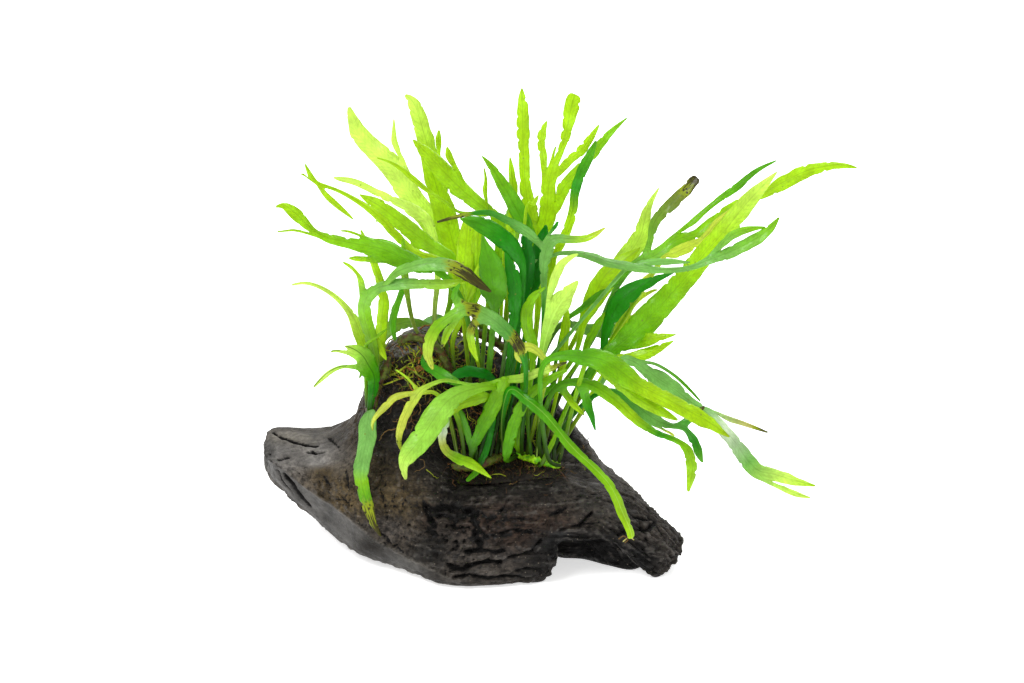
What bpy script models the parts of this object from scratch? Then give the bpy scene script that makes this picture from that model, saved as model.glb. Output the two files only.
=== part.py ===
"""Java fern on a piece of driftwood. Metres, +Z up, the wood's underside on z = 0.

The viewer stands at -Y, so X runs to the viewer's right and Y away from the viewer. Sizes in the
tables below are millimetres.
"""

import math
from typing import NamedTuple

import bmesh
import bpy
import numpy as np
from mathutils import Vector, noise
from mathutils.bvhtree import BVHTree

MM = 0.001

# Splits between pieces of the driftwood, and between a frond and the rhizome that carries it
GAP = 0.3

# Driftwood sections, from the left arm's end to the right foot's end. Each is its x and the outline
# there as (y, z), from the front of the underside up the front, over the hollow and the ridge, down
# the back and under.
WOOD_SECTIONS = (
    (-86.5, ((10, 28), (7, 31), (7, 35), (9, 38), (12, 40), (16, 41.5), (20, 42),
             (24, 41.5), (28, 39), (29, 35), (25, 30), (20, 28), (17, 27), (13, 27))),
    (-82, ((4, 24), (0, 28), (0, 35), (4, 39), (9, 42), (14, 44), (19, 44.5),
           (25, 43.5), (30, 40), (32, 34), (28, 27), (22, 24), (16, 23), (10, 23.5))),
    (-70, ((-2, 14.5), (-7, 19), (-8, 30), (-4, 38), (4, 42.5), (10, 44.5), (17, 45),
           (25, 43.5), (33, 39), (36, 30), (30, 18), (22, 15), (14, 13.5), (6, 13.5))),
    (-58, ((-8, 8), (-15, 13), (-17, 25), (-13, 36), (-4, 42), (6, 44.5), (14, 45),
           (25, 44), (36, 38.5), (41, 28), (34, 11), (24, 7.5), (12, 5.5), (0, 6.5))),
    (-48, ((-16, 4.2), (-24, 9.5), (-25, 24), (-19, 38), (-9, 47), (2, 53), (9, 55),
           (20, 53), (36, 44), (44, 28), (37, 3), (25, 0), (12, 0.5), (-2, 2.5))),
    (-41, ((-22, 3), (-29, 10), (-28, 26), (-21, 43), (-12, 58), (-4, 70), (4, 75.5),
             (16, 73), (34, 57), (46, 32), (38, 0), (25, 0), (10, 0), (-6, 0))),
    (-33, ((-28, 3), (-33, 11), (-30, 28), (-22, 47), (-14, 66), (-6, 80), (3, 87),
           (15, 84), (33, 66), (47, 36), (40, 0), (25, 0), (8, 0), (-10, 0))),
    (-24, ((-35, 3), (-38, 11), (-34, 27), (-26, 45), (-17, 66), (-7, 83.5), (3, 92),
           (16, 89.5), (34, 71), (48, 38), (42, 0), (25, 0), (6, 0), (-14, 0))),
    (-14, ((-42, 2), (-42, 10), (-38, 24), (-31, 37), (-18, 50), (-6, 74.5), (4, 92),
           (16, 90), (35, 72), (49, 38), (42, 0), (24, 0), (4, 0), (-18, 0))),
    (-4, ((-44, 1), (-44, 11), (-40, 25), (-31, 37), (-19, 39), (-5, 59), (6, 86.5),
          (17, 86.5), (36, 70), (49, 36), (43, 0), (22, 0), (2, 0), (-20, 0))),
    (8, ((-43, 1), (-44, 12), (-40, 26), (-30, 37.5), (-18, 37), (-4, 52.5), (8, 79),
         (18, 80), (36, 66), (48, 34), (43, 0), (20, 0), (0, 0), (-20, 0))),
    (20, ((-40, 1), (-43, 12), (-40, 26), (-30, 38), (-17, 38), (-2, 49.5), (9, 71),
          (18, 72), (35, 60), (46, 31), (42, 0), (18, 0), (-2, 0), (-20, 0))),
    (30.4, ((-37, 1), (-41, 13), (-39, 27), (-29, 39), (-16, 39), (-1, 47), (8, 64),
          (17, 64), (33, 53), (43, 28), (40, 0), (16, 0), (-4, 0), (-20, 0))),
    (36, ((-39, 18), (-41, 21), (-38, 29), (-28, 39), (-15, 39), (-1, 45), (6, 56.2),
          (15, 57.2), (31, 48), (41, 26), (38, 0), (14, 0), (-14, 0), (-17, 16.5))),
    (46, ((-39, 19), (-41, 21), (-38, 28), (-28, 36), (-16, 37.5), (-6, 41), (1, 46.2),
          (11, 45.2), (26, 38), (35, 20), (33, 0), (12, 0), (-16, 0), (-19, 17))),
    (56, ((-37, 17.5), (-39, 20), (-35, 27), (-27, 33), (-18, 35), (-12, 35.5), (-7, 35.5),
          (2, 34), (16, 27), (25, 15), (24, 0), (6, 0), (-22, 0), (-25, 14))),
    (66, ((-35, 8), (-37, 12), (-34, 20), (-28, 25), (-22, 28), (-17, 29.5), (-13, 29.5),
          (-4, 28), (9, 21), (16, 11), (15, 0), (-4, 0), (-26, 0), (-29, 7))),
    (74, ((-33, 0), (-36, 5), (-34, 13), (-30, 18), (-25, 21), (-20, 22.5), (-16, 22.5),
          (-8, 21), (3, 15), (9, 8), (8, 0), (-4, 0), (-16, 0), (-26, 0))),
    (80, ((-31, 2), (-34, 6), (-33, 11), (-29, 15), (-25, 17), (-21, 17.8), (-17, 17.5),
          (-11, 16), (-3, 12), (1, 7), (0, 3), (-7, 1), (-16, 1), (-24, 1))),
    (85.5, ((-25, 4.5), (-28, 6.5), (-28, 8.6), (-26, 10.8), (-23, 12.2), (-20, 12.6), (-17, 12.2),
          (-13, 11.2), (-10, 9.5), (-9, 7), (-11, 4.5), (-14, 3.5), (-18, 3), (-22, 3.5))),
)

# Name of each piece of driftwood and the first and last section that it runs between
WOOD_PIECES = (
    ("driftwood_left_arm", 0, 4),
    ("driftwood_body", 4, 12),
    ("driftwood_bridge", 12, 15),
    ("driftwood_right_foot", 15, 19),
)
WOOD_RINGS_PER_SECTION = 2
WOOD_POINTS_PER_SPAN = 2
# Height of the lumps on the wood, their size across the grain, how much longer they are along it, and
# the height above the underside at which they reach their full size
WOOD_ROUGHNESS = 1.6
WOOD_LUMP_SIZE = 14.0
WOOD_LUMP_STRETCH = 3.0
WOOD_LUMP_RISE = 4.0

# Rhizomes: where each creeps over the wood as (x, y), and its radius
RHIZOMES = {
    "left": (2.2, ((-41, -13), (-39, -12), (-36, -10), (-33, -9), (-31, -8))),
    "top": (1.8, ((-29, -5), (-24, -4), (-19, -4), (-14, -4), (-10, -4))),
    "middle": (1.9, ((-9, -21), (-4, -20.5), (2, -19.5), (8, -17), (13, -14.5))),
    "front": (1.7, ((17, -12), (20, -13.5), (24, -16.5), (29, -20), (36, -22))),
    "back": (1.9, ((-6, -3), (4, -0.5), (14, 1), (24, 1.5), (32, 1), (38, 0))),
    "crest": (1.9, ((-12, 15), (-3, 16), (7, 17), (18, 17), (29, 16))),
}
RHIZOME_SIDES = 6
RHIZOME_STEP = 4.0
# How much its knobs stand out and its ends narrow, as shares of the radius
RHIZOME_KNOBS = 0.1
RHIZOME_END = 0.55

# Moss and root mats: corner (x, y) of each, its size, how many cells, and its greatest thickness
MOSS_MATS = {
    "moss_mat_hollow": ((-6, -25), (44, 13), (9, 4), 2.0),
    "moss_mat_mound": ((-36, -9), (26, 10), (7, 4), 2.0),
}

# A mat's thickness at its rim, and how far its lower side stays off the wood
MAT_RIM = 0.6
MAT_CLEARANCE = 0.9

FROND_THICKNESS = 0.6
STALK_WIDTH = 1.5
LEAST_WIDTH = 0.5
# How far the midrib is sunk below the edges, as a share of the blade's width
MIDRIB_DEPTH = 0.09
# A blade has stations this far apart where it is straight, and one for each such turn where it bends
STATION_STEP = 28.0
STATION_TURN = math.radians(45.0)
# Half the length of edge that a lobe grows from: its share of the lobe's width, and its least and
# greatest value
FORK_SHARE = 0.7
FORK_LEAST = 1.4
FORK_MOST = 4.0
# How far a fork stays from the blade's ends and a lobe's first station from its parent's edge, half of
# what stays free between two forks of one edge, and how far the next station is from a fork
FORK_MARGIN = 0.8
FORK_SPACING = 0.4
FORK_CLEAR = 2.0

# How far either side of a place a spine's direction is taken over, and the step at which a spine is
# walked along
HEADING_REACH = 0.7
WALK_STEP = 0.5
# Points of a spine's fine curve between two of its rows
SPINE_FINENESS = 8
# Place along a lobe, as a share of its length, that shows which side of its parent it lies on
LOBE_SIDE_AT = 0.3
# A blade that points at the viewer within this sine has its width laid along X
LEAST_SIDE = 0.05

# Height from which a point is dropped onto the wood, and how often it is then pushed off the nearest
# surface
HIGH_ABOVE = 500.0
PUSHES = 4
# A rhizome has at least this many lengths
LEAST_LENGTHS = 4

# The plant is described as a viewer sees it from 20 degrees above, 967 mm away. A point is given by how
# far it appears right of x = 0 and above the front toe, and by its own y, which is its depth.
VIEW_TILT = math.radians(20.0)
VIEW_DISTANCE = 967.0
VIEW_CENTRE = (16.8, 99.4)
TOE_Y = -45.0


class Frond(NamedTuple):
    """A frond: the rhizome and the place along it (0 to 1) that it grows from, how far its blade is
    rolled about its spine in degrees, its rows of (right, up, y, width seen), and the lobes that fork
    off it."""

    rhizome: str
    eye: float
    roll: float
    rows: tuple
    lobes: tuple = ()


FRONDS = {
    "frond_left_drape": Frond("left", 0.02, -20, (
        (-40, 72, -20, 4.8), (-40.8, 66, -23, 7.2), (-41.2, 59.2, -26, 6.8), (-42.8, 52.8, -28, 6.4),
        (-43.6, 46, -30, 6), (-42.4, 39.2, -31.5, 5.2), (-40.4, 32, -33, 4.4), (-38.4, 26, -35, 2.8),
        (-35.6, 21.6, -36, 0.8))),
    "frond_left_low": Frond("left", 0.2, -30, (
        (-38.4, 84, -19, 4.8), (-40.8, 89.6, -23, 8), (-44, 94.4, -26, 6.4), (-48, 96.8, -28, 2.4),
        (-50, 97.5, -29, 0.6)),
        (((-46, 96), (-52, 96.4, -28, 1.4), (-55.6, 95.2, -29, 0.6)),
         ((-42, 91), (-50, 89.6, -26, 1.4), (-54, 88.4, -28, 1.6), (-58, 85.6, -30, 2),
          (-62.4, 81.2, -31, 0.6)))),
    "frond_left_whip": Frond("left", 0.38, -35, (
        (-39.8, 88.8, -11, 3), (-42.2, 96.8, -10, 4.8), (-45, 104.8, -11, 4.8), (-48, 110.8, -12, 2.8),
        (-52.8, 116.4, -13, 2), (-59.2, 120.8, -14, 1.6), (-65.6, 122.8, -15, 1.2), (-71.2, 122, -16, 0.5))),
    "frond_left_arch": Frond("left", 0.55, 25, (
        (-37.5, 90, -15, 2.6), (-39.5, 100, -18, 4.8), (-42, 110, -23, 5.6), (-41.4, 116.4, -28, 4.8),
        (-36.8, 120.8, -31, 4), (-28, 122.4, -33, 4.4), (-18, 122.4, -34, 4), (-9.2, 122.4, -35, 3.6),
        (-2, 123.6, -36, 1.2)),
        (((-41, 117.5), (-32, 125.6, -32, 3.2), (-22, 129.6, -34, 4.4), (-12, 130.4, -36, 5.2),
          (-4, 128, -38, 5.2), (3.2, 122.8, -39, 3.6), (8.4, 119.2, -40, 0.8)),
         ((-41.8, 115), (-43.4, 123.6, -29, 2.8), (-45.2, 126.8, -29, 1), (-48, 129.6, -29, 1.6),
          (-50.8, 131.2, -29, 0.5)))),
    "frond_left_tall": Frond("left", 0.75, 15, (
        (-35.6, 91.2, -7, 3), (-35.8, 98.8, -5, 4.4), (-35.2, 107.2, -4, 4.8), (-34.4, 114.8, -4, 4.4),
        (-35.2, 120.8, -3, 3.6), (-37.2, 127.2, -3, 3.2), (-39.6, 133.6, -2, 2.8), (-41.6, 139.2, -1, 2),
        (-43.6, 144, 0, 0.8))),
    "frond_mound_left": Frond("top", 0.0, 30, (
        (-30.5, 102, -8, 1.8), (-31, 106, -9, 3), (-30.6, 110, -9, 3.4), (-28.8, 115, -9, 2.6),
        (-26.8, 121, -8, 2.4), (-26, 128, -7, 0.8))),
    "frond_mound_stem": Frond("top", 0.3, 0, (
        (-22.5, 106, -5, 1.6), (-24, 112, -8, 1.8), (-25, 118, -11, 2.2), (-26, 125, -13, 3),
        (-26.6, 133, -13, 2.6), (-26.8, 141, -12, 0.8))),
    "frond_fork_whip": Frond("back", 0.1, -20, (
        (-2, 102, -6, 1.8), (-3, 116, -8, 2.4), (-7, 128, -9, 3.2), (-14, 132.2, -9.6, 3.2),
        (-23.2, 135.6, -10, 3.2),
        (-30, 142.4, -10, 3.2), (-36, 148.8, -11, 3.2), (-42, 153.6, -12, 2.4), (-50, 158.4, -13, 1.6),
        (-56, 161, -14, 1.4), (-60.8, 162.6, -15, 1.6), (-63.4, 165, -16, 2.2), (-66, 170.4, -17, 0.6)),
        (((-59, 162), (-59.4, 160, -17, 1.8), (-56.6, 157, -18, 2.4), (-52.4, 153.2, -19, 2.2),
          (-49, 150.4, -20, 1.4), (-46.8, 148.4, -21, 0.6)),)),
    "frond_broad_left": Frond("top", 0.84, -10, (
        (-10, 107, 0, 1.6), (-7.5, 117, 3, 2.6), (-7.2, 131.2, 5, 5.2), (-14, 136.4, 7, 6),
        (-20, 140.8, 9, 6.4), (-26, 145.6, 11, 6.8), (-32, 150.4, 13, 6), (-38, 154.8, 15, 4.8),
        (-44, 158, 17, 0.8))),
    "frond_pale_strap": Frond("top", 0.68, -15, (
        (-14, 105, -2, 1.8), (-14, 114, 6, 2), (-13, 127, 14, 2.6), (-16, 145.6, 20, 4), (-22, 151.2, 22, 5.6),
        (-27.2, 154.4, 24, 3.6), (-32.8, 156.8, 26, 3.2), (-39.2, 160, 28, 2.8), (-46, 163.2, 30, 2.8),
        (-52, 164.4, 32, 2), (-54.4, 164.8, 33, 0.8))),
    "frond_centre_lime": Frond("top", 1.0, 15, (
        (-7, 99, -4, 2), (-4, 108, -4, 3), (-1.5, 116, -2, 6), (-2, 128, -2, 7.2), (-1.6, 138, -1, 6.8),
        (-0.8, 146, 0, 5), (-0.4, 151, 1, 0.8))),
    "frond_left_long": Frond("back", 0.0, -25, (
        (1, 90, -9, 1.8), (0, 104, -13, 2), (-4, 117, -15, 2.4), (-12, 127.2, -16, 3.2),
        (-20, 130, -17, 6.4), (-28, 132.8, -18, 8), (-34.8, 136, -19, 8.8), (-40.8, 137.2, -20, 7.2),
        (-47.2, 138.4, -21, 4.4), (-54, 140, -22, 4), (-60, 142, -23, 2.8), (-63.6, 144.4, -23.5, 2.6),
        (-67.2, 148, -24, 4.6), (-71.2, 151.6, -25, 4.4), (-74.8, 154, -26, 2.4), (-77.6, 153.2, -27, 0.8)),
        (((-61, 143), (-66, 144, -24, 1.4), (-70, 144, -24, 1), (-77, 143.2, -24, 0.4)),
         ((-42, 138), (-46, 143, -19, 1.6), (-51.6, 143.6, -19, 0.4)))),
    "frond_upper_mid": Frond("back", 0.22, -15, (
        (5, 92, -5, 1.8), (8, 120, 0, 2.2), (12, 138, 5, 4), (10.8, 148, 7, 4.8), (4.8, 153.2, 9, 5.6),
        (-1.2, 158, 11, 6.4), (-7.2, 163.6, 13, 8), (-12.8, 169.6, 15, 7.2), (-18, 175.2, 17, 5.2),
        (-22.8, 180, 19, 0.8)),
        (((-6, 163), (-8.4, 173.2, 14, 3.2), (-9.2, 177.2, 15, 0.8)),
         ((11, 149), (5.6, 156, 9, 3), (6.4, 163.2, 10, 1.4), (5.6, 168.8, 10, 0.6)),
         ((6, 152), (-3.6, 150.8, 6, 1.2), (-9.2, 154.8, 6, 1.2), (-15.2, 158.4, 7, 1.4),
          (-20.8, 162.8, 8, 2.4), (-26, 167.2, 9, 2), (-31.2, 170.8, 10, 1.2), (-37.2, 172.8, 11, 0.5)))),
    "frond_centre_dark_tip": Frond("back", 0.42, 15, (
        (16, 92, -6, 1.8), (20, 112, -7, 2.4), (25, 130, -6, 4), (24, 141.6, -5, 4.8), (21.2, 147.6, -4, 6.4),
        (18.4, 153.2, -3, 6.4), (15.2, 158.8, -2, 5.6), (12, 164, -1, 4.4), (8, 170, 0, 2.4),
        (4.8, 173.6, 0, 0.5))),
    "frond_centre_tall": Frond("back", 0.55, 10, (
        (24, 84, 0, 1.8), (27, 110, 2, 2.4), (28.4, 139.2, 4, 5.6), (30.4, 148, 5, 6.6), (31.2, 156, 5, 6.4),
        (31.6, 162, 6, 5.6), (32.8, 168, 6, 4.2), (35.2, 173, 6, 2.6), (37.2, 178, 7, 3.2), (38.8, 184, 7, 4),
        (40, 190, 7, 5.6), (41.2, 196, 7, 6.2), (42, 198.4, 7, 4.6)),
        (((28.6, 141), (25, 149, 5, 6), (23.2, 155.2, 6, 5.6), (22, 164, 7, 4.4), (21.6, 174, 8, 4.4),
          (21.2, 184, 9, 5.2), (21.2, 191.2, 9, 4.8), (20.8, 196.8, 9, 3.2), (20.8, 200.8, 9, 0.5)),
         ((32, 165), (29.2, 174, 6, 3.2), (28.4, 180, 6, 3.4), (29.2, 184, 6, 3), (30.8, 187.6, 6, 0.6)),
         ((32.6, 167), (38, 171, 5, 4), (43.2, 174.5, 4, 3.6), (47.2, 179.2, 3, 3.4), (51.6, 186, 2, 0.8)),
         ((31, 151), (34.8, 157.2, 4, 6), (40, 164, 2, 4.8), (46, 170.8, 1, 4), (52, 178, 0, 3.6),
          (56.8, 183.6, -1, 2.4), (62.8, 188.8, -2, 0.5)))),
    "frond_right_of_centre": Frond("back", 0.63, 25, (
        (27, 86, -4, 1.8), (31, 110, -6, 2), (32.8, 131.2, -7, 3.2), (36, 138, -7, 3.4), (39.2, 144.8, -7, 3.6),
        (41.2, 152, -7, 3.4), (42, 159.2, -7, 3.6), (44.4, 166.8, -8, 4), (48, 174, -9, 3.4),
        (50.4, 179.6, -9, 0.8))),
    "frond_right_spread": Frond("back", 0.7, 20, (
        (31, 84, 1, 1.6), (38, 88, 3, 1.8), (42.4, 95.2, 4, 1.8), (44, 100.8, 5, 2.4), (45.6, 108.8, 6, 4),
        (49.6, 117.2, 7, 7.4), (53.6, 124.8, 8, 7.6), (59.2, 130, 9, 6), (64, 133.6, 10, 4),
        (68, 136.8, 11, 0.6))),
    "frond_right_upright": Frond("back", 0.77, 10, (
        (34, 84, 8, 1.6), (44, 104, 14, 2.4), (54, 120, 18, 5), (60, 130, 20, 7.2), (64.8, 136, 21, 8),
        (68.4, 141.6, 22, 7), (70, 148.4, 23, 4.6), (71.6, 154, 24, 2.8), (75.6, 160.8, 25, 0.6))),
    "frond_far_right": Frond("back", 0.83, 25, (
        (38, 82, 4, 1.6), (50, 102, 9, 1.8), (57, 118, 11, 2), (64.8, 129.6, 13, 3), (70, 131.8, 14, 5.2),
        (76, 134.6, 15, 5.6), (81, 138.8, 16, 5.2), (85.5, 141, 17, 4.6), (90, 141.8, 18, 4),
        (94.5, 144.8, 18.5, 4.8), (99, 148.8, 19, 4), (104, 152.8, 20, 3.6), (110, 156.2, 20.5, 3),
        (117, 158.2, 21, 3.6), (123, 161.6, 22, 5.4), (130, 165.4, 23, 5.8), (137, 168.2, 24, 5),
        (145, 169.8, 25, 3.2), (151, 169.6, 25.5, 2), (154.6, 168.8, 26, 0.5)),
        (((82.5, 139.8), (88.4, 146.4, 18, 2.6), (93.5, 151.2, 20, 2.2), (98, 155, 21, 2.2),
          (103, 158.6, 22, 3), (108, 162, 24, 3), (111, 165, 24.5, 2.4), (116, 168.6, 26, 1.8),
          (122.4, 171.6, 28, 0.5)),
         ((71.5, 132.4), (72.4, 141, 17, 2.6), (74, 147.4, 18, 4), (78, 151.8, 18, 4.8),
          (82.6, 156.2, 19, 4.8), (87, 160.8, 20, 4.6), (91, 165, 21, 4.2)))),
    "frond_right_dark": Frond("back", 0.9, 20, (
        (41, 78, -2, 1.6), (49, 90, -1, 1.8), (53.2, 96, 0, 2.4), (54, 102, 1, 3.6), (56.8, 109.6, 2, 6),
        (60.8, 116, 3, 8.4), (66, 120.4, 4, 6.4), (72.8, 123.6, 5, 3.6), (82, 127.2, 6, 0.5))),
    "frond_right_sweep": Frond("back", 1.0, 30, (
        (44, 70, -7, 1.6), (51, 80, -12, 1.8), (56, 88, -15, 2), (59.5, 91.6, -17, 2.8), (63.5, 92.2, -18, 4),
        (68, 89.4, -19, 3.6), (74.8, 84.4, -19, 7.4), (80.8, 80.6, -20, 6.8), (87.2, 75.6, -21, 4.8),
        (94, 71.2, -22, 4), (100.8, 64.8, -23, 4.8), (106.4, 58, -24, 5.8), (110.6, 52, -25, 6.4),
        (115.4, 47.4, -26, 6), (122.6, 45.8, -27, 5), (129.2, 43.8, -28, 3.8), (138, 41.6, -29, 0.6)),
        (((118, 46.8), (124.8, 41.5, -28, 2), (129.2, 38.8, -29, 2.6), (136, 36.8, -29, 0.5)),
         ((95, 70.6), (102, 68.8, -21, 2.2), (108, 67, -20.5, 2), (114, 64.9, -20, 1.4), (119, 63, -19, 0.5)),
         ((67, 90.2), (73, 90.8, -15, 1.2), (81, 86.4, -15, 1.2), (87, 81, -15, 1.2), (92, 75.6, -16, 0.5)))),
    "frond_thin_right": Frond("back", 0.35, 35, (
        (13, 88, -8, 1.4), (17, 110, -10.5, 1.4), (25.2, 130.8, -12, 1.2), (30.8, 132.8, -12, 1.2),
        (36.8, 134.8, -12.5, 1.6), (46, 134, -13, 3), (56, 130.8, -13, 3.6), (66, 129, -13, 3.4),
        (77, 127.8, -13, 2.6), (88, 128.8, -13, 2), (96, 132, -13, 3.2), (104, 135, -13, 4.6),
        (111.6, 138.6, -13, 4.8), (117.6, 142.4, -13, 4), (121.4, 146, -13, 2.4), (123.6, 149, -13, 0.5)),
        (((97, 132.4), (101, 138.4, -12, 2.6), (106, 142.4, -11, 3.4), (112, 144.4, -11, 2.4),
          (118, 145, -11, 0.5)),)),
    "frond_pale_big": Frond("crest", 0.24, 5, (
        (-2, 109, 20, 2), (-8, 130, 26, 4), (-16, 147.2, 31, 8.8), (-22, 155.2, 34, 8.8),
        (-27.2, 163.2, 37, 9.6), (-32.8, 171.2, 40, 9.2), (-40, 177.6, 43, 8), (-45.2, 184, 45, 6.8),
        (-48.4, 193.2, 47, 1.6)),
        (((-29.4, 166.5), (-30, 174.5, 41, 4.4), (-30.4, 180, 41, 2.6), (-30.4, 188.4, 42, 0.6)),)),
    "frond_tall_left": Frond("crest", 0.44, -10, (
        (0, 112, 17, 2.4), (-4, 130, 18, 7.2), (-7.2, 140, 20, 8.4), (-10, 150, 22, 9.2),
        (-12.8, 159.2, 24, 8.4), (-15.2, 167.2, 25, 7.6), (-16.4, 175.2, 26, 6.8), (-18.4, 182, 27, 6.8),
        (-20.4, 188.8, 28, 6.4), (-22.8, 195.2, 28, 4.8), (-26, 198, 28, 1.2)),
        (((-15, 171), (-13, 178.8, 25, 3), (-12.4, 184, 25, 0.8)),)),
    "frond_lime_behind": Frond("crest", 0.56, 0, (
        (14, 104, 15, 2), (16, 125, 15, 3), (16.4, 144.4, 15, 3.2), (16.8, 150, 15, 3.2), (17.6, 158, 16, 3.2),
        (16.8, 166, 16, 3), (16, 173.2, 17, 0.6))),
    "frond_rear_far_left": Frond("crest", 0.0, -15, (
        (-14, 105, 23, 2.2), (-24, 107, 31, 4.4), (-33, 104, 39, 6.4), (-40, 96, 47, 5), (-44, 85, 53, 0.8))),
    "frond_rear_left": Frond("crest", 0.12, -10, (
        (-9, 107, 26, 2.4), (-13, 108, 38, 5), (-18, 104, 49, 7), (-22, 96, 58, 6), (-25, 85, 63, 0.8))),
    "frond_rear_upright": Frond("crest", 0.34, -10, (
        (-2, 120, 30, 3), (-6, 138, 42, 7), (-10, 150, 52, 8), (-13, 158, 60, 5), (-15, 163, 65, 0.6))),
    "frond_rear_middle": Frond("crest", 0.7, 10, (
        (12, 110, 26, 2.2), (14, 130, 38, 5), (16, 142, 48, 8), (17, 150, 58, 7), (18, 152, 66, 4.4),
        (18, 150, 72, 0.6))),
    "frond_rear_right": Frond("crest", 0.9, 15, (
        (36, 106, 25, 2.4), (47, 104, 37, 5), (59, 104, 47, 7), (70, 108, 56, 6), (79, 116, 64, 0.6))),
    "frond_front_broad": Frond("middle", 0.38, -15, (
        (1, 56, -23, 1.8), (4.8, 66, -24, 2), (8.8, 74, -25, 2.4), (12, 80, -27, 3), (8, 81.6, -31, 3.4),
        (0, 80, -35, 4.8), (-7.2, 76.8, -38, 8), (-12, 71.6, -42, 10), (-16, 65.6, -45, 9.6),
        (-20.4, 59.2, -47, 8.8), (-24.8, 54, -49, 7.2), (-26.8, 50, -50, 4), (-25.6, 44.4, -51, 1.2)),
        (((0, 80.5), (-9, 84, -35, 1.4), (-17.6, 81.2, -38, 2), (-21.2, 78, -41, 3.6), (-24.4, 72.8, -43, 3.6),
          (-27.4, 66, -44, 3.2), (-28.6, 60, -44.5, 2.4), (-27, 55.2, -44.5, 0.6)),
         ((10, 82), (14, 84, -30, 2.6), (20, 84.6, -32, 3.4), (26, 86.6, -34, 3.6), (32, 88.6, -35, 2.8),
          (38.8, 91.2, -36, 0.5)))),
    "frond_yellow_hook": Frond("middle", 0.12, -20, (
        (-7, 64, -22, 1.6), (-10, 74, -25, 1.6), (-14, 79, -28, 1.6), (-18, 79, -30, 1.6),
        (-24.8, 78.4, -31, 2), (-30, 77.2, -32, 2.8), (-33.6, 73.6, -33, 2.8), (-37.2, 70, -34, 2),
        (-39.2, 66.8, -35, 1.2), (-38.8, 64, -35, 0.5)),
        (((-20, 79), (-23.2, 82.8, -31, 0.9), (-26, 85.6, -31, 0.8), (-29.6, 88, -31, 0.5)),)),
    "frond_twisted": Frond("middle", 0.24, 10, (
        (-3, 60, -25, 1.6), (-5, 69, -29, 2.2), (-8, 75, -31, 3.2), (-10.2, 71, -33, 4.4),
        (-10.6, 65.6, -34, 4.6), (-11.4, 60.8, -35, 3.2), (-9.4, 55.4, -36, 3), (-4.8, 52.6, -37, 4.2),
        (1.2, 50.2, -38, 3.8), (8.4, 44.8, -39, 0.5))),
    "frond_dark_curl": Frond("middle", 0.5, -30, (
        (6, 62, -21, 1.6), (9, 74, -22, 1.8), (9.5, 83, -24, 2.4), (6, 86.4, -26, 4), (0, 87.5, -27, 4.2),
        (-5.2, 86.4, -29, 3.6), (-8.5, 82.5, -31, 0.8))),
    "frond_forward": Frond("middle", 0.62, 15, (
        (6, 74, -15, 1.8), (8, 92, -24, 2.4), (9.6, 111.2, -30, 3), (9.6, 118, -31, 10), (9.2, 124, -32, 10.8),
        (8, 131.2, -32, 8.8), (6, 138, -31, 3.2), (5, 142, -30, 0.8))),
    "frond_dark_holed": Frond("middle", 0.74, -10, (
        (14, 82, -18, 1.8), (17, 104, -24, 3), (18, 114.8, -26, 5.6), (18, 120, -27, 5.6),
        (17, 126, -27, 5.6), (15.2, 132, -27, 3), (14, 135, -27, 0.6))),
    "frond_deep_green": Frond("middle", 0.87, -15, (
        (13.5, 70, -12, 1.8), (17, 88, -15, 1.8), (19.5, 106, -20, 2.2), (21.2, 127.2, -22, 2.6),
        (18.8, 134, -23, 5.6), (15.2, 138.8, -24, 7.2), (10, 142.8, -24, 7.2), (4, 146.4, -24, 6.4),
        (-2, 148, -24, 2.4), (-4, 148.5, -24, 0.6))),
    "frond_front_long": Frond("middle", 1.0, 35, (
        (13, 66, -23, 1.8), (14, 75, -29, 2.4), (16.5, 80.5, -34, 3.2), (22, 76.4, -37, 3.8),
        (28.4, 71.4, -41, 3.8), (33.6, 65.6, -44, 3.8), (38.4, 59.6, -46, 3.6), (43.4, 54.2, -48, 3.4),
        (49, 49.2, -50, 3.2), (54.8, 43.2, -51, 3.6), (58.2, 37.2, -51, 3.6), (61, 30.4, -51, 3.6),
        (63.8, 24.2, -51, 3.2), (64.6, 21, -50.5, 2.8))),
    "frond_darkest": Frond("front", 0.0, 10, (
        (16, 78, -11, 1.8), (18.5, 108, -14, 2.8), (21, 116, -15, 4), (23.2, 123.2, -16, 4.4),
        (23.6, 130, -16.5, 4.8), (23, 136, -17, 4.8), (22.4, 142, -17, 4), (22, 146, -17, 0.8))),
    "frond_front_fork": Frond("front", 0.14, 15, (
        (18.8, 58, -15, 3.6), (20.6, 68, -16, 4.4), (23.6, 74.6, -17, 5.2), (22, 82, -17, 4), (22, 90, -17, 3),
        (24, 98, -17, 0.8)),
        (((24, 75), (30, 79, -17, 3), (34.4, 83, -17, 0.8)),)),
    "frond_crossing": Frond("front", 0.28, 30, (
        (25, 74, -12, 1.6), (29, 100, -14, 1.8), (29.6, 118, -17, 2), (29.4, 127, -19.5, 3),
        (30, 133, -21, 4.6), (31.4, 138, -22, 5.4), (34, 140.6, -22, 4.2), (38, 140.4, -22, 3.4),
        (44, 140.2, -22, 2.8), (49, 141.6, -22, 2.6), (54, 144.8, -22, 0.5)),
        (((30.6, 136), (23, 143, -23, 3.8), (16, 147.2, -24, 3), (8.8, 150.8, -25, 2.2), (2, 150.8, -27, 1.6),
          (-6, 149.2, -28, 1.4), (-13.2, 147.2, -29, 0.6)),)),
    "frond_short_notched": Frond("front", 0.4, 15, (
        (23, 70, -20, 1.6), (24.6, 86, -22, 2), (25.4, 97.2, -23.5, 4), (23, 104, -24, 4.8),
        (22.8, 111.2, -25, 4.8), (25.2, 117.2, -25, 3.2), (30.4, 121.2, -25, 0.5))),
    "frond_veined": Frond("front", 0.52, -10, (
        (28, 72, -24, 1.6), (28.8, 84, -26, 1.8), (29, 92, -27, 2), (29.4, 97, -27, 3.2), (30.6, 102, -27, 4.4),
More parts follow.
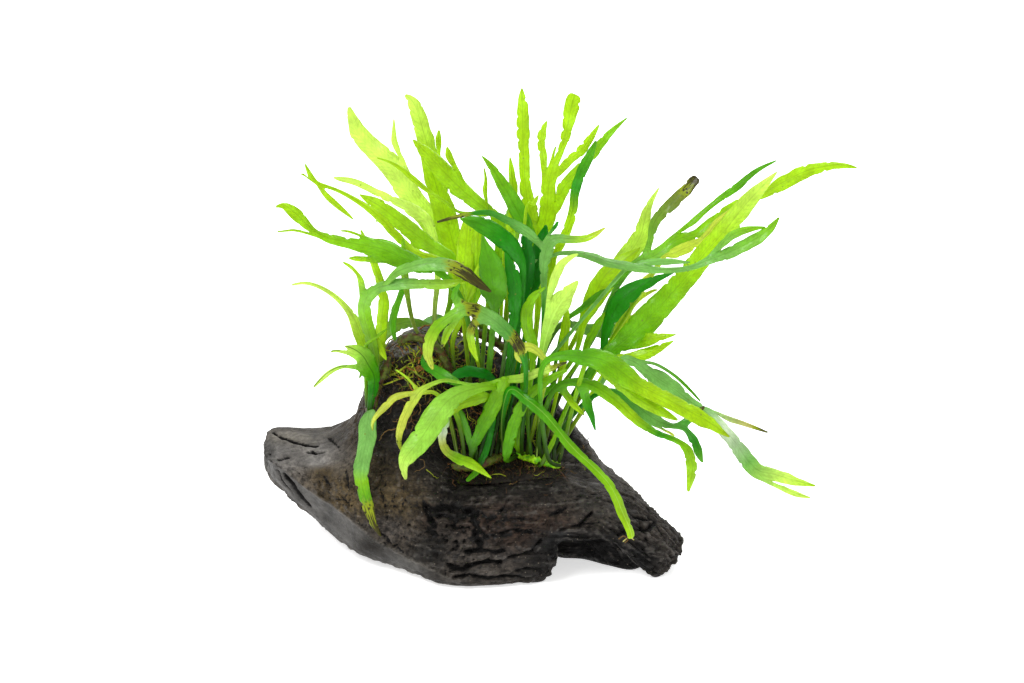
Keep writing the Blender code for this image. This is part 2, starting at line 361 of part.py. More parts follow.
        (32.4, 108, -27, 6), (35.2, 113.6, -27, 8.4), (38.4, 118, -27, 6.4), (43.2, 123.6, -27, 1.2)),
        (((33.5, 111), (33, 120, -27, 3.4), (34.4, 126, -27, 3.6), (37.2, 131.2, -26, 3.2),
          (43.2, 134.4, -25, 0.8)),)),
    "frond_hooked_right": Frond("front", 0.64, 20, (
        (27.5, 60, -24, 1.8), (30, 72, -27, 1.8), (34, 80.6, -30, 2.2), (40, 83.2, -32, 3),
        (47.2, 82.6, -33, 4),
        (53.2, 79.6, -34, 4.8), (60, 74.2, -35, 4.4), (67, 67.6, -36, 3.6), (74.6, 62.8, -37, 2.6),
        (83, 59.6, -38, 2.2), (87.2, 55.4, -39, 3.8), (88.8, 48, -39, 4.4), (87.2, 39.6, -39, 1.2)),
        (((36, 82), (39, 77.5, -31, 3), (41.6, 74, -32, 2.8), (45.6, 70, -33, 0.6)),
         ((45.4, 82.8), (46.4, 76, -34, 3.8), (48.6, 70, -35, 2.6), (50, 64, -35, 0.5)))),
    "frond_great_lime": Frond("front", 0.76, 5, (
        (32, 56, -18, 1.6), (35.5, 64, -15, 1.8), (41, 75, -10, 2), (47.5, 86, -6, 3), (54.8, 94.4, -4, 4.8),
        (61.4, 99.4, -3, 8), (68.6, 105.8, -2, 11.2), (74.8, 112.4, -1, 10.4), (81.6, 119.6, 0, 9.2),
        (88.8, 128, 1, 8.8), (94.6, 135.4, 2, 8), (101, 142.6, 3, 8), (108, 151.4, 4, 7.4),
        (114, 158.4, 5, 5.8), (122.8, 167.2, 6, 0.6)),
        (((63.8, 101.4), (68.8, 99.8, -8, 6), (74.2, 100.8, -9, 4), (82.4, 102.2, -10, 0.5)),)),
    "frond_low_right_dark": Frond("front", 0.88, 20, (
        (34, 58, -23, 1.6), (42, 71, -26, 1.8), (52, 79, -28, 2), (59.2, 79, -29, 2.8), (65, 75, -30, 4.4),
        (71, 70, -30.5, 6), (76, 67, -31, 4), (82, 65.2, -31, 1.6), (86.4, 64.2, -31, 1.8),
        (89.4, 60, -31, 3.6), (91.4, 55.2, -31, 3.4), (92.8, 51.2, -31, 1)),
        (((83.5, 65), (88.2, 68.6, -30, 3), (91.4, 71.4, -29.5, 2.6), (93.8, 73.4, -29, 0.8)),)),
    "frond_right_droop": Frond("front", 1.0, 25, (
        (31.5, 52, -28, 1.6), (29, 66, -33, 1.8), (28, 80, -38, 1.8), (29, 89.6, -40, 2.2), (34, 93.4, -41, 3),
        (42, 93.6, -42, 5.2), (52, 92, -43, 8.4), (60.4, 87, -44, 9), (67.6, 81.6, -45, 6.4),
        (77, 77, -46, 6.2), (87, 71.6, -47, 6.2), (95.6, 66.8, -48, 5), (103.6, 61.2, -49, 0.6))),
    "frond_bridge": Frond("front", 0.22, -25, (
        (20.6, 58, -22, 1.6), (21.6, 72, -29, 1.8), (22.4, 84, -35, 1.8), (21.8, 92, -38, 2.4),
        (19, 98.4, -39, 4.8),
        (14, 104, -41, 5.6), (8, 108.8, -42, 6), (0, 112.4, -44, 5.2), (-7.2, 109.6, -45, 4),
        (-13.2, 105.2, -46, 4.4), (-16.4, 99.2, -47, 4.4), (-16.8, 93.6, -47.5, 3.6), (-14.8, 88.4, -48, 1.2)),
        (((-3, 111.6), (-6.8, 117.5, -44, 2.8), (-4, 122.5, -43.5, 0.8)),
         ((-5, 110.6), (-9.4, 102.5, -43, 3), (-11.2, 96.8, -42.5, 0.8)),
         ((3, 111.4), (0.4, 104, -41, 3.2), (0.8, 97.2, -40, 3), (3.2, 91.6, -39, 0.6)))),
}


def clear_scene():
    """Remove every object of the file that the script runs in."""
    for thing in list(bpy.data.objects):
        bpy.data.objects.remove(thing, do_unlink=True)


def principled(name, colour, roughness):
    """A plain material, with no metal in it, of a colour and roughness."""
    material = bpy.data.materials.new(name)
    material.use_nodes = True
    shader = material.node_tree.nodes["Principled BSDF"]
    shader.inputs["Base Color"].default_value = (*colour, 1.0)
    shader.inputs["Roughness"].default_value = roughness
    material.diffuse_color = (*colour, 1.0)
    return material


def add_object(name, bm, material, smooth_angle):
    """Put a bmesh into the scene as one named object, smooth wherever faces meet at less than smooth_angle."""
    mesh = bpy.data.meshes.new(name)
    bm.to_mesh(mesh)
    bm.free()
    mesh.materials.append(material)
    mesh.shade_smooth()
    mesh.set_sharp_from_angle(angle=math.radians(smooth_angle))
    thing = bpy.data.objects.new(name, mesh)
    bpy.context.collection.objects.link(thing)
    return thing


def close_up(bm):
    """Triangles all over, and every face turned outwards."""
    bmesh.ops.triangulate(bm, faces=bm.faces[:])
    bmesh.ops.recalc_face_normals(bm, faces=bm.faces[:])


def skin(bm, rows):
    """Faces of a closed tube through rows of vertices, with a flat face at each end."""
    for lower, upper in zip(rows, rows[1:]):
        for j in range(len(lower)):
            k = (j + 1) % len(lower)
            bm.faces.new((lower[j], upper[j], upper[k], lower[k]))
    bm.faces.new(rows[0])
    bm.faces.new(rows[-1][::-1])
    close_up(bm)


def catmull_rom(before, start, end, after, t):
    """The curve between start and end at t, smooth through all four given values."""
    return 0.5 * (
        2 * start
        + (end - before) * t
        + (2 * before - 5 * start + 4 * end - after) * t * t
        + (3 * start - before - 3 * end + after) * t * t * t
    )


def wood_rings():
    """Rings of points over the whole driftwood, in millimetres, as an array of rings, points and xyz."""
    sections = np.array([[(x, y, z) for y, z in outline] for x, outline in WOOD_SECTIONS], dtype=float)
    along = []
    last = len(sections) - 1
    for i in range(last):
        four = sections[max(i - 1, 0)], sections[i], sections[i + 1], sections[min(i + 2, last)]
        for k in range(WOOD_RINGS_PER_SECTION):
            along.append(catmull_rom(*four, k / WOOD_RINGS_PER_SECTION))
    along.append(sections[last])
    rings = np.array(along)
    around = []
    count = rings.shape[1]
    for j in range(count):
        four = [rings[:, (j + step) % count] for step in (-1, 0, 1, 2)]
        for k in range(WOOD_POINTS_PER_SPAN):
            around.append(catmull_rom(*four, k / WOOD_POINTS_PER_SPAN))
    return np.stack(around, axis=1)


def roughen(rings):
    """Lumps and furrows along the grain, fading out at the underside, which stays flat on z = 0."""
    ahead = np.roll(rings, -1, axis=1) - np.roll(rings, 1, axis=1)
    along = np.gradient(rings, axis=0)
    outward = np.cross(along, ahead)
    outward /= np.linalg.norm(outward, axis=2, keepdims=True)
    rough = rings.copy()
    for i, ring in enumerate(rings):
        for j, point in enumerate(ring):
            spot = Vector((point[0] / WOOD_LUMP_STRETCH, point[1], point[2])) / WOOD_LUMP_SIZE
            lift = noise.fractal(spot, 1.0, 2.0, 3) * WOOD_ROUGHNESS
            rough[i, j] = point + outward[i, j] * lift * min(max(point[2] / WOOD_LUMP_RISE, 0.0), 1.0)
    rough[:, :, 2] = np.maximum(rough[:, :, 2], 0.0)
    return rough


def wood_piece(name, rings, material):
    """One closed length of driftwood between two of the rings, with flat ends."""
    bm = bmesh.new()
    skin(bm, [[bm.verts.new(Vector(point) * MM) for point in ring] for ring in rings])
    add_object(name, bm, material, smooth_angle=40)


def build_driftwood(material):
    """The driftwood, split at its main forks, with a narrow gap at each split."""
    rings = roughen(wood_rings())
    for name, first, last in WOOD_PIECES:
        piece = rings[first * WOOD_RINGS_PER_SECTION:last * WOOD_RINGS_PER_SECTION + 1].copy()
        if first > 0:
            piece[0, :, 0] = WOOD_SECTIONS[first][0] + GAP / 2
        if last < len(WOOD_SECTIONS) - 1:
            piece[-1, :, 0] = WOOD_SECTIONS[last][0] - GAP / 2
        wood_piece(name, piece, material)


def surface(prefixes):
    """The outer surface, in millimetres, of every object whose name begins with one of the prefixes."""
    points, faces = [], []
    for thing in bpy.data.objects:
        if thing.name.startswith(prefixes):
            first = len(points)
            points += [vertex.co / MM for vertex in thing.data.vertices]
            faces += [[first + index for index in face.vertices] for face in thing.data.polygons]
    return BVHTree.FromPolygons(points, faces)


def lay_on(tree, x, y, clearance):
    """The point at (x, y) that stands clearance off the surface, measured square to it."""
    spot, facing, _, _ = tree.ray_cast(Vector((x, y, HIGH_ABOVE)), Vector((0, 0, -1)))
    point = spot + facing * clearance
    for _ in range(PUSHES):
        near, _, _, distance = tree.find_nearest(point)
        if distance < clearance:
            point += (point - near).normalized() * (clearance - distance)
    return point


def mat_layer(bm, wood, corner, size, cells, thickness):
    """A grid of vertices over the wood. It swells by the thickness in its middle, where one is given."""
    rows = []
    for i in range(cells[0] + 1):
        row = []
        for j in range(cells[1] + 1):
            u, v = i / cells[0], j / cells[1]
            lift = MAT_CLEARANCE
            if thickness:
                lift += MAT_RIM + thickness * math.sqrt(max(math.sin(math.pi * u) * math.sin(math.pi * v), 0.0))
            spot = lay_on(wood, corner[0] + size[0] * u, corner[1] + size[1] * v, lift)
            row.append(bm.verts.new(spot * MM))
        rows.append(row)
    return rows


def build_moss_mats(material):
    """Pads of moss and old roots that follow the wood below them and thin out towards their rims."""
    wood = surface(("driftwood",))
    for name, (corner, size, cells, thickness) in MOSS_MATS.items():
        bm = bmesh.new()
        below = mat_layer(bm, wood, corner, size, cells, 0.0)
        above = mat_layer(bm, wood, corner, size, cells, thickness)
        for i in range(cells[0]):
            for j in range(cells[1]):
                bm.faces.new((above[i][j], above[i + 1][j], above[i + 1][j + 1], above[i][j + 1]))
                bm.faces.new((below[i][j], below[i][j + 1], below[i + 1][j + 1], below[i + 1][j]))
        rim = [(i, 0) for i in range(cells[0])] + [(cells[0], j) for j in range(cells[1])]
        rim += [(i, cells[1]) for i in range(cells[0], 0, -1)] + [(0, j) for j in range(cells[1], 0, -1)]
        for (i, j), (k, m) in zip(rim, rim[1:] + rim[:1]):
            bm.faces.new((above[i][j], below[i][j], below[k][m], above[k][m]))
        close_up(bm)
        add_object(name, bm, material, smooth_angle=50)


class Spine:
    """A smooth curve through rows of (x, y, z, width), read by the distance along it."""

    def __init__(self, rows):
        rows = np.array(rows, dtype=float)
        last = len(rows) - 1
        fine = []
        for i in range(last):
            four = rows[max(i - 1, 0)], rows[i], rows[i + 1], rows[min(i + 2, last)]
            fine += [catmull_rom(*four, k / SPINE_FINENESS) for k in range(SPINE_FINENESS)]
        fine.append(rows[last])
        self.rows = np.array(fine)
        steps = np.linalg.norm(np.diff(self.rows[:, :3], axis=0), axis=1)
        self.distance = np.concatenate([[0.0], np.cumsum(steps)])
        self.length = self.distance[-1]

    def at(self, s):
        """The point and the width at a distance s along the curve."""
        row = [np.interp(s, self.distance, self.rows[:, k]) for k in range(4)]
        return Vector(row[:3]), max(row[3], LEAST_WIDTH)

    def heading(self, s):
        """The unit direction of the curve at s."""
        ahead, _ = self.at(min(s + HEADING_REACH, self.length))
        behind, _ = self.at(max(s - HEADING_REACH, 0.0))
        return (ahead - behind).normalized()

    def spread(self, start):
        """Distances between start and the end, closer together where the curve bends."""
        places, spent = [start], [0.0]
        while places[-1] < self.length:
            s = places[-1]
            turn = self.heading(s).angle(self.heading(min(s + WALK_STEP, self.length)))
            spent.append(spent[-1] + WALK_STEP / STATION_STEP + turn / STATION_TURN)
            places.append(s + WALK_STEP)
        count = max(round(spent[-1]), 2)
        return [float(np.interp(spent[-1] * k / count, spent, places)) for k in range(1, count)]

    def nearest(self, point):
        """The distance along the curve of its place nearest to a point."""
        gaps = np.linalg.norm(self.rows[:, :3] - np.array(point), axis=1)
        return float(self.distance[int(np.argmin(gaps))])


def build_rhizomes(material):
    """The creeping stems, each a knobbly tube with rounded ends, and their centre lines by name."""
    ground = surface(("driftwood", "moss_mat"))
    spines = {}
    for name, (radius, path) in RHIZOMES.items():
        clearance = radius * (1 + RHIZOME_KNOBS) + 2 * GAP
        spine = Spine([(*lay_on(ground, x, y, clearance), clearance) for x, y in path])
        spines[name] = spine
        bm = bmesh.new()
        count = max(int(spine.length / RHIZOME_STEP), LEAST_LENGTHS)
        rows = []
        for i in range(count + 1):
            s = spine.length * i / count
            centre, _ = spine.at(s)
            heading = spine.heading(s)
            side = heading.cross(Vector((0, 0, 1))).normalized()
            upward = side.cross(heading)
            end = RHIZOME_END if i in (0, count) else 1.0
            swell = radius * end * (1 + RHIZOME_KNOBS * (-1) ** i)
            ring = []
            for k in range(RHIZOME_SIDES):
                turn = 2 * math.pi * k / RHIZOME_SIDES
                outward = side * math.cos(turn) + upward * math.sin(turn)
                ring.append(bm.verts.new((centre + outward * swell) * MM))
            rows.append(ring)
        skin(bm, rows)
        add_object("rhizome_" + name, bm, material, smooth_angle=60)
    return spines


def seen(right, up, y):
    """The point at depth y that the viewer sees this far to the right and this far up."""
    along = Vector((0, math.cos(VIEW_TILT), -math.sin(VIEW_TILT)))
    upward = Vector((0, math.sin(VIEW_TILT), math.cos(VIEW_TILT)))
    sideways, rise = right - VIEW_CENTRE[0], up - VIEW_CENTRE[1]
    eye = Vector((VIEW_CENTRE[0], TOE_Y, 0)) + upward * VIEW_CENTRE[1] - along * VIEW_DISTANCE
    ray = along * VIEW_DISTANCE + Vector((sideways, 0, 0)) + upward * rise
    return eye + ray * ((y - eye.y) / ray.y)


def seen_rows(rows):
    """Rows of (right, up, y, width) as rows of (x, y, z, width)."""
    return [(*seen(right, up, y), width) for right, up, y, width in rows]


def across(heading, roll):
    """The unit direction across a blade, rolled about its spine away from facing the viewer."""
    away = Vector((0, math.cos(VIEW_TILT), -math.sin(VIEW_TILT)))
    side = heading.cross(away)
    if side.length < LEAST_SIDE:
        side = Vector((1, 0, 0))
    side.normalize()
    deep = side.cross(heading).normalized()
    return side * math.cos(roll) + deep * math.sin(roll)


def blade_row(bm, spine, s, roll):
    """Three vertices across a blade: its left edge, its midrib and its right edge."""
    centre, width = spine.at(s)
    heading = spine.heading(s)
    sideways = across(heading, roll)
    sunk = heading.cross(sideways) * (width * MIDRIB_DEPTH)
    half = sideways * (width / 2 / math.cos(roll))
    return [bm.verts.new(point * MM) for point in (centre - half, centre + sunk, centre + half)]


class Fork(NamedTuple):
    """Where a lobe leaves a blade: its place along the blade, half the length of edge that it grows
    from, its side (1 right, -1 left) and its own spine."""

    place: float
    half: float
    side: int
    spine: Spine


def find_forks(spine, roll, lobes, start):
    """The forks of a blade, each wide enough for its lobe and clear of the others on its edge."""
    forks = []
    for first, *rest in lobes:
        place = spine.nearest(seen(*first, rest[0][2]))
        point, _ = spine.at(place)
        lobe = Spine([(*point, STALK_WIDTH)] + seen_rows(rest))
        reach, _ = lobe.at(lobe.length * LOBE_SIDE_AT)
        side = 1 if (reach - point).dot(across(spine.heading(place), roll)) > 0 else -1
        half = min(max(rest[0][3] * FORK_SHARE, FORK_LEAST), FORK_MOST)
        margin = half + FORK_MARGIN
        forks.append(Fork(min(max(place, start + margin), spine.length - margin), half, side, lobe))
    fitted = []
    for fork in forks:
        beside = [other for other in forks if other is not fork and other.side == fork.side]
        gaps = [abs(fork.place - other.place) for other in beside]
        fitted.append(fork._replace(half=min([fork.half] + [gap / 2 - FORK_SPACING for gap in gaps])))
    return fitted


def blade_stations(spine, start, forks):
    """Places of the blade's rows of vertices, with three for each fork."""
    stations = {start, spine.length}
    for s in spine.spread(start):
        if all(abs(s - fork.place) > fork.half + FORK_CLEAR for fork in forks):
            stations.add(s)
    for fork in forks:
        stations.update((fork.place - fork.half, fork.place, fork.place + fork.half))
    stations = sorted(stations)
    return [s for s, after in zip(stations, stations[1:] + [math.inf]) if after - s > GAP]


def clear_of(parent, roll, fork):
    """The distance along a lobe at which it has left its parent blade."""
    _, width = parent.at(fork.place)
    s = 0.0
    while s < fork.spine.length * 0.5:
        point, _ = fork.spine.at(s)
        place, _ = parent.at(parent.nearest(point))
        if (point - place).length > width / 2 / math.cos(roll) + FORK_MARGIN:
            break
        s += WALK_STEP
    return s


def grow_blade(bm, spine, roll, lobes, start=0.0, root=None):
    """Faces of a blade along its spine, and of the lobes that fork from its edges.

    A lobe begins on the vertices of its parent's edge, the root, so that blade and lobes are one sheet."""
    forks = find_forks(spine, roll, lobes, start)
    stations = blade_stations(spine, start, forks)
    rows = [blade_row(bm, spine, s, roll) for s in stations[1:]]
    if root:
        middle = len(root) // 2
        bm.faces.new((*root[:middle + 1], rows[0][1], rows[0][0]))
        bm.faces.new((*root[middle:], rows[0][2], rows[0][1]))
    else:
        rows.insert(0, blade_row(bm, spine, stations[0], roll))
    for lower, upper in zip(rows, rows[1:]):
        bm.faces.new((lower[0], lower[1], upper[1], upper[0]))
        bm.faces.new((lower[1], lower[2], upper[2], upper[1]))
    for fork in forks:
        column = 1 + fork.side
        edge = [row[column] for s, row in zip(stations, rows) if abs(s - fork.place) < fork.half + GAP / 2]
        if fork.side > 0:
            edge.reverse()
        grow_blade(bm, fork.spine, roll, (), clear_of(spine, roll, fork), edge)


def build_fronds(rhizomes, material):
    """Every frond as one closed thin solid that starts just off its rhizome."""
    for name, frond in FRONDS.items():
        carrier = rhizomes[frond.rhizome]
        s = carrier.length * frond.eye
        centre, clearance = carrier.at(s)
        rows = seen_rows(frond.rows)
        outward = Vector(rows[0][:3]) - centre
        outward -= outward.project(carrier.heading(s))
        foot = centre + outward.normalized() * (clearance + FROND_THICKNESS)
        spine = Spine([(*foot, STALK_WIDTH)] + rows)
        bm = bmesh.new()
        grow_blade(bm, spine, math.radians(frond.roll), frond.lobes)
        thing = add_object(name, bm, material, smooth_angle=50)
        thickness = thing.modifiers.new("thickness", "SOLIDIFY")
        thickness.thickness = FROND_THICKNESS * MM
        thickness.offset = 0.0


def main():
    """Build the driftwood first, then what lies on it, then what grows from that."""
    clear_scene()
    bark = principled("wet_dark_driftwood", (0.07, 0.055, 0.045), roughness=0.55)
    moss = principled("moss_and_old_roots", (0.16, 0.13, 0.03), roughness=0.9)
    stem = principled("green_rhizome", (0.22, 0.32, 0.03), roughness=0.5)
    leaf = principled("lime_frond", (0.27, 0.62, 0.02), roughness=0.4)
    build_driftwood(bark)
    build_moss_mats(moss)
    rhizomes = build_rhizomes(stem)
    build_fronds(rhizomes, leaf)


main()
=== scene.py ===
"""Java fern on driftwood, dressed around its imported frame.

The viewer stands at -Y, so X runs to the viewer's right and Y away from the viewer. Sizes in the tables and in the
shape code are millimetres, and a mesh is turned into metres when it is made.
"""

import logging
import math
import random
from dataclasses import dataclass, field
from enum import Enum
from typing import NamedTuple, Optional, Sequence, Union

import bmesh
import bpy
import numpy as np
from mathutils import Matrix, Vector, noise
from mathutils.bvhtree import BVHTree


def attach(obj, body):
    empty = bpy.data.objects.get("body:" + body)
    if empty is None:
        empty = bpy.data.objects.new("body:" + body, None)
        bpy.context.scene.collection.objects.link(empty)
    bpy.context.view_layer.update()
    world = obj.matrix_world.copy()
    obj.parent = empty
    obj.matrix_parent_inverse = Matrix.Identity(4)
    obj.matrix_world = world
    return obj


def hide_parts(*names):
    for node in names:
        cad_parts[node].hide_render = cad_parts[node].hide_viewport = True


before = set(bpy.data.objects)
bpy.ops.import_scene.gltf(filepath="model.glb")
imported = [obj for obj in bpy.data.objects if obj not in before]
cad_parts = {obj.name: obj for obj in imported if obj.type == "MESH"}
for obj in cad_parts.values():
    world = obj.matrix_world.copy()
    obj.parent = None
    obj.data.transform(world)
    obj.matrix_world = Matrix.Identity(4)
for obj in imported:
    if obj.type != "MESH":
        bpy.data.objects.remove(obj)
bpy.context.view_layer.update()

LOG = logging.getLogger("java_fern")
MM = 0.001

# Driftwood sections, from the left arm's end to the right foot's end. Each is its x and the outline there as
# (y, z), from the front of the underside up the front, over the hollow and the ridge, down the back and under.
WOOD_SECTIONS = (
    (-86.5, ((10, 28), (7, 31), (7, 35), (9, 38), (12, 40), (16, 41.5), (20, 42),
             (24, 41.5), (28, 39), (29, 35), (25, 30), (20, 28), (17, 27), (13, 27))),
    (-82, ((4, 24), (0, 28), (0, 35), (4, 39), (9, 42), (14, 44), (19, 44.5),
           (25, 43.5), (30, 40), (32, 34), (28, 27), (22, 24), (16, 23), (10, 23.5))),
    (-70, ((-2, 14.5), (-7, 19), (-8, 30), (-4, 38), (4, 42.5), (10, 44.5), (17, 45),
           (25, 43.5), (33, 39), (36, 30), (30, 18), (22, 15), (14, 13.5), (6, 13.5))),
    (-58, ((-8, 8), (-15, 13), (-17, 25), (-13, 36), (-4, 42), (6, 44.5), (14, 45),
           (25, 44), (36, 38.5), (41, 28), (34, 11), (24, 7.5), (12, 5.5), (0, 6.5))),
    (-48, ((-16, 4.2), (-24, 9.5), (-25, 24), (-19, 38), (-9, 47), (2, 53), (9, 55),
           (20, 53), (36, 44), (44, 28), (37, 3), (25, 0), (12, 0.5), (-2, 2.5))),
    (-41, ((-22, 3), (-29, 10), (-28, 26), (-21, 43), (-12, 58), (-4, 70), (4, 75.5),
             (16, 73), (34, 57), (46, 32), (38, 0), (25, 0), (10, 0), (-6, 0))),
    (-33, ((-28, 3), (-33, 11), (-30, 28), (-22, 47), (-14, 66), (-6, 80), (3, 87),
           (15, 84), (33, 66), (47, 36), (40, 0), (25, 0), (8, 0), (-10, 0))),
    (-24, ((-35, 3), (-38, 11), (-34, 27), (-26, 45), (-17, 66), (-7, 83.5), (3, 92),
           (16, 89.5), (34, 71), (48, 38), (42, 0), (25, 0), (6, 0), (-14, 0))),
    (-14, ((-42, 2), (-42, 10), (-38, 24), (-31, 37), (-18, 50), (-6, 74.5), (4, 92),
           (16, 90), (35, 72), (49, 38), (42, 0), (24, 0), (4, 0), (-18, 0))),
    (-4, ((-44, 1), (-44, 11), (-40, 25), (-31, 37), (-19, 39), (-5, 59), (6, 86.5),
          (17, 86.5), (36, 70), (49, 36), (43, 0), (22, 0), (2, 0), (-20, 0))),
    (8, ((-43, 1), (-44, 12), (-40, 26), (-30, 37.5), (-18, 37), (-4, 52.5), (8, 79),
         (18, 80), (36, 66), (48, 34), (43, 0), (20, 0), (0, 0), (-20, 0))),
    (20, ((-40, 1), (-43, 12), (-40, 26), (-30, 38), (-17, 38), (-2, 49.5), (9, 71),
          (18, 72), (35, 60), (46, 31), (42, 0), (18, 0), (-2, 0), (-20, 0))),
    (30.4, ((-37, 1), (-41, 13), (-39, 27), (-29, 39), (-16, 39), (-1, 47), (8, 64),
          (17, 64), (33, 53), (43, 28), (40, 0), (16, 0), (-4, 0), (-20, 0))),
    (36, ((-39, 18), (-41, 21), (-38, 29), (-28, 39), (-15, 39), (-1, 45), (6, 56.2),
          (15, 57.2), (31, 48), (41, 26), (38, 0), (14, 0), (-14, 0), (-17, 16.5))),
    (46, ((-39, 19), (-41, 21), (-38, 28), (-28, 36), (-16, 37.5), (-6, 41), (1, 46.2),
          (11, 45.2), (26, 38), (35, 20), (33, 0), (12, 0), (-16, 0), (-19, 17))),
    (56, ((-37, 17.5), (-39, 20), (-35, 27), (-27, 33), (-18, 35), (-12, 35.5), (-7, 35.5),
          (2, 34), (16, 27), (25, 15), (24, 0), (6, 0), (-22, 0), (-25, 14))),
    (66, ((-35, 8), (-37, 12), (-34, 20), (-28, 25), (-22, 28), (-17, 29.5), (-13, 29.5),
          (-4, 28), (9, 21), (16, 11), (15, 0), (-4, 0), (-26, 0), (-29, 7))),
    (74, ((-33, 0), (-36, 5), (-34, 13), (-30, 18), (-25, 21), (-20, 22.5), (-16, 22.5),
          (-8, 21), (3, 15), (9, 8), (8, 0), (-4, 0), (-16, 0), (-26, 0))),
    (80, ((-31, 2), (-34, 6), (-33, 11), (-29, 15), (-25, 17), (-21, 17.8), (-17, 17.5),
          (-11, 16), (-3, 12), (1, 7), (0, 3), (-7, 1), (-16, 1), (-24, 1))),
    (85.5, ((-25, 4.5), (-28, 6.5), (-28, 8.6), (-26, 10.8), (-23, 12.2), (-20, 12.6), (-17, 12.2),
          (-13, 11.2), (-10, 9.5), (-9, 7), (-11, 4.5), (-14, 3.5), (-18, 3), (-22, 3.5))),
)

WOOD_NODES = ("driftwood_left_arm", "driftwood_body", "driftwood_bridge", "driftwood_right_foot")

# Rhizomes: where each creeps over the wood as (x, y), and its radius
RHIZOMES = {
    "left": (2.2, ((-41, -13), (-39, -12), (-36, -10), (-33, -9), (-31, -8))),
    "top": (1.8, ((-29, -5), (-24, -4), (-19, -4), (-14, -4), (-10, -4))),
    "middle": (1.9, ((-9, -21), (-4, -20.5), (2, -19.5), (8, -17), (13, -14.5))),
    "front": (1.7, ((17, -12), (20, -13.5), (24, -16.5), (29, -20), (36, -22))),
    "back": (1.9, ((-6, -3), (4, -0.5), (14, 1), (24, 1.5), (32, 1), (38, 0))),
    "crest": (1.9, ((-12, 15), (-3, 16), (7, 17), (18, 17), (29, 16))),
}

# Moss and root mats: corner (x, y) of each, its size, how many cells, and its greatest thickness
MOSS_MATS = {
    "moss_mat_hollow": ((-6, -25), (44, 13), (9, 4), 2.0),
    "moss_mat_mound": ((-36, -9), (26, 10), (7, 4), 2.0),
}


class Frond(NamedTuple):
    """A frond: the rhizome and the place along it (0 to 1) that it grows from, how far its blade is rolled about
    its spine in degrees, its rows of (right, up, y, width seen), and the lobes that fork off it."""

    rhizome: str
    eye: float
    roll: float
    rows: tuple
    lobes: tuple = ()


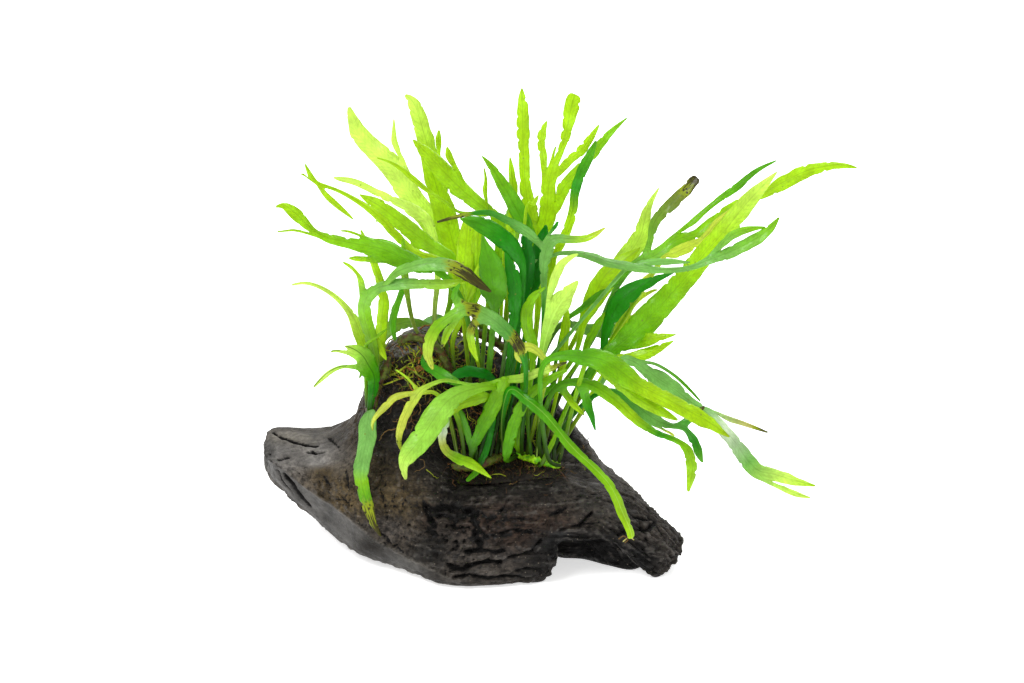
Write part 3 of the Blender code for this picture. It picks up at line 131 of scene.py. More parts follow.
FRONDS = {
    "frond_left_drape": Frond("left", 0.02, -20, (
        (-40, 72, -20, 4.8), (-40.8, 66, -23, 7.2), (-41.2, 59.2, -26, 6.8), (-42.8, 52.8, -28, 6.4),
        (-43.6, 46, -30, 6), (-42.4, 39.2, -31.5, 5.2), (-40.4, 32, -33, 4.4), (-38.4, 26, -35, 2.8),
        (-35.6, 21.6, -36, 0.8))),
    "frond_left_low": Frond("left", 0.2, -30, (
        (-38.4, 84, -19, 4.8), (-40.8, 89.6, -23, 8), (-44, 94.4, -26, 6.4), (-48, 96.8, -28, 2.4),
        (-50, 97.5, -29, 0.6)),
        (((-46, 96), (-52, 96.4, -28, 1.4), (-55.6, 95.2, -29, 0.6)),
         ((-42, 91), (-50, 89.6, -26, 1.4), (-54, 88.4, -28, 1.6), (-58, 85.6, -30, 2),
          (-62.4, 81.2, -31, 0.6)))),
    "frond_left_whip": Frond("left", 0.38, -35, (
        (-39.8, 88.8, -11, 3), (-42.2, 96.8, -10, 4.8), (-45, 104.8, -11, 4.8), (-48, 110.8, -12, 2.8),
        (-52.8, 116.4, -13, 2), (-59.2, 120.8, -14, 1.6), (-65.6, 122.8, -15, 1.2), (-71.2, 122, -16, 0.5))),
    "frond_left_arch": Frond("left", 0.55, 25, (
        (-37.5, 90, -15, 2.6), (-39.5, 100, -18, 4.8), (-42, 110, -23, 5.6), (-41.4, 116.4, -28, 4.8),
        (-36.8, 120.8, -31, 4), (-28, 122.4, -33, 4.4), (-18, 122.4, -34, 4), (-9.2, 122.4, -35, 3.6),
        (-2, 123.6, -36, 1.2)),
        (((-41, 117.5), (-32, 125.6, -32, 3.2), (-22, 129.6, -34, 4.4), (-12, 130.4, -36, 5.2),
          (-4, 128, -38, 5.2), (3.2, 122.8, -39, 3.6), (8.4, 119.2, -40, 0.8)),
         ((-41.8, 115), (-43.4, 123.6, -29, 2.8), (-45.2, 126.8, -29, 1), (-48, 129.6, -29, 1.6),
          (-50.8, 131.2, -29, 0.5)))),
    "frond_left_tall": Frond("left", 0.75, 15, (
        (-35.6, 91.2, -7, 3), (-35.8, 98.8, -5, 4.4), (-35.2, 107.2, -4, 4.8), (-34.4, 114.8, -4, 4.4),
        (-35.2, 120.8, -3, 3.6), (-37.2, 127.2, -3, 3.2), (-39.6, 133.6, -2, 2.8), (-41.6, 139.2, -1, 2),
        (-43.6, 144, 0, 0.8))),
    "frond_mound_left": Frond("top", 0.0, 30, (
        (-30.5, 102, -8, 1.8), (-31, 106, -9, 3), (-30.6, 110, -9, 3.4), (-28.8, 115, -9, 2.6),
        (-26.8, 121, -8, 2.4), (-26, 128, -7, 0.8))),
    "frond_mound_stem": Frond("top", 0.3, 0, (
        (-22.5, 106, -5, 1.6), (-24, 112, -8, 1.8), (-25, 118, -11, 2.2), (-26, 125, -13, 3),
        (-26.6, 133, -13, 2.6), (-26.8, 141, -12, 0.8))),
    "frond_fork_whip": Frond("back", 0.1, -20, (
        (-2, 102, -6, 1.8), (-3, 116, -8, 2.4), (-7, 128, -9, 3.2), (-14, 132.2, -9.6, 3.2),
        (-23.2, 135.6, -10, 3.2),
        (-30, 142.4, -10, 3.2), (-36, 148.8, -11, 3.2), (-42, 153.6, -12, 2.4), (-50, 158.4, -13, 1.6),
        (-56, 161, -14, 1.4), (-60.8, 162.6, -15, 1.6), (-63.4, 165, -16, 2.2), (-66, 170.4, -17, 0.6)),
        (((-59, 162), (-59.4, 160, -17, 1.8), (-56.6, 157, -18, 2.4), (-52.4, 153.2, -19, 2.2),
          (-49, 150.4, -20, 1.4), (-46.8, 148.4, -21, 0.6)),)),
    "frond_broad_left": Frond("top", 0.84, -10, (
        (-10, 107, 0, 1.6), (-7.5, 117, 3, 2.6), (-7.2, 131.2, 5, 5.2), (-14, 136.4, 7, 6),
        (-20, 140.8, 9, 6.4), (-26, 145.6, 11, 6.8), (-32, 150.4, 13, 6), (-38, 154.8, 15, 4.8),
        (-44, 158, 17, 0.8))),
    "frond_pale_strap": Frond("top", 0.68, -15, (
        (-14, 105, -2, 1.8), (-14, 114, 6, 2), (-13, 127, 14, 2.6), (-16, 145.6, 20, 4), (-22, 151.2, 22, 5.6),
        (-27.2, 154.4, 24, 3.6), (-32.8, 156.8, 26, 3.2), (-39.2, 160, 28, 2.8), (-46, 163.2, 30, 2.8),
        (-52, 164.4, 32, 2), (-54.4, 164.8, 33, 0.8))),
    "frond_centre_lime": Frond("top", 1.0, 15, (
        (-7, 99, -4, 2), (-4, 108, -4, 3), (-1.5, 116, -2, 6), (-2, 128, -2, 7.2), (-1.6, 138, -1, 6.8),
        (-0.8, 146, 0, 5), (-0.4, 151, 1, 0.8))),
    "frond_left_long": Frond("back", 0.0, -25, (
        (1, 90, -9, 1.8), (0, 104, -13, 2), (-4, 117, -15, 2.4), (-12, 127.2, -16, 3.2),
        (-20, 130, -17, 6.4), (-28, 132.8, -18, 8), (-34.8, 136, -19, 8.8), (-40.8, 137.2, -20, 7.2),
        (-47.2, 138.4, -21, 4.4), (-54, 140, -22, 4), (-60, 142, -23, 2.8), (-63.6, 144.4, -23.5, 2.6),
        (-67.2, 148, -24, 4.6), (-71.2, 151.6, -25, 4.4), (-74.8, 154, -26, 2.4), (-77.6, 153.2, -27, 0.8)),
        (((-61, 143), (-66, 144, -24, 1.4), (-70, 144, -24, 1), (-77, 143.2, -24, 0.4)),
         ((-42, 138), (-46, 143, -19, 1.6), (-51.6, 143.6, -19, 0.4)))),
    "frond_upper_mid": Frond("back", 0.22, -15, (
        (5, 92, -5, 1.8), (8, 120, 0, 2.2), (12, 138, 5, 4), (10.8, 148, 7, 4.8), (4.8, 153.2, 9, 5.6),
        (-1.2, 158, 11, 6.4), (-7.2, 163.6, 13, 8), (-12.8, 169.6, 15, 7.2), (-18, 175.2, 17, 5.2),
        (-22.8, 180, 19, 0.8)),
        (((-6, 163), (-8.4, 173.2, 14, 3.2), (-9.2, 177.2, 15, 0.8)),
         ((11, 149), (5.6, 156, 9, 3), (6.4, 163.2, 10, 1.4), (5.6, 168.8, 10, 0.6)),
         ((6, 152), (-3.6, 150.8, 6, 1.2), (-9.2, 154.8, 6, 1.2), (-15.2, 158.4, 7, 1.4),
          (-20.8, 162.8, 8, 2.4), (-26, 167.2, 9, 2), (-31.2, 170.8, 10, 1.2), (-37.2, 172.8, 11, 0.5)))),
    "frond_centre_dark_tip": Frond("back", 0.42, 15, (
        (16, 92, -6, 1.8), (20, 112, -7, 2.4), (25, 130, -6, 4), (24, 141.6, -5, 4.8), (21.2, 147.6, -4, 6.4),
        (18.4, 153.2, -3, 6.4), (15.2, 158.8, -2, 5.6), (12, 164, -1, 4.4), (8, 170, 0, 2.4),
        (4.8, 173.6, 0, 0.5))),
    "frond_centre_tall": Frond("back", 0.55, 10, (
        (24, 84, 0, 1.8), (27, 110, 2, 2.4), (28.4, 139.2, 4, 5.6), (30.4, 148, 5, 6.6), (31.2, 156, 5, 6.4),
        (31.6, 162, 6, 5.6), (32.8, 168, 6, 4.2), (35.2, 173, 6, 2.6), (37.2, 178, 7, 3.2), (38.8, 184, 7, 4),
        (40, 190, 7, 5.6), (41.2, 196, 7, 6.2), (42, 198.4, 7, 4.6)),
        (((28.6, 141), (25, 149, 5, 6), (23.2, 155.2, 6, 5.6), (22, 164, 7, 4.4), (21.6, 174, 8, 4.4),
          (21.2, 184, 9, 5.2), (21.2, 191.2, 9, 4.8), (20.8, 196.8, 9, 3.2), (20.8, 200.8, 9, 0.5)),
         ((32, 165), (29.2, 174, 6, 3.2), (28.4, 180, 6, 3.4), (29.2, 184, 6, 3), (30.8, 187.6, 6, 0.6)),
         ((32.6, 167), (38, 171, 5, 4), (43.2, 174.5, 4, 3.6), (47.2, 179.2, 3, 3.4), (51.6, 186, 2, 0.8)),
         ((31, 151), (34.8, 157.2, 4, 6), (40, 164, 2, 4.8), (46, 170.8, 1, 4), (52, 178, 0, 3.6),
          (56.8, 183.6, -1, 2.4), (62.8, 188.8, -2, 0.5)))),
    "frond_right_of_centre": Frond("back", 0.63, 25, (
        (27, 86, -4, 1.8), (31, 110, -6, 2), (32.8, 131.2, -7, 3.2), (36, 138, -7, 3.4), (39.2, 144.8, -7, 3.6),
        (41.2, 152, -7, 3.4), (42, 159.2, -7, 3.6), (44.4, 166.8, -8, 4), (48, 174, -9, 3.4),
        (50.4, 179.6, -9, 0.8))),
    "frond_right_spread": Frond("back", 0.7, 20, (
        (31, 84, 1, 1.6), (38, 88, 3, 1.8), (42.4, 95.2, 4, 1.8), (44, 100.8, 5, 2.4), (45.6, 108.8, 6, 4),
        (49.6, 117.2, 7, 7.4), (53.6, 124.8, 8, 7.6), (59.2, 130, 9, 6), (64, 133.6, 10, 4),
        (68, 136.8, 11, 0.6))),
    "frond_right_upright": Frond("back", 0.77, 10, (
        (34, 84, 8, 1.6), (44, 104, 14, 2.4), (54, 120, 18, 5), (60, 130, 20, 7.2), (64.8, 136, 21, 8),
        (68.4, 141.6, 22, 7), (70, 148.4, 23, 4.6), (71.6, 154, 24, 2.8), (75.6, 160.8, 25, 0.6))),
    "frond_far_right": Frond("back", 0.83, 25, (
        (38, 82, 4, 1.6), (50, 102, 9, 1.8), (57, 118, 11, 2), (64.8, 129.6, 13, 3), (70, 131.8, 14, 5.2),
        (76, 134.6, 15, 5.6), (81, 138.8, 16, 5.2), (85.5, 141, 17, 4.6), (90, 141.8, 18, 4),
        (94.5, 144.8, 18.5, 4.8), (99, 148.8, 19, 4), (104, 152.8, 20, 3.6), (110, 156.2, 20.5, 3),
        (117, 158.2, 21, 3.6), (123, 161.6, 22, 5.4), (130, 165.4, 23, 5.8), (137, 168.2, 24, 5),
        (145, 169.8, 25, 3.2), (151, 169.6, 25.5, 2), (154.6, 168.8, 26, 0.5)),
        (((82.5, 139.8), (88.4, 146.4, 18, 2.6), (93.5, 151.2, 20, 2.2), (98, 155, 21, 2.2),
          (103, 158.6, 22, 3), (108, 162, 24, 3), (111, 165, 24.5, 2.4), (116, 168.6, 26, 1.8),
          (122.4, 171.6, 28, 0.5)),
         ((71.5, 132.4), (72.4, 141, 17, 2.6), (74, 147.4, 18, 4), (78, 151.8, 18, 4.8),
          (82.6, 156.2, 19, 4.8), (87, 160.8, 20, 4.6), (91, 165, 21, 4.2)))),
    "frond_right_dark": Frond("back", 0.9, 20, (
        (41, 78, -2, 1.6), (49, 90, -1, 1.8), (53.2, 96, 0, 2.4), (54, 102, 1, 3.6), (56.8, 109.6, 2, 6),
        (60.8, 116, 3, 8.4), (66, 120.4, 4, 6.4), (72.8, 123.6, 5, 3.6), (82, 127.2, 6, 0.5))),
    "frond_right_sweep": Frond("back", 1.0, 30, (
        (44, 70, -7, 1.6), (51, 80, -12, 1.8), (56, 88, -15, 2), (59.5, 91.6, -17, 2.8), (63.5, 92.2, -18, 4),
        (68, 89.4, -19, 3.6), (74.8, 84.4, -19, 7.4), (80.8, 80.6, -20, 6.8), (87.2, 75.6, -21, 4.8),
        (94, 71.2, -22, 4), (100.8, 64.8, -23, 4.8), (106.4, 58, -24, 5.8), (110.6, 52, -25, 6.4),
        (115.4, 47.4, -26, 6), (122.6, 45.8, -27, 5), (129.2, 43.8, -28, 3.8), (138, 41.6, -29, 0.6)),
        (((118, 46.8), (124.8, 41.5, -28, 2), (129.2, 38.8, -29, 2.6), (136, 36.8, -29, 0.5)),
         ((95, 70.6), (102, 68.8, -21, 2.2), (108, 67, -20.5, 2), (114, 64.9, -20, 1.4), (119, 63, -19, 0.5)),
         ((67, 90.2), (73, 90.8, -15, 1.2), (81, 86.4, -15, 1.2), (87, 81, -15, 1.2), (92, 75.6, -16, 0.5)))),
    "frond_thin_right": Frond("back", 0.35, 35, (
        (13, 88, -8, 1.4), (17, 110, -10.5, 1.4), (25.2, 130.8, -12, 1.2), (30.8, 132.8, -12, 1.2),
        (36.8, 134.8, -12.5, 1.6), (46, 134, -13, 3), (56, 130.8, -13, 3.6), (66, 129, -13, 3.4),
        (77, 127.8, -13, 2.6), (88, 128.8, -13, 2), (96, 132, -13, 3.2), (104, 135, -13, 4.6),
        (111.6, 138.6, -13, 4.8), (117.6, 142.4, -13, 4), (121.4, 146, -13, 2.4), (123.6, 149, -13, 0.5)),
        (((97, 132.4), (101, 138.4, -12, 2.6), (106, 142.4, -11, 3.4), (112, 144.4, -11, 2.4),
          (118, 145, -11, 0.5)),)),
    "frond_pale_big": Frond("crest", 0.24, 5, (
        (-2, 109, 20, 2), (-8, 130, 26, 4), (-16, 147.2, 31, 8.8), (-22, 155.2, 34, 8.8),
        (-27.2, 163.2, 37, 9.6), (-32.8, 171.2, 40, 9.2), (-40, 177.6, 43, 8), (-45.2, 184, 45, 6.8),
        (-48.4, 193.2, 47, 1.6)),
        (((-29.4, 166.5), (-30, 174.5, 41, 4.4), (-30.4, 180, 41, 2.6), (-30.4, 188.4, 42, 0.6)),)),
    "frond_tall_left": Frond("crest", 0.44, -10, (
        (0, 112, 17, 2.4), (-4, 130, 18, 7.2), (-7.2, 140, 20, 8.4), (-10, 150, 22, 9.2),
        (-12.8, 159.2, 24, 8.4), (-15.2, 167.2, 25, 7.6), (-16.4, 175.2, 26, 6.8), (-18.4, 182, 27, 6.8),
        (-20.4, 188.8, 28, 6.4), (-22.8, 195.2, 28, 4.8), (-26, 198, 28, 1.2)),
        (((-15, 171), (-13, 178.8, 25, 3), (-12.4, 184, 25, 0.8)),)),
    "frond_lime_behind": Frond("crest", 0.56, 0, (
        (14, 104, 15, 2), (16, 125, 15, 3), (16.4, 144.4, 15, 3.2), (16.8, 150, 15, 3.2), (17.6, 158, 16, 3.2),
        (16.8, 166, 16, 3), (16, 173.2, 17, 0.6))),
    "frond_rear_far_left": Frond("crest", 0.0, -15, (
        (-14, 105, 23, 2.2), (-24, 107, 31, 4.4), (-33, 104, 39, 6.4), (-40, 96, 47, 5), (-44, 85, 53, 0.8))),
    "frond_rear_left": Frond("crest", 0.12, -10, (
        (-9, 107, 26, 2.4), (-13, 108, 38, 5), (-18, 104, 49, 7), (-22, 96, 58, 6), (-25, 85, 63, 0.8))),
    "frond_rear_upright": Frond("crest", 0.34, -10, (
        (-2, 120, 30, 3), (-6, 138, 42, 7), (-10, 150, 52, 8), (-13, 158, 60, 5), (-15, 163, 65, 0.6))),
    "frond_rear_middle": Frond("crest", 0.7, 10, (
        (12, 110, 26, 2.2), (14, 130, 38, 5), (16, 142, 48, 8), (17, 150, 58, 7), (18, 152, 66, 4.4),
        (18, 150, 72, 0.6))),
    "frond_rear_right": Frond("crest", 0.9, 15, (
        (36, 106, 25, 2.4), (47, 104, 37, 5), (59, 104, 47, 7), (70, 108, 56, 6), (79, 116, 64, 0.6))),
    "frond_front_broad": Frond("middle", 0.38, -15, (
        (1, 56, -23, 1.8), (4.8, 66, -24, 2), (8.8, 74, -25, 2.4), (12, 80, -27, 3), (8, 81.6, -31, 3.4),
        (0, 80, -35, 4.8), (-7.2, 76.8, -38, 8), (-12, 71.6, -42, 10), (-16, 65.6, -45, 9.6),
        (-20.4, 59.2, -47, 8.8), (-24.8, 54, -49, 7.2), (-26.8, 50, -50, 4), (-25.6, 44.4, -51, 1.2)),
        (((0, 80.5), (-9, 84, -35, 1.4), (-17.6, 81.2, -38, 2), (-21.2, 78, -41, 3.6), (-24.4, 72.8, -43, 3.6),
          (-27.4, 66, -44, 3.2), (-28.6, 60, -44.5, 2.4), (-27, 55.2, -44.5, 0.6)),
         ((10, 82), (14, 84, -30, 2.6), (20, 84.6, -32, 3.4), (26, 86.6, -34, 3.6), (32, 88.6, -35, 2.8),
          (38.8, 91.2, -36, 0.5)))),
    "frond_yellow_hook": Frond("middle", 0.12, -20, (
        (-7, 64, -22, 1.6), (-10, 74, -25, 1.6), (-14, 79, -28, 1.6), (-18, 79, -30, 1.6),
        (-24.8, 78.4, -31, 2), (-30, 77.2, -32, 2.8), (-33.6, 73.6, -33, 2.8), (-37.2, 70, -34, 2),
        (-39.2, 66.8, -35, 1.2), (-38.8, 64, -35, 0.5)),
        (((-20, 79), (-23.2, 82.8, -31, 0.9), (-26, 85.6, -31, 0.8), (-29.6, 88, -31, 0.5)),)),
    "frond_twisted": Frond("middle", 0.24, 10, (
        (-3, 60, -25, 1.6), (-5, 69, -29, 2.2), (-8, 75, -31, 3.2), (-10.2, 71, -33, 4.4),
        (-10.6, 65.6, -34, 4.6), (-11.4, 60.8, -35, 3.2), (-9.4, 55.4, -36, 3), (-4.8, 52.6, -37, 4.2),
        (1.2, 50.2, -38, 3.8), (8.4, 44.8, -39, 0.5))),
    "frond_dark_curl": Frond("middle", 0.5, -30, (
        (6, 62, -21, 1.6), (9, 74, -22, 1.8), (9.5, 83, -24, 2.4), (6, 86.4, -26, 4), (0, 87.5, -27, 4.2),
        (-5.2, 86.4, -29, 3.6), (-8.5, 82.5, -31, 0.8))),
    "frond_forward": Frond("middle", 0.62, 15, (
        (6, 74, -15, 1.8), (8, 92, -24, 2.4), (9.6, 111.2, -30, 3), (9.6, 118, -31, 10), (9.2, 124, -32, 10.8),
        (8, 131.2, -32, 8.8), (6, 138, -31, 3.2), (5, 142, -30, 0.8))),
    "frond_dark_holed": Frond("middle", 0.74, -10, (
        (14, 82, -18, 1.8), (17, 104, -24, 3), (18, 114.8, -26, 5.6), (18, 120, -27, 5.6),
        (17, 126, -27, 5.6), (15.2, 132, -27, 3), (14, 135, -27, 0.6))),
    "frond_deep_green": Frond("middle", 0.87, -15, (
        (13.5, 70, -12, 1.8), (17, 88, -15, 1.8), (19.5, 106, -20, 2.2), (21.2, 127.2, -22, 2.6),
        (18.8, 134, -23, 5.6), (15.2, 138.8, -24, 7.2), (10, 142.8, -24, 7.2), (4, 146.4, -24, 6.4),
        (-2, 148, -24, 2.4), (-4, 148.5, -24, 0.6))),
    "frond_front_long": Frond("middle", 1.0, 35, (
        (13, 66, -23, 1.8), (14, 75, -29, 2.4), (16.5, 80.5, -34, 3.2), (22, 76.4, -37, 3.8),
        (28.4, 71.4, -41, 3.8), (33.6, 65.6, -44, 3.8), (38.4, 59.6, -46, 3.6), (43.4, 54.2, -48, 3.4),
        (49, 49.2, -50, 3.2), (54.8, 43.2, -51, 3.6), (58.2, 37.2, -51, 3.6), (61, 30.4, -51, 3.6),
        (63.8, 24.2, -51, 3.2), (64.6, 21, -50.5, 2.8))),
    "frond_darkest": Frond("front", 0.0, 10, (
        (16, 78, -11, 1.8), (18.5, 108, -14, 2.8), (21, 116, -15, 4), (23.2, 123.2, -16, 4.4),
        (23.6, 130, -16.5, 4.8), (23, 136, -17, 4.8), (22.4, 142, -17, 4), (22, 146, -17, 0.8))),
    "frond_front_fork": Frond("front", 0.14, 15, (
        (18.8, 58, -15, 3.6), (20.6, 68, -16, 4.4), (23.6, 74.6, -17, 5.2), (22, 82, -17, 4), (22, 90, -17, 3),
        (24, 98, -17, 0.8)),
        (((24, 75), (30, 79, -17, 3), (34.4, 83, -17, 0.8)),)),
    "frond_crossing": Frond("front", 0.28, 30, (
        (25, 74, -12, 1.6), (29, 100, -14, 1.8), (29.6, 118, -17, 2), (29.4, 127, -19.5, 3),
        (30, 133, -21, 4.6), (31.4, 138, -22, 5.4), (34, 140.6, -22, 4.2), (38, 140.4, -22, 3.4),
        (44, 140.2, -22, 2.8), (49, 141.6, -22, 2.6), (54, 144.8, -22, 0.5)),
        (((30.6, 136), (23, 143, -23, 3.8), (16, 147.2, -24, 3), (8.8, 150.8, -25, 2.2), (2, 150.8, -27, 1.6),
          (-6, 149.2, -28, 1.4), (-13.2, 147.2, -29, 0.6)),)),
    "frond_short_notched": Frond("front", 0.4, 15, (
        (23, 70, -20, 1.6), (24.6, 86, -22, 2), (25.4, 97.2, -23.5, 4), (23, 104, -24, 4.8),
        (22.8, 111.2, -25, 4.8), (25.2, 117.2, -25, 3.2), (30.4, 121.2, -25, 0.5))),
    "frond_veined": Frond("front", 0.52, -10, (
        (28, 72, -24, 1.6), (28.8, 84, -26, 1.8), (29, 92, -27, 2), (29.4, 97, -27, 3.2), (30.6, 102, -27, 4.4),
        (32.4, 108, -27, 6), (35.2, 113.6, -27, 8.4), (38.4, 118, -27, 6.4), (43.2, 123.6, -27, 1.2)),
        (((33.5, 111), (33, 120, -27, 3.4), (34.4, 126, -27, 3.6), (37.2, 131.2, -26, 3.2),
          (43.2, 134.4, -25, 0.8)),)),
    "frond_hooked_right": Frond("front", 0.64, 20, (
        (27.5, 60, -24, 1.8), (30, 72, -27, 1.8), (34, 80.6, -30, 2.2), (40, 83.2, -32, 3),
        (47.2, 82.6, -33, 4),
        (53.2, 79.6, -34, 4.8), (60, 74.2, -35, 4.4), (67, 67.6, -36, 3.6), (74.6, 62.8, -37, 2.6),
        (83, 59.6, -38, 2.2), (87.2, 55.4, -39, 3.8), (88.8, 48, -39, 4.4), (87.2, 39.6, -39, 1.2)),
        (((36, 82), (39, 77.5, -31, 3), (41.6, 74, -32, 2.8), (45.6, 70, -33, 0.6)),
         ((45.4, 82.8), (46.4, 76, -34, 3.8), (48.6, 70, -35, 2.6), (50, 64, -35, 0.5)))),
    "frond_great_lime": Frond("front", 0.76, 5, (
        (32, 56, -18, 1.6), (35.5, 64, -15, 1.8), (41, 75, -10, 2), (47.5, 86, -6, 3), (54.8, 94.4, -4, 4.8),
        (61.4, 99.4, -3, 8), (68.6, 105.8, -2, 11.2), (74.8, 112.4, -1, 10.4), (81.6, 119.6, 0, 9.2),
        (88.8, 128, 1, 8.8), (94.6, 135.4, 2, 8), (101, 142.6, 3, 8), (108, 151.4, 4, 7.4),
        (114, 158.4, 5, 5.8), (122.8, 167.2, 6, 0.6)),
        (((63.8, 101.4), (68.8, 99.8, -8, 6), (74.2, 100.8, -9, 4), (82.4, 102.2, -10, 0.5)),)),
    "frond_low_right_dark": Frond("front", 0.88, 20, (
        (34, 58, -23, 1.6), (42, 71, -26, 1.8), (52, 79, -28, 2), (59.2, 79, -29, 2.8), (65, 75, -30, 4.4),
        (71, 70, -30.5, 6), (76, 67, -31, 4), (82, 65.2, -31, 1.6), (86.4, 64.2, -31, 1.8),
        (89.4, 60, -31, 3.6), (91.4, 55.2, -31, 3.4), (92.8, 51.2, -31, 1)),
        (((83.5, 65), (88.2, 68.6, -30, 3), (91.4, 71.4, -29.5, 2.6), (93.8, 73.4, -29, 0.8)),)),
    "frond_right_droop": Frond("front", 1.0, 25, (
        (31.5, 52, -28, 1.6), (29, 66, -33, 1.8), (28, 80, -38, 1.8), (29, 89.6, -40, 2.2), (34, 93.4, -41, 3),
        (42, 93.6, -42, 5.2), (52, 92, -43, 8.4), (60.4, 87, -44, 9), (67.6, 81.6, -45, 6.4),
        (77, 77, -46, 6.2), (87, 71.6, -47, 6.2), (95.6, 66.8, -48, 5), (103.6, 61.2, -49, 0.6))),
    "frond_bridge": Frond("front", 0.22, -25, (
        (20.6, 58, -22, 1.6), (21.6, 72, -29, 1.8), (22.4, 84, -35, 1.8), (21.8, 92, -38, 2.4),
        (19, 98.4, -39, 4.8),
        (14, 104, -41, 5.6), (8, 108.8, -42, 6), (0, 112.4, -44, 5.2), (-7.2, 109.6, -45, 4),
        (-13.2, 105.2, -46, 4.4), (-16.4, 99.2, -47, 4.4), (-16.8, 93.6, -47.5, 3.6), (-14.8, 88.4, -48, 1.2)),
        (((-3, 111.6), (-6.8, 117.5, -44, 2.8), (-4, 122.5, -43.5, 0.8)),
         ((-5, 110.6), (-9.4, 102.5, -43, 3), (-11.2, 96.8, -42.5, 0.8)),
         ((3, 111.4), (0.4, 104, -41, 3.2), (0.8, 97.2, -40, 3), (3.2, 91.6, -39, 0.6)))),
}


class Tone(Enum):
    """Colours of fern, moss and root tissue, as linear red, green and blue; the bluish and whitish blade tones are
    painted sheen and painted highlights.
    """

    PALE_LIME = (0.66, 0.86, 0.15)
    LIME = (0.45, 0.70, 0.006)
    BRIGHT = (0.27, 0.58, 0.004)
    FRESH = (0.37, 0.70, 0.07)
    MID = (0.12, 0.43, 0.003)
    DEEP = (0.02, 0.31, 0.002)
    DARKEST = (0.003, 0.22, 0.002)
    # Painted sheen: a pale bluish green where the lights would reflect on a blade
    PAINTED_SHEEN = (0.23, 0.52, 0.11)
    YELLOW = (0.66, 0.72, 0.09)
    OLIVE = (0.20, 0.25, 0.03)
    STRAW = (0.58, 0.52, 0.16)
    BROWN = (0.15, 0.085, 0.025)
    # Painted highlight: near white where the lights would glint on a blade
    PAINTED_HIGHLIGHT = (0.75, 0.83, 0.68)
    STALK = (0.055, 0.12, 0.006)
    MOSS_GREEN = (0.07, 0.09, 0.006)
    OLD_STALK = (0.26, 0.30, 0.014)
    ROOT = (0.075, 0.034, 0.010)
    RUST_ROOT = (0.26, 0.11, 0.020)
    DARK_HAIR = (0.014, 0.010, 0.006)
    WOOD_BLACK = (0.012, 0.010, 0.008)
    WOOD_PIT = (0.003, 0.0027, 0.0025)
    WOOD_DARK = (0.028, 0.023, 0.019)
    WOOD_MID = (0.048, 0.040, 0.033)
    WOOD_BROWN = (0.052, 0.036, 0.016)
    WOOD_RUST = (0.027, 0.016, 0.011)
    WOOD_SLATE = (0.060, 0.057, 0.053)
    WOOD_GREY = (0.110, 0.100, 0.085)
    WOOD_PALE = (0.17, 0.16, 0.15)


class Look(NamedTuple):
    """A frond's colours: tones by share of its length, the end tone and wilting place of each lobe, the place where
    the main blade starts to wilt (2 for nowhere), and its midrib, from dark (-1) to pale (1)."""

    tones: tuple
    lobes: tuple = ()
    wilt: float = 2.0
    rib: float = -0.25
    # Brown blotches: the lobe, or -1 for the main blade, the place along it and the reach of each
    blotches: tuple = ()
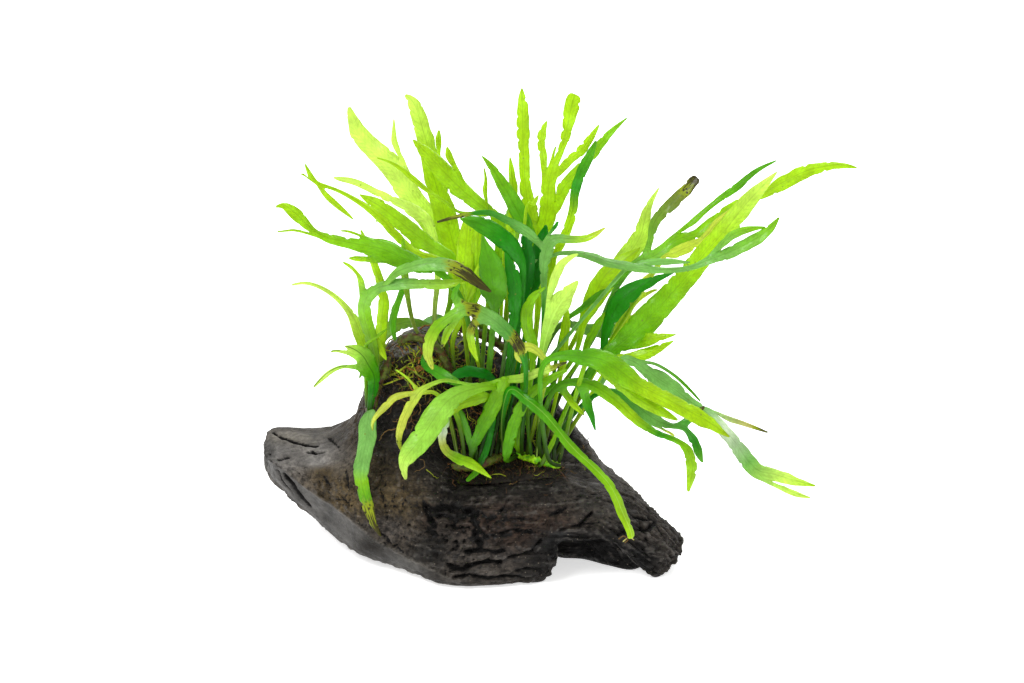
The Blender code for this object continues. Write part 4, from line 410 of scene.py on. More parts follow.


# Stops in the bluish and whitish tones paint sheen and highlights onto a blade
LOOKS = {
    "frond_left_drape": Look(((0, Tone.STALK), (0.15, Tone.PAINTED_SHEEN), (0.55, Tone.PAINTED_SHEEN), (0.62, Tone.BRIGHT),
                              (0.75, Tone.MID), (0.88, Tone.LIME), (1, Tone.STRAW)), wilt=0.74),
    "frond_left_low": Look(((0, Tone.STALK), (0.3, Tone.DEEP), (0.6, Tone.MID), (0.8, Tone.FRESH), (1, Tone.PALE_LIME)),
                           ((Tone.PALE_LIME, 2), (Tone.PALE_LIME, 2)), rib=-1),
    "frond_left_whip": Look(((0, Tone.STALK), (0.3, Tone.LIME), (0.6, Tone.PALE_LIME), (1, Tone.PALE_LIME))),
    "frond_left_arch": Look(((0, Tone.STALK), (0.4, Tone.BRIGHT), (0.7, Tone.PAINTED_SHEEN), (1, Tone.LIME)),
                            ((Tone.PAINTED_SHEEN, 0.62), (Tone.LIME, 2))),
    "frond_left_tall": Look(((0, Tone.STALK), (0.3, Tone.LIME), (1, Tone.LIME))),
    "frond_mound_left": Look(((0, Tone.MID), (1, Tone.MID))),
    "frond_mound_stem": Look(((0, Tone.OLIVE), (1, Tone.BRIGHT))),
    "frond_fork_whip": Look(((0, Tone.STALK), (0.3, Tone.LIME), (1, Tone.LIME)), ((Tone.LIME, 2),)),
    "frond_broad_left": Look(((0, Tone.STALK), (0.4, Tone.BRIGHT), (1, Tone.LIME))),
    "frond_pale_strap": Look(((0, Tone.STALK), (0.4, Tone.PALE_LIME), (1, Tone.PALE_LIME)), rib=0.3),
    "frond_centre_lime": Look(((0, Tone.STALK), (0.3, Tone.LIME), (1, Tone.LIME))),
    "frond_left_long": Look(((0, Tone.STALK), (0.45, Tone.MID), (0.75, Tone.BRIGHT), (1, Tone.LIME)),
                            ((Tone.LIME, 2), (Tone.LIME, 2))),
    "frond_upper_mid": Look(((0, Tone.STALK), (0.5, Tone.BRIGHT), (1, Tone.LIME)),
                            ((Tone.LIME, 2), (Tone.LIME, 2), (Tone.LIME, 2))),
    "frond_centre_dark_tip": Look(((0, Tone.STALK), (0.5, Tone.BRIGHT), (0.75, Tone.MID), (1, Tone.BRIGHT))),
    "frond_centre_tall": Look(((0, Tone.STALK), (0.35, Tone.LIME), (1, Tone.LIME)),
                              ((Tone.LIME, 2), (Tone.LIME, 2), (Tone.LIME, 2), (Tone.BRIGHT, 2))),
    "frond_right_of_centre": Look(((0, Tone.STALK), (0.4, Tone.LIME), (0.72, Tone.LIME), (0.82, Tone.DEEP),
                                    (1, Tone.MID))),
    "frond_right_spread": Look(((0, Tone.STALK), (0.3, Tone.BRIGHT), (0.5, Tone.LIME), (1, Tone.LIME))),
    "frond_right_upright": Look(((0, Tone.STALK), (0.4, Tone.LIME), (1, Tone.PALE_LIME))),
    "frond_far_right": Look(((0, Tone.STALK), (0.35, Tone.PAINTED_SHEEN), (0.55, Tone.BRIGHT), (0.75, Tone.LIME),
                             (1, Tone.LIME)), ((Tone.MID, 2), (Tone.OLIVE, 0.75))),
    "frond_right_dark": Look(((0, Tone.STALK), (0.4, Tone.DEEP), (1, Tone.DEEP))),
    "frond_right_sweep": Look(((0, Tone.STALK), (0.25, Tone.PAINTED_SHEEN), (0.6, Tone.PAINTED_SHEEN), (0.68, Tone.PAINTED_HIGHLIGHT),
                               (0.8, Tone.PAINTED_SHEEN), (0.92, Tone.PALE_LIME), (1, Tone.LIME)), ((Tone.PALE_LIME, 2), (Tone.STRAW, 0.7),
                                                             (Tone.MID, 2))),
    "frond_thin_right": Look(((0, Tone.STALK), (0.3, Tone.PAINTED_SHEEN), (0.8, Tone.PAINTED_SHEEN), (1, Tone.BRIGHT)),
                             ((Tone.BRIGHT, 2),)),
    "frond_pale_big": Look(((0, Tone.STALK), (0.35, Tone.LIME), (0.6, Tone.PALE_LIME), (1, Tone.PALE_LIME)),
                           ((Tone.PALE_LIME, 2),), rib=0.3),
    "frond_tall_left": Look(((0, Tone.STALK), (0.3, Tone.LIME), (0.7, Tone.LIME), (1, Tone.PALE_LIME)),
                            ((Tone.LIME, 2),)),
    "frond_lime_behind": Look(((0, Tone.STALK), (0.4, Tone.LIME), (1, Tone.LIME))),
    "frond_rear_far_left": Look(((0, Tone.STALK), (1, Tone.BRIGHT))),
    "frond_rear_left": Look(((0, Tone.STALK), (0.6, Tone.MID), (1, Tone.BRIGHT)), wilt=0.9),
    "frond_rear_upright": Look(((0, Tone.STALK), (1, Tone.LIME))),
    "frond_rear_middle": Look(((0, Tone.STALK), (1, Tone.BRIGHT))),
    "frond_rear_right": Look(((0, Tone.STALK), (1, Tone.MID))),
    "frond_front_broad": Look(((0, Tone.STALK), (0.4, Tone.BRIGHT), (0.62, Tone.FRESH), (0.85, Tone.FRESH),
                               (1, Tone.PALE_LIME)), ((Tone.YELLOW, 0.85), (Tone.PALE_LIME, 0.78))),
    "frond_yellow_hook": Look(((0, Tone.STALK), (0.45, Tone.LIME), (0.7, Tone.YELLOW), (1, Tone.YELLOW)),
                              ((Tone.LIME, 2),), wilt=0.95, rib=0.4),
    "frond_twisted": Look(((0, Tone.STALK), (0.35, Tone.BRIGHT), (0.52, Tone.BRIGHT), (0.6, Tone.PAINTED_HIGHLIGHT),
                           (0.68, Tone.YELLOW), (0.78, Tone.BRIGHT), (1, Tone.LIME))),
    "frond_dark_curl": Look(((0, Tone.STALK), (0.4, Tone.DARKEST), (1, Tone.DARKEST))),
    "frond_forward": Look(((0, Tone.STALK), (1, Tone.MID))),
    "frond_dark_holed": Look(((0, Tone.STALK), (0.6, Tone.DEEP), (1, Tone.DEEP))),
    "frond_deep_green": Look(((0, Tone.STALK), (0.5, Tone.DEEP), (0.85, Tone.DEEP), (1, Tone.MID))),
    "frond_front_long": Look(((0, Tone.STALK), (0.3, Tone.DEEP), (0.5, Tone.MID), (0.75, Tone.BRIGHT),
                              (1, Tone.LIME)), rib=0.45),
    "frond_darkest": Look(((0, Tone.STALK), (0.5, Tone.DARKEST), (1, Tone.DARKEST))),
    "frond_front_fork": Look(((0, Tone.BRIGHT), (0.4, Tone.MID), (1, Tone.MID)), ((Tone.MID, 2),)),
    "frond_crossing": Look(((0, Tone.STALK), (0.5, Tone.DEEP), (0.62, Tone.PAINTED_SHEEN), (0.84, Tone.PAINTED_SHEEN),
                            (0.93, Tone.LIME), (1, Tone.YELLOW)), ((Tone.DEEP, 0.72),)),
    "frond_short_notched": Look(((0, Tone.MID), (0.5, Tone.BRIGHT), (1, Tone.BRIGHT))),
    "frond_veined": Look(((0, Tone.STALK), (0.3, Tone.BRIGHT), (0.55, Tone.FRESH), (1, Tone.PALE_LIME)), ((Tone.PALE_LIME, 2),), rib=1),
    "frond_hooked_right": Look(((0, Tone.STALK), (0.4, Tone.MID), (0.5, Tone.BRIGHT), (0.62, Tone.LIME),
                                (0.74, Tone.DEEP), (0.82, Tone.BRIGHT), (1, Tone.LIME)),
                               ((Tone.LIME, 2), (Tone.DEEP, 2))),
    "frond_great_lime": Look(((0, Tone.STALK), (0.3, Tone.MID), (0.52, Tone.BRIGHT), (0.75, Tone.LIME),
                               (1, Tone.PALE_LIME)), ((Tone.LIME, 2),)),
    "frond_low_right_dark": Look(((0, Tone.STALK), (0.4, Tone.DEEP), (0.7, Tone.PAINTED_SHEEN), (0.9, Tone.DEEP), (1, Tone.MID)),
                                 ((Tone.DEEP, 0.6),)),
    "frond_right_droop": Look(((0, Tone.STALK), (0.3, Tone.MID), (0.52, Tone.MID), (0.66, Tone.BRIGHT),
                               (0.74, Tone.LIME), (1, Tone.LIME)), wilt=0.97),
    "frond_bridge": Look(((0, Tone.STALK), (0.5, Tone.DEEP), (0.65, Tone.PAINTED_SHEEN), (0.85, Tone.BRIGHT),
                          (1, Tone.YELLOW)), ((Tone.MID, 2), (Tone.LIME, 0.85), (Tone.LIME, 2)), wilt=0.97,
                         blotches=((-1, 0.52, 0.035), (2, 0.2, 0.22), (-1, 0.72, 0.02))),
}


def small(rhizome: str, eye: float, roll: float, rows: tuple, *tones: Tone, lobes: tuple = ()) -> tuple:
    """A young frond that is too slim for the solids.

    Args:
        rhizome: the rhizome that it grows from.
        eye: its place along it, from 0 to 1.
        roll: how far its blade is rolled about its spine, in degrees.
        rows: its rows of (right, up, y, width seen).
        tones: its colour at its foot, then evenly along it to its end.
        lobes: the lobes that fork off it.

    Returns:
        Its shape and its look.
    """
    stops = tuple((0.25 + 0.75 * k / max(len(tones) - 1, 1), tone) for k, tone in enumerate(tones))
    return Frond(rhizome, eye, roll, rows, lobes), Look(((0, Tone.STALK), *stops))


SMALL_FRONDS = {
    "front_stipe": small("middle", 0.40, 0, (
        (0.5, 54, -24, 2), (3.4, 62, -25.5, 4.4), (7.4, 70, -27, 6), (11.4, 78, -28.5, 6), (13.6, 83, -30, 5),
        (14.6, 85.2, -31, 3)), Tone.MID, Tone.BRIGHT, lobes=(
            ((1.6, 58), (-1.5, 64, -25, 3.4), (-4, 69.5, -26, 4), (-5.8, 73.5, -27, 2.4)),)),
    "front_wedge": small("middle", 0.46, 10, (
        (3, 62, -23, 1.6), (8, 72, -24, 3), (7.6, 77, -26, 4.2), (2, 76.4, -28, 5), (-4, 74.4, -30, 4.6),
        (-7.4, 71.4, -31, 2.6), (-9, 68.6, -31, 0.5)), Tone.MID, Tone.LIME),
    "dark_stipe": small("middle", 0.55, 0, (
        (3, 48, -22, 1.4), (5.4, 54, -21, 3.4), (7.6, 62, -20, 3.6), (8.8, 69, -19, 3.2), (9.4, 75, -18, 1)), Tone.DEEP),
    "low_spur": small("middle", 0.33, 0, ((5, 50, -26, 2), (2, 46.6, -29, 2.4), (-1.4, 43.6, -31, 1.6)), Tone.MID),
    "thin_curve": small("front", 0.05, 0, (
        (14, 56, -16, 1.6), (12.8, 63, -17, 1.8), (13.4, 70, -18, 1.8), (16, 78, -19, 1.6)), Tone.BRIGHT),
    "front_curl": small("front", 0.3, 0, (
        (31, 88, -30, 2), (29, 93, -34, 2.6), (26, 96.4, -36, 3.2), (22.6, 97.4, -37, 4), (19.6, 95.6, -38, 4.4),
        (19, 92.6, -38, 3), (20.6, 91, -38, 0.8)), Tone.LIME, Tone.YELLOW),
    "right_teeth": small("back", 0.95, 10, (
        (56, 98, 8, 2), (59, 103, 9, 3.6), (61, 108, 10, 4), (64, 114, 11, 4), (67, 118, 12, 4), (70, 124, 12, 3),
        (73, 127, 12, 0.6)), Tone.LIME, Tone.YELLOW, lobes=(
            ((61.4, 109), (66, 111, 10, 2), (68.6, 110.5, 10, 0.6)),
            ((67, 118), (71.4, 119.6, 12, 2), (75, 120, 12, 0.6)))),
    "right_low_lobe": small("front", 0.82, 10, (
        (56, 90, -8, 2), (62, 92.6, -8, 3.4), (68, 93.6, -8, 5), (74, 96, -9, 4), (81.4, 99.6, -10, 0.6)), Tone.LIME),
    "dark_core": small("middle", 0.95, 10, (
        (24, 112, -10, 2), (25, 120, -11, 5), (27, 130, -12, 7), (29, 139, -13, 6), (30.4, 146, -13, 1)), Tone.DARKEST),
    "small_left": small("left", 0.5, 0, (
        (-38.6, 101, -14, 1.8), (-36.6, 98, -16, 3), (-34.8, 94.6, -17, 2.6), (-33.4, 92, -18, 0.5)), Tone.LIME),
    "left_strand": small("left", 0.3, 0, (
        (-42, 96, -16, 1.2), (-40, 99.4, -18, 1.4), (-37, 101.6, -19, 1.4), (-33, 104.6, -20, 0.5)), Tone.BRIGHT),
    "lime_glimpse": small("crest", 0.5, 10, (
        (14, 140, 0, 1.6), (15, 143, 0, 3.6), (16.6, 146, 0, 3.6), (18, 148, 0, 0.8)), Tone.LIME),
    "centre_spur": small("back", 0.5, 0, (
        (22, 148, -6, 1.2), (24.6, 153.6, -6, 2.2), (26.4, 156, -6, 2), (27.4, 158, -6, 0.5)), Tone.LIME),
    "bluish_second": small("back", 0.45, 10, (
        (60, 126, -8, 1.6), (66, 129.6, -10, 3), (72, 131, -11, 2.8), (80, 131.4, -11, 2.6), (88, 131, -11, 0.6)),
        Tone.PAINTED_SHEEN),
    "yellow_behind": small("back", 0.9, 20, (
        (74, 128, 10, 2), (80, 133.6, 11, 4), (87, 137, 12, 4.6), (93, 140, 13, 3), (99, 147, 14, 3),
        (105, 152.6, 15, 0.6)), Tone.LIME, Tone.YELLOW),
    "lime_by_veined": small("front", 0.6, 10, (
        (36, 84, -6, 1.6), (37.2, 92, -5, 3.4), (37.6, 100, -4, 4), (38.6, 108, -3, 3.4), (39, 113, -3, 0.6)), Tone.LIME),
    "thin_middle": small("back", 0.8, 10, (
        (37, 104, 4, 1.6), (44, 112, 5, 2.4), (52, 118.6, 6, 2.6), (60, 125, 7, 2.4), (64.4, 128, 7, 0.6)), Tone.MID),
    "short_bright": small("back", 0.7, 10, (
        (44, 92, 2, 1.6), (47, 99, 2, 3), (51, 106, 3, 3.4), (54, 111, 3, 0.6)), Tone.BRIGHT),
    "front_strap": small("front", 0.08, 0, (
        (14.5, 52, -24, 2.8), (15.4, 58, -26, 4.2), (17.8, 67, -28, 4.8), (22, 75.6, -29.5, 4.4), (28, 81.6, -30.5, 3.4),
        (34, 85.6, -31, 2.6), (39, 88, -31, 1)), Tone.MID, Tone.BRIGHT),
    "mound_blade": small("top", 0.5, 0, (
        (-19, 91, -19, 2), (-15.4, 88.6, -24, 4), (-11, 86, -28, 4.8), (-6, 83.4, -31, 3.4), (-3, 82, -32, 1)),
        Tone.DEEP, Tone.MID),
    "under_droop": small("front", 0.95, 0, (
        (46, 90, -36, 2), (52, 88, -38, 3), (60, 82, -40, 4), (68, 76, -41, 4.4), (76, 71.6, -42, 4),
        (83, 68, -43, 1)), Tone.BRIGHT, Tone.LIME),
    "centre_fill": small("back", 0.2, 0, (
        (2, 112, -2, 1.6), (2.4, 118, -2, 4.6), (2.8, 130, -2, 5.4), (3.2, 140, -2, 5), (3.8, 148, -2, 1)), Tone.BRIGHT,
        Tone.LIME),
    "lime_by_core": small("back", 0.3, 0, (
        (-3, 108, -4, 1.6), (-1, 116, -4, 3), (2, 124, -4, 3.6), (4, 131, -4, 1)), Tone.LIME),
    "lime_stalk": small("front", 0.6, 0, (
        (28, 49, -24, 1.8), (31, 55, -24, 2), (34.4, 62, -23, 2), (37, 69, -22, 1.8), (40, 76, -21, 1.2)), Tone.BRIGHT),
}

# Slim lobes of the fronds that the solids leave out: each frond's, with the end tone and wilting place of each
SMALL_LOBES = {
    "frond_fork_whip": ((((-62.2, 164), (-64.8, 165.6, -16, 1.2), (-67.6, 166.4, -17, 0.5)), (Tone.LIME, 2)),),
    "frond_broad_left": (
        (((-33, 151), (-35.8, 148.6, 13, 1.8), (-37.6, 147.4, 13, 0.6)), (Tone.LIME, 2)),
        (((-20, 139), (-24.5, 136.4, 9, 2.8), (-28.5, 136, 9, 2.4), (-32, 137, 9, 0.6)), (Tone.OLIVE, 0.8))),
    "frond_left_long": ((((-36, 134.5), (-41, 133.4, -19, 4.4), (-45, 132.6, -19, 3), (-48.4, 132.6, -19, 0.6)),
                         (Tone.LIME, 2)),),
    "frond_centre_tall": ((((33, 171), (33.4, 174.4, 6, 1.6), (34.4, 177.4, 6, 0.5)), (Tone.LIME, 2)),),
    "frond_crossing": ((((31.5, 139), (33.6, 143.4, -22, 2.8), (35.2, 147.4, -22, 0.6)), (Tone.DEEP, 2)),),
    "frond_low_right_dark": ((((75, 68), (78, 65, -31, 2), (81.6, 61.6, -31, 0.6)), (Tone.YELLOW, 2)),),
}

# Bare stalks and roots over the moss, as they are seen: radius, tone and places
OLD_STALKS = (
    (0.65, Tone.OLD_STALK, ((-37, 88), (-30, 86), (-24, 90), (-20, 92))),
    (0.6, Tone.OLIVE, ((-30, 94), (-22, 86), (-18, 84))),
    (0.6, Tone.OLD_STALK, ((-28, 98), (-24, 92), (-22, 86))),
    (0.55, Tone.OLD_STALK, ((-34, 86), (-26, 93), (-22, 97), (-20, 100))),
    (0.5, Tone.OLIVE, ((-14, 100), (-14.6, 96), (-14, 92))),
    (0.9, Tone.RUST_ROOT, ((-11, 97), (-9.6, 95.4))),
    (0.9, Tone.RUST_ROOT, ((-22, 98), (-20.4, 96.6))),
    (0.5, Tone.OLD_STALK, ((-40, 84), (-34, 82), (-28, 84))),
    (0.5, Tone.OLIVE, ((-12, 88), (-8, 84), (-2, 83))),
    (0.6, Tone.ROOT, ((10, 65), (10.4, 56), (9.6, 48))),
    (0.5, Tone.ROOT, ((-2, 62), (2, 54), (1, 46))),
    (0.5, Tone.OLIVE, ((16, 62), (14.6, 55), (16, 48))),
    (0.45, Tone.OLD_STALK, ((24, 60), (27, 55), (31, 52))),
    (0.35, Tone.BROWN, ((58.6, 20.4), (60.6, 21.6), (62.4, 20.2), (61, 18.8))),
    (0.3, Tone.STRAW, ((60.4, 19.4), (62.8, 21), (64.8, 20))),
)


def lift_into(share: float, low: float, high: float) -> float:
    """A smooth step of share between low and high.

    Args:
        share: the value to place.
        low: where the step leaves 0.
        high: where the step reaches 1.

    Returns:
        The step's value, from 0 to 1.
    """
    t = min(max((share - low) / (high - low), 0.0), 1.0)
    return t * t * (3 - 2 * t)


def smooth_steps(values: np.ndarray, low: float, high: float) -> np.ndarray:
    """The same smooth step for a whole array of values.

    Args:
        values: the values to place.
        low: where the step leaves 0.
        high: where the step reaches 1.

    Returns:
        The step's value for each of them.
    """
    t = np.clip((values - low) / (high - low), 0.0, 1.0)
    return t * t * (3 - 2 * t)


def catmull_rom(before: np.ndarray, start: np.ndarray, end: np.ndarray, after: np.ndarray, t: float) -> np.ndarray:
    """The curve between start and end at t, smooth through all four given values.

    Args:
        before: the value ahead of the stretch.
        start: the value at its beginning.
        end: the value at its end.
        after: the value behind it.
        t: the place between start and end, from 0 to 1.

    Returns:
        The value there.
    """
    return 0.5 * (
        2 * start
        + (end - before) * t
        + (2 * before - 5 * start + 4 * end - after) * t * t
        + (3 * start - before - 3 * end + after) * t * t * t
    )


def surface(objects: Sequence[bpy.types.Object]) -> BVHTree:
    """The outer surface of some objects, in millimetres.

    Args:
        objects: mesh objects that stand at the origin.

    Returns:
        A tree to cast rays at.
    """
    points, faces = [], []
    for thing in objects:
        first = len(points)
        points += [vertex.co / MM for vertex in thing.data.vertices]
        faces += [[first + index for index in face.vertices] for face in thing.data.polygons]
    return BVHTree.FromPolygons(points, faces)


def lay_on(tree: BVHTree, x: float, y: float, clearance: float) -> Vector:
    """The point at (x, y) that stands clearance off a surface, measured square to it.

    Args:
        tree: the surface.
        x: place to the right.
        y: place away from the viewer.
        clearance: how far off the surface the point stands.

    Returns:
        The point.
    """
    down = Vector((0, 0, -1))
    spot, facing, _, _ = tree.ray_cast(Vector((x, y, 500.0)), down)
    if spot is None:
        spot, facing, _, _ = tree.ray_cast(Vector((x + 0.8, y, 500.0)), down)
    point = spot + facing * clearance
    for _ in range(4):
        near, _, _, distance = tree.find_nearest(point)
        if distance < clearance:
            point += (point - near).normalized() * (clearance - distance)
    return point


def mesh_object(name: str, points: np.ndarray, faces: Sequence, material: bpy.types.Material) -> bpy.types.Object:
    """A smooth-shaded mesh object from points in millimetres.

    Args:
        name: the piece's name.
        points: one row of x, y and z for each vertex.
        faces: the vertex numbers of each face.
        material: the finish of the whole piece.

    Returns:
        The object, linked into the scene.
    """
    mesh = bpy.data.meshes.new(name)
    mesh.from_pydata((np.asarray(points) * MM).tolist(), [], faces)
    mesh.materials.append(material)
    mesh.shade_smooth()
    thing = bpy.data.objects.new(name, mesh)
    bpy.context.collection.objects.link(thing)
    return thing


def store(thing: bpy.types.Object, name: str, values: np.ndarray) -> None:
    """Keep a number or a colour for each vertex, for the piece's material to read.

    Args:
        thing: the piece.
        name: the attribute's name.
        values: one number for each vertex, or one row of red, green and blue.
    """
    values = np.asarray(values, dtype=np.float32)
    if values.ndim == 1:
        layer = thing.data.attributes.new(name, "FLOAT", "POINT")
        layer.data.foreach_set("value", values)
    else:
        layer = thing.data.attributes.new(name, "FLOAT_COLOR", "POINT")
        full = np.ones((len(values), 4), dtype=np.float32)
        full[:, :3] = values
        layer.data.foreach_set("color", full.ravel())


def place(piece: bpy.types.Object, slot: str, nodes: Sequence[str]) -> bpy.types.Object:
    """Fix a piece to the part, in place of the solids that it stands for.

    Args:
        piece: the finished piece.
        slot: the record's material slot; not used.
        nodes: the solids that it replaces.

    Returns:
        The same piece.
    """
    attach(piece, "root")
    if nodes:
        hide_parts(*nodes)
    LOG.info("%s: %d faces", piece.name, len(piece.data.polygons))
    return piece


@dataclass(frozen=True)
class View:
    """The place that the plant is described from, and the camera's."""

    tilt: float = math.radians(20.0)
    distance: float = 967.0
    centre: tuple = (16.8, 99.4)
    toe_y: float = -45.0
    lens: float = 85.0
    sensor: float = 36.0

    @property
    def away(self) -> Vector:
        """The direction that the viewer looks in."""
        return Vector((0, math.cos(self.tilt), -math.sin(self.tilt)))

    @property
    def upward(self) -> Vector:
        """The direction that is up in the picture."""
        return Vector((0, math.sin(self.tilt), math.cos(self.tilt)))

    @property
    def eye(self) -> Vector:
        """Where the viewer's eye is."""
        aim = Vector((self.centre[0], self.toe_y, 0)) + self.upward * self.centre[1]
        return aim - self.away * self.distance

    def ray(self, right: float, up: float) -> Vector:
        """The line of sight through a place of the picture, as a vector from the eye."""
        sideways, rise = right - self.centre[0], up - self.centre[1]
        return self.away * self.distance + Vector((sideways, 0, 0)) + self.upward * rise

    def picture(self, points: np.ndarray) -> tuple:
        """The right and the up that rows of points are seen at, as two arrays."""
        apart = points - np.array(self.eye)
        scale = self.distance / (apart @ np.array(self.away))
        return self.centre[0] + apart[:, 0] * scale, self.centre[1] + apart @ np.array(self.upward) * scale

    def seen(self, right: float, up: float, y: float) -> Vector:
        """The point at depth y that the viewer sees at a place of the picture.

        Args:
            right: how far right of x = 0 it appears.
            up: how far above the front toe it appears.
            y: its depth.

        Returns:
            The point.
        """
        ray = self.ray(right, up)
        return self.eye + ray * ((y - self.eye.y) / ray.y)

    def seen_rows(self, rows: Sequence) -> list:
        """Rows of (right, up, y, width) as rows of (x, y, z, width)."""
        return [(*self.seen(right, up, y), width) for right, up, y, width in rows]

    def place_camera(self) -> None:
        """Put the camera at the eye and make it the scene's."""
        data = bpy.data.cameras.new("camera")
        data.lens = self.lens
        data.sensor_width = self.sensor
        camera = bpy.data.objects.new("camera", data)
        camera.location = self.eye * MM
        camera.rotation_euler = (math.pi / 2 - self.tilt, 0, 0)
        bpy.context.collection.objects.link(camera)
        bpy.context.scene.camera = camera


VIEW = View()


class Spine:
    """A smooth curve through rows of (x, y, z, width), read by the distance along it."""

    def __init__(self, rows: Sequence, fineness: int = 8) -> None:
        """Run the curve through the rows.

        Args:
            rows: rows of x, y, z and width.
            fineness: how many straight steps stand for the curve between two rows.
        """
        rows = np.array(rows, dtype=float)
        last = len(rows) - 1
        fine = []
        for i in range(last):
            four = rows[max(i - 1, 0)], rows[i], rows[i + 1], rows[min(i + 2, last)]
            fine += [catmull_rom(*four, k / fineness) for k in range(fineness)]
        fine.append(rows[last])
        self.rows = np.array(fine)
        steps = np.linalg.norm(np.diff(self.rows[:, :3], axis=0), axis=1)
        self.distance = np.concatenate([[0.0], np.cumsum(steps)])
        self.length = float(self.distance[-1])

    def at(self, s: float) -> tuple:
        """The point and the width at a distance s along the curve."""
        row = [np.interp(s, self.distance, self.rows[:, k]) for k in range(4)]
        return Vector(row[:3]), max(row[3], 0.4)

    def heading(self, s: float) -> Vector:
        """The unit direction of the curve at s."""
        ahead, _ = self.at(min(s + 0.7, self.length))
        behind, _ = self.at(max(s - 0.7, 0.0))
        return (ahead - behind).normalized()

    def nearest(self, point: Sequence) -> float:
        """The distance along the curve of its place nearest to a point."""
        gaps = np.linalg.norm(self.rows[:, :3] - np.array(point), axis=1)
        return float(self.distance[int(np.argmin(gaps))])


class Graph:
    """Adds the nodes of one node tree and links them, so that a finish reads as a list of steps."""

    def __init__(self, tree: bpy.types.NodeTree) -> None:
        """Work on a tree."""
        self.tree = tree

    def node(self, kind: str, **settings: object) -> bpy.types.Node:
        """Add a node.

        Args:
            kind: its type.
            settings: its own settings by name.

        Returns:
            The node.
        """
        made = self.tree.nodes.new(kind)
        for name, value in settings.items():
            setattr(made, name, value)
        return made

    def feed(self, target: bpy.types.NodeSocket, source: object) -> None:
        """Link a socket into another, or set it where the source is a plain value."""
        if isinstance(source, bpy.types.NodeSocket):
            self.tree.links.new(source, target)
        else:
            target.default_value = source

    def math(self, operation: str, first: object, second: object = 0.0, clamp: bool = False) -> bpy.types.NodeSocket:
        """One arithmetic step.

        Args:
            operation: the step's name, such as MULTIPLY.
            first: its first value or socket.
            second: its second value or socket.
            clamp: whether the result stays between 0 and 1.

        Returns:
            The result's socket.
        """
        step = self.node("ShaderNodeMath", operation=operation, use_clamp=clamp)
        self.feed(step.inputs[0], first)
        self.feed(step.inputs[1], second)
        return step.outputs[0]

    def spread(self, value: object, low: float, high: float, bottom: float = 0.0, top: float = 1.0) -> bpy.types.NodeSocket:
        """A value between low and high spread over bottom to top, smoothly.

        Args:
            value: the value or socket.
            low: what becomes bottom.
            high: what becomes top.
            bottom: the least result.
            top: the greatest result.

        Returns:
            The result's socket.
        """
        step = self.node("ShaderNodeMapRange", interpolation_type="SMOOTHSTEP")
        for socket, given in zip(step.inputs[:5], (value, low, high, bottom, top)):
            self.feed(socket, given)
        return step.outputs[0]

    def mix(self, factor: object, first: object, second: object, blend: str = "MIX") -> bpy.types.NodeSocket:
        """Two colours mixed.

        Args:
            factor: the share of the second, a value or socket.
            first: the first colour or socket.
            second: the second colour or socket.
            blend: how they are mixed.

        Returns:
            The mixed colour's socket.
        """
        step = self.node("ShaderNodeMix", data_type="RGBA", blend_type=blend, clamp_factor=True)
        self.feed(step.inputs["Factor"], factor)
        self.feed(step.inputs["A"], rgba(first))
        self.feed(step.inputs["B"], rgba(second))
        return step.outputs["Result"]

    def attribute(self, name: str, output: str = "Fac") -> bpy.types.NodeSocket:
        """What a piece keeps at its vertices under a name."""
        return self.node("ShaderNodeAttribute", attribute_name=name).outputs[output]

    def place_mm(self) -> bpy.types.NodeSocket:
        """The place on the surface, in millimetres."""
        source = self.node("ShaderNodeTexCoord").outputs["Object"]
        step = self.node("ShaderNodeVectorMath", operation="SCALE")
        self.feed(step.inputs[0], source)
        step.inputs["Scale"].default_value = 1 / MM
        return step.outputs[0]

    def noise(self, vector: object, scale: object, detail: float = 3.0, rough: float = 0.55) -> bpy.types.NodeSocket:
        """Plain noise from 0 to 1.

        Args:
            vector: where it is read.
            scale: how many lumps there are in one unit.
            detail: how many finer layers it has.
            rough: how strong the finer layers are.

        Returns:
            Its socket.
        """
        step = self.node("ShaderNodeTexNoise", noise_dimensions="3D")
        self.feed(step.inputs["Vector"], vector)
        self.feed(step.inputs["Scale"], scale)
        step.inputs["Detail"].default_value = detail
        step.inputs["Roughness"].default_value = rough
        return step.outputs[0]

    def group(self, tree: bpy.types.NodeTree, **values: object) -> bpy.types.Node:
        """Place a node group.

        Args:
            tree: the group.
            values: its inputs by name, with underscores for spaces.

        Returns:
            The group's node.
        """
        made = self.node("ShaderNodeGroup", node_tree=tree)
        for name, value in values.items():
            self.feed(made.inputs[name.replace("_", " ")], value)
        return made


def rgba(colour: object) -> object:
    """A colour with its alpha, or the socket as it is."""
    if isinstance(colour, Tone):
        colour = colour.value
    return (*colour, 1.0) if isinstance(colour, tuple) and len(colour) == 3 else colour


def new_group(name: str, inputs: Sequence, outputs: Sequence) -> tuple:
    """An empty shader node group with its sockets.

    Args:
        name: the group's name.
        inputs: name, socket type and default of each input.
        outputs: name and socket type of each output.

    Returns:
        The group, its graph, its input node and its output node.
    """
    tree = bpy.data.node_groups.new(name, "ShaderNodeTree")
    for label, kind, default in inputs:
        socket = tree.interface.new_socket(label, in_out="INPUT", socket_type=kind)
        if default is not None:
            socket.default_value = default
    for label, kind in outputs:
        tree.interface.new_socket(label, in_out="OUTPUT", socket_type=kind)
    graph = Graph(tree)
    return tree, graph, graph.node("NodeGroupInput"), graph.node("NodeGroupOutput")


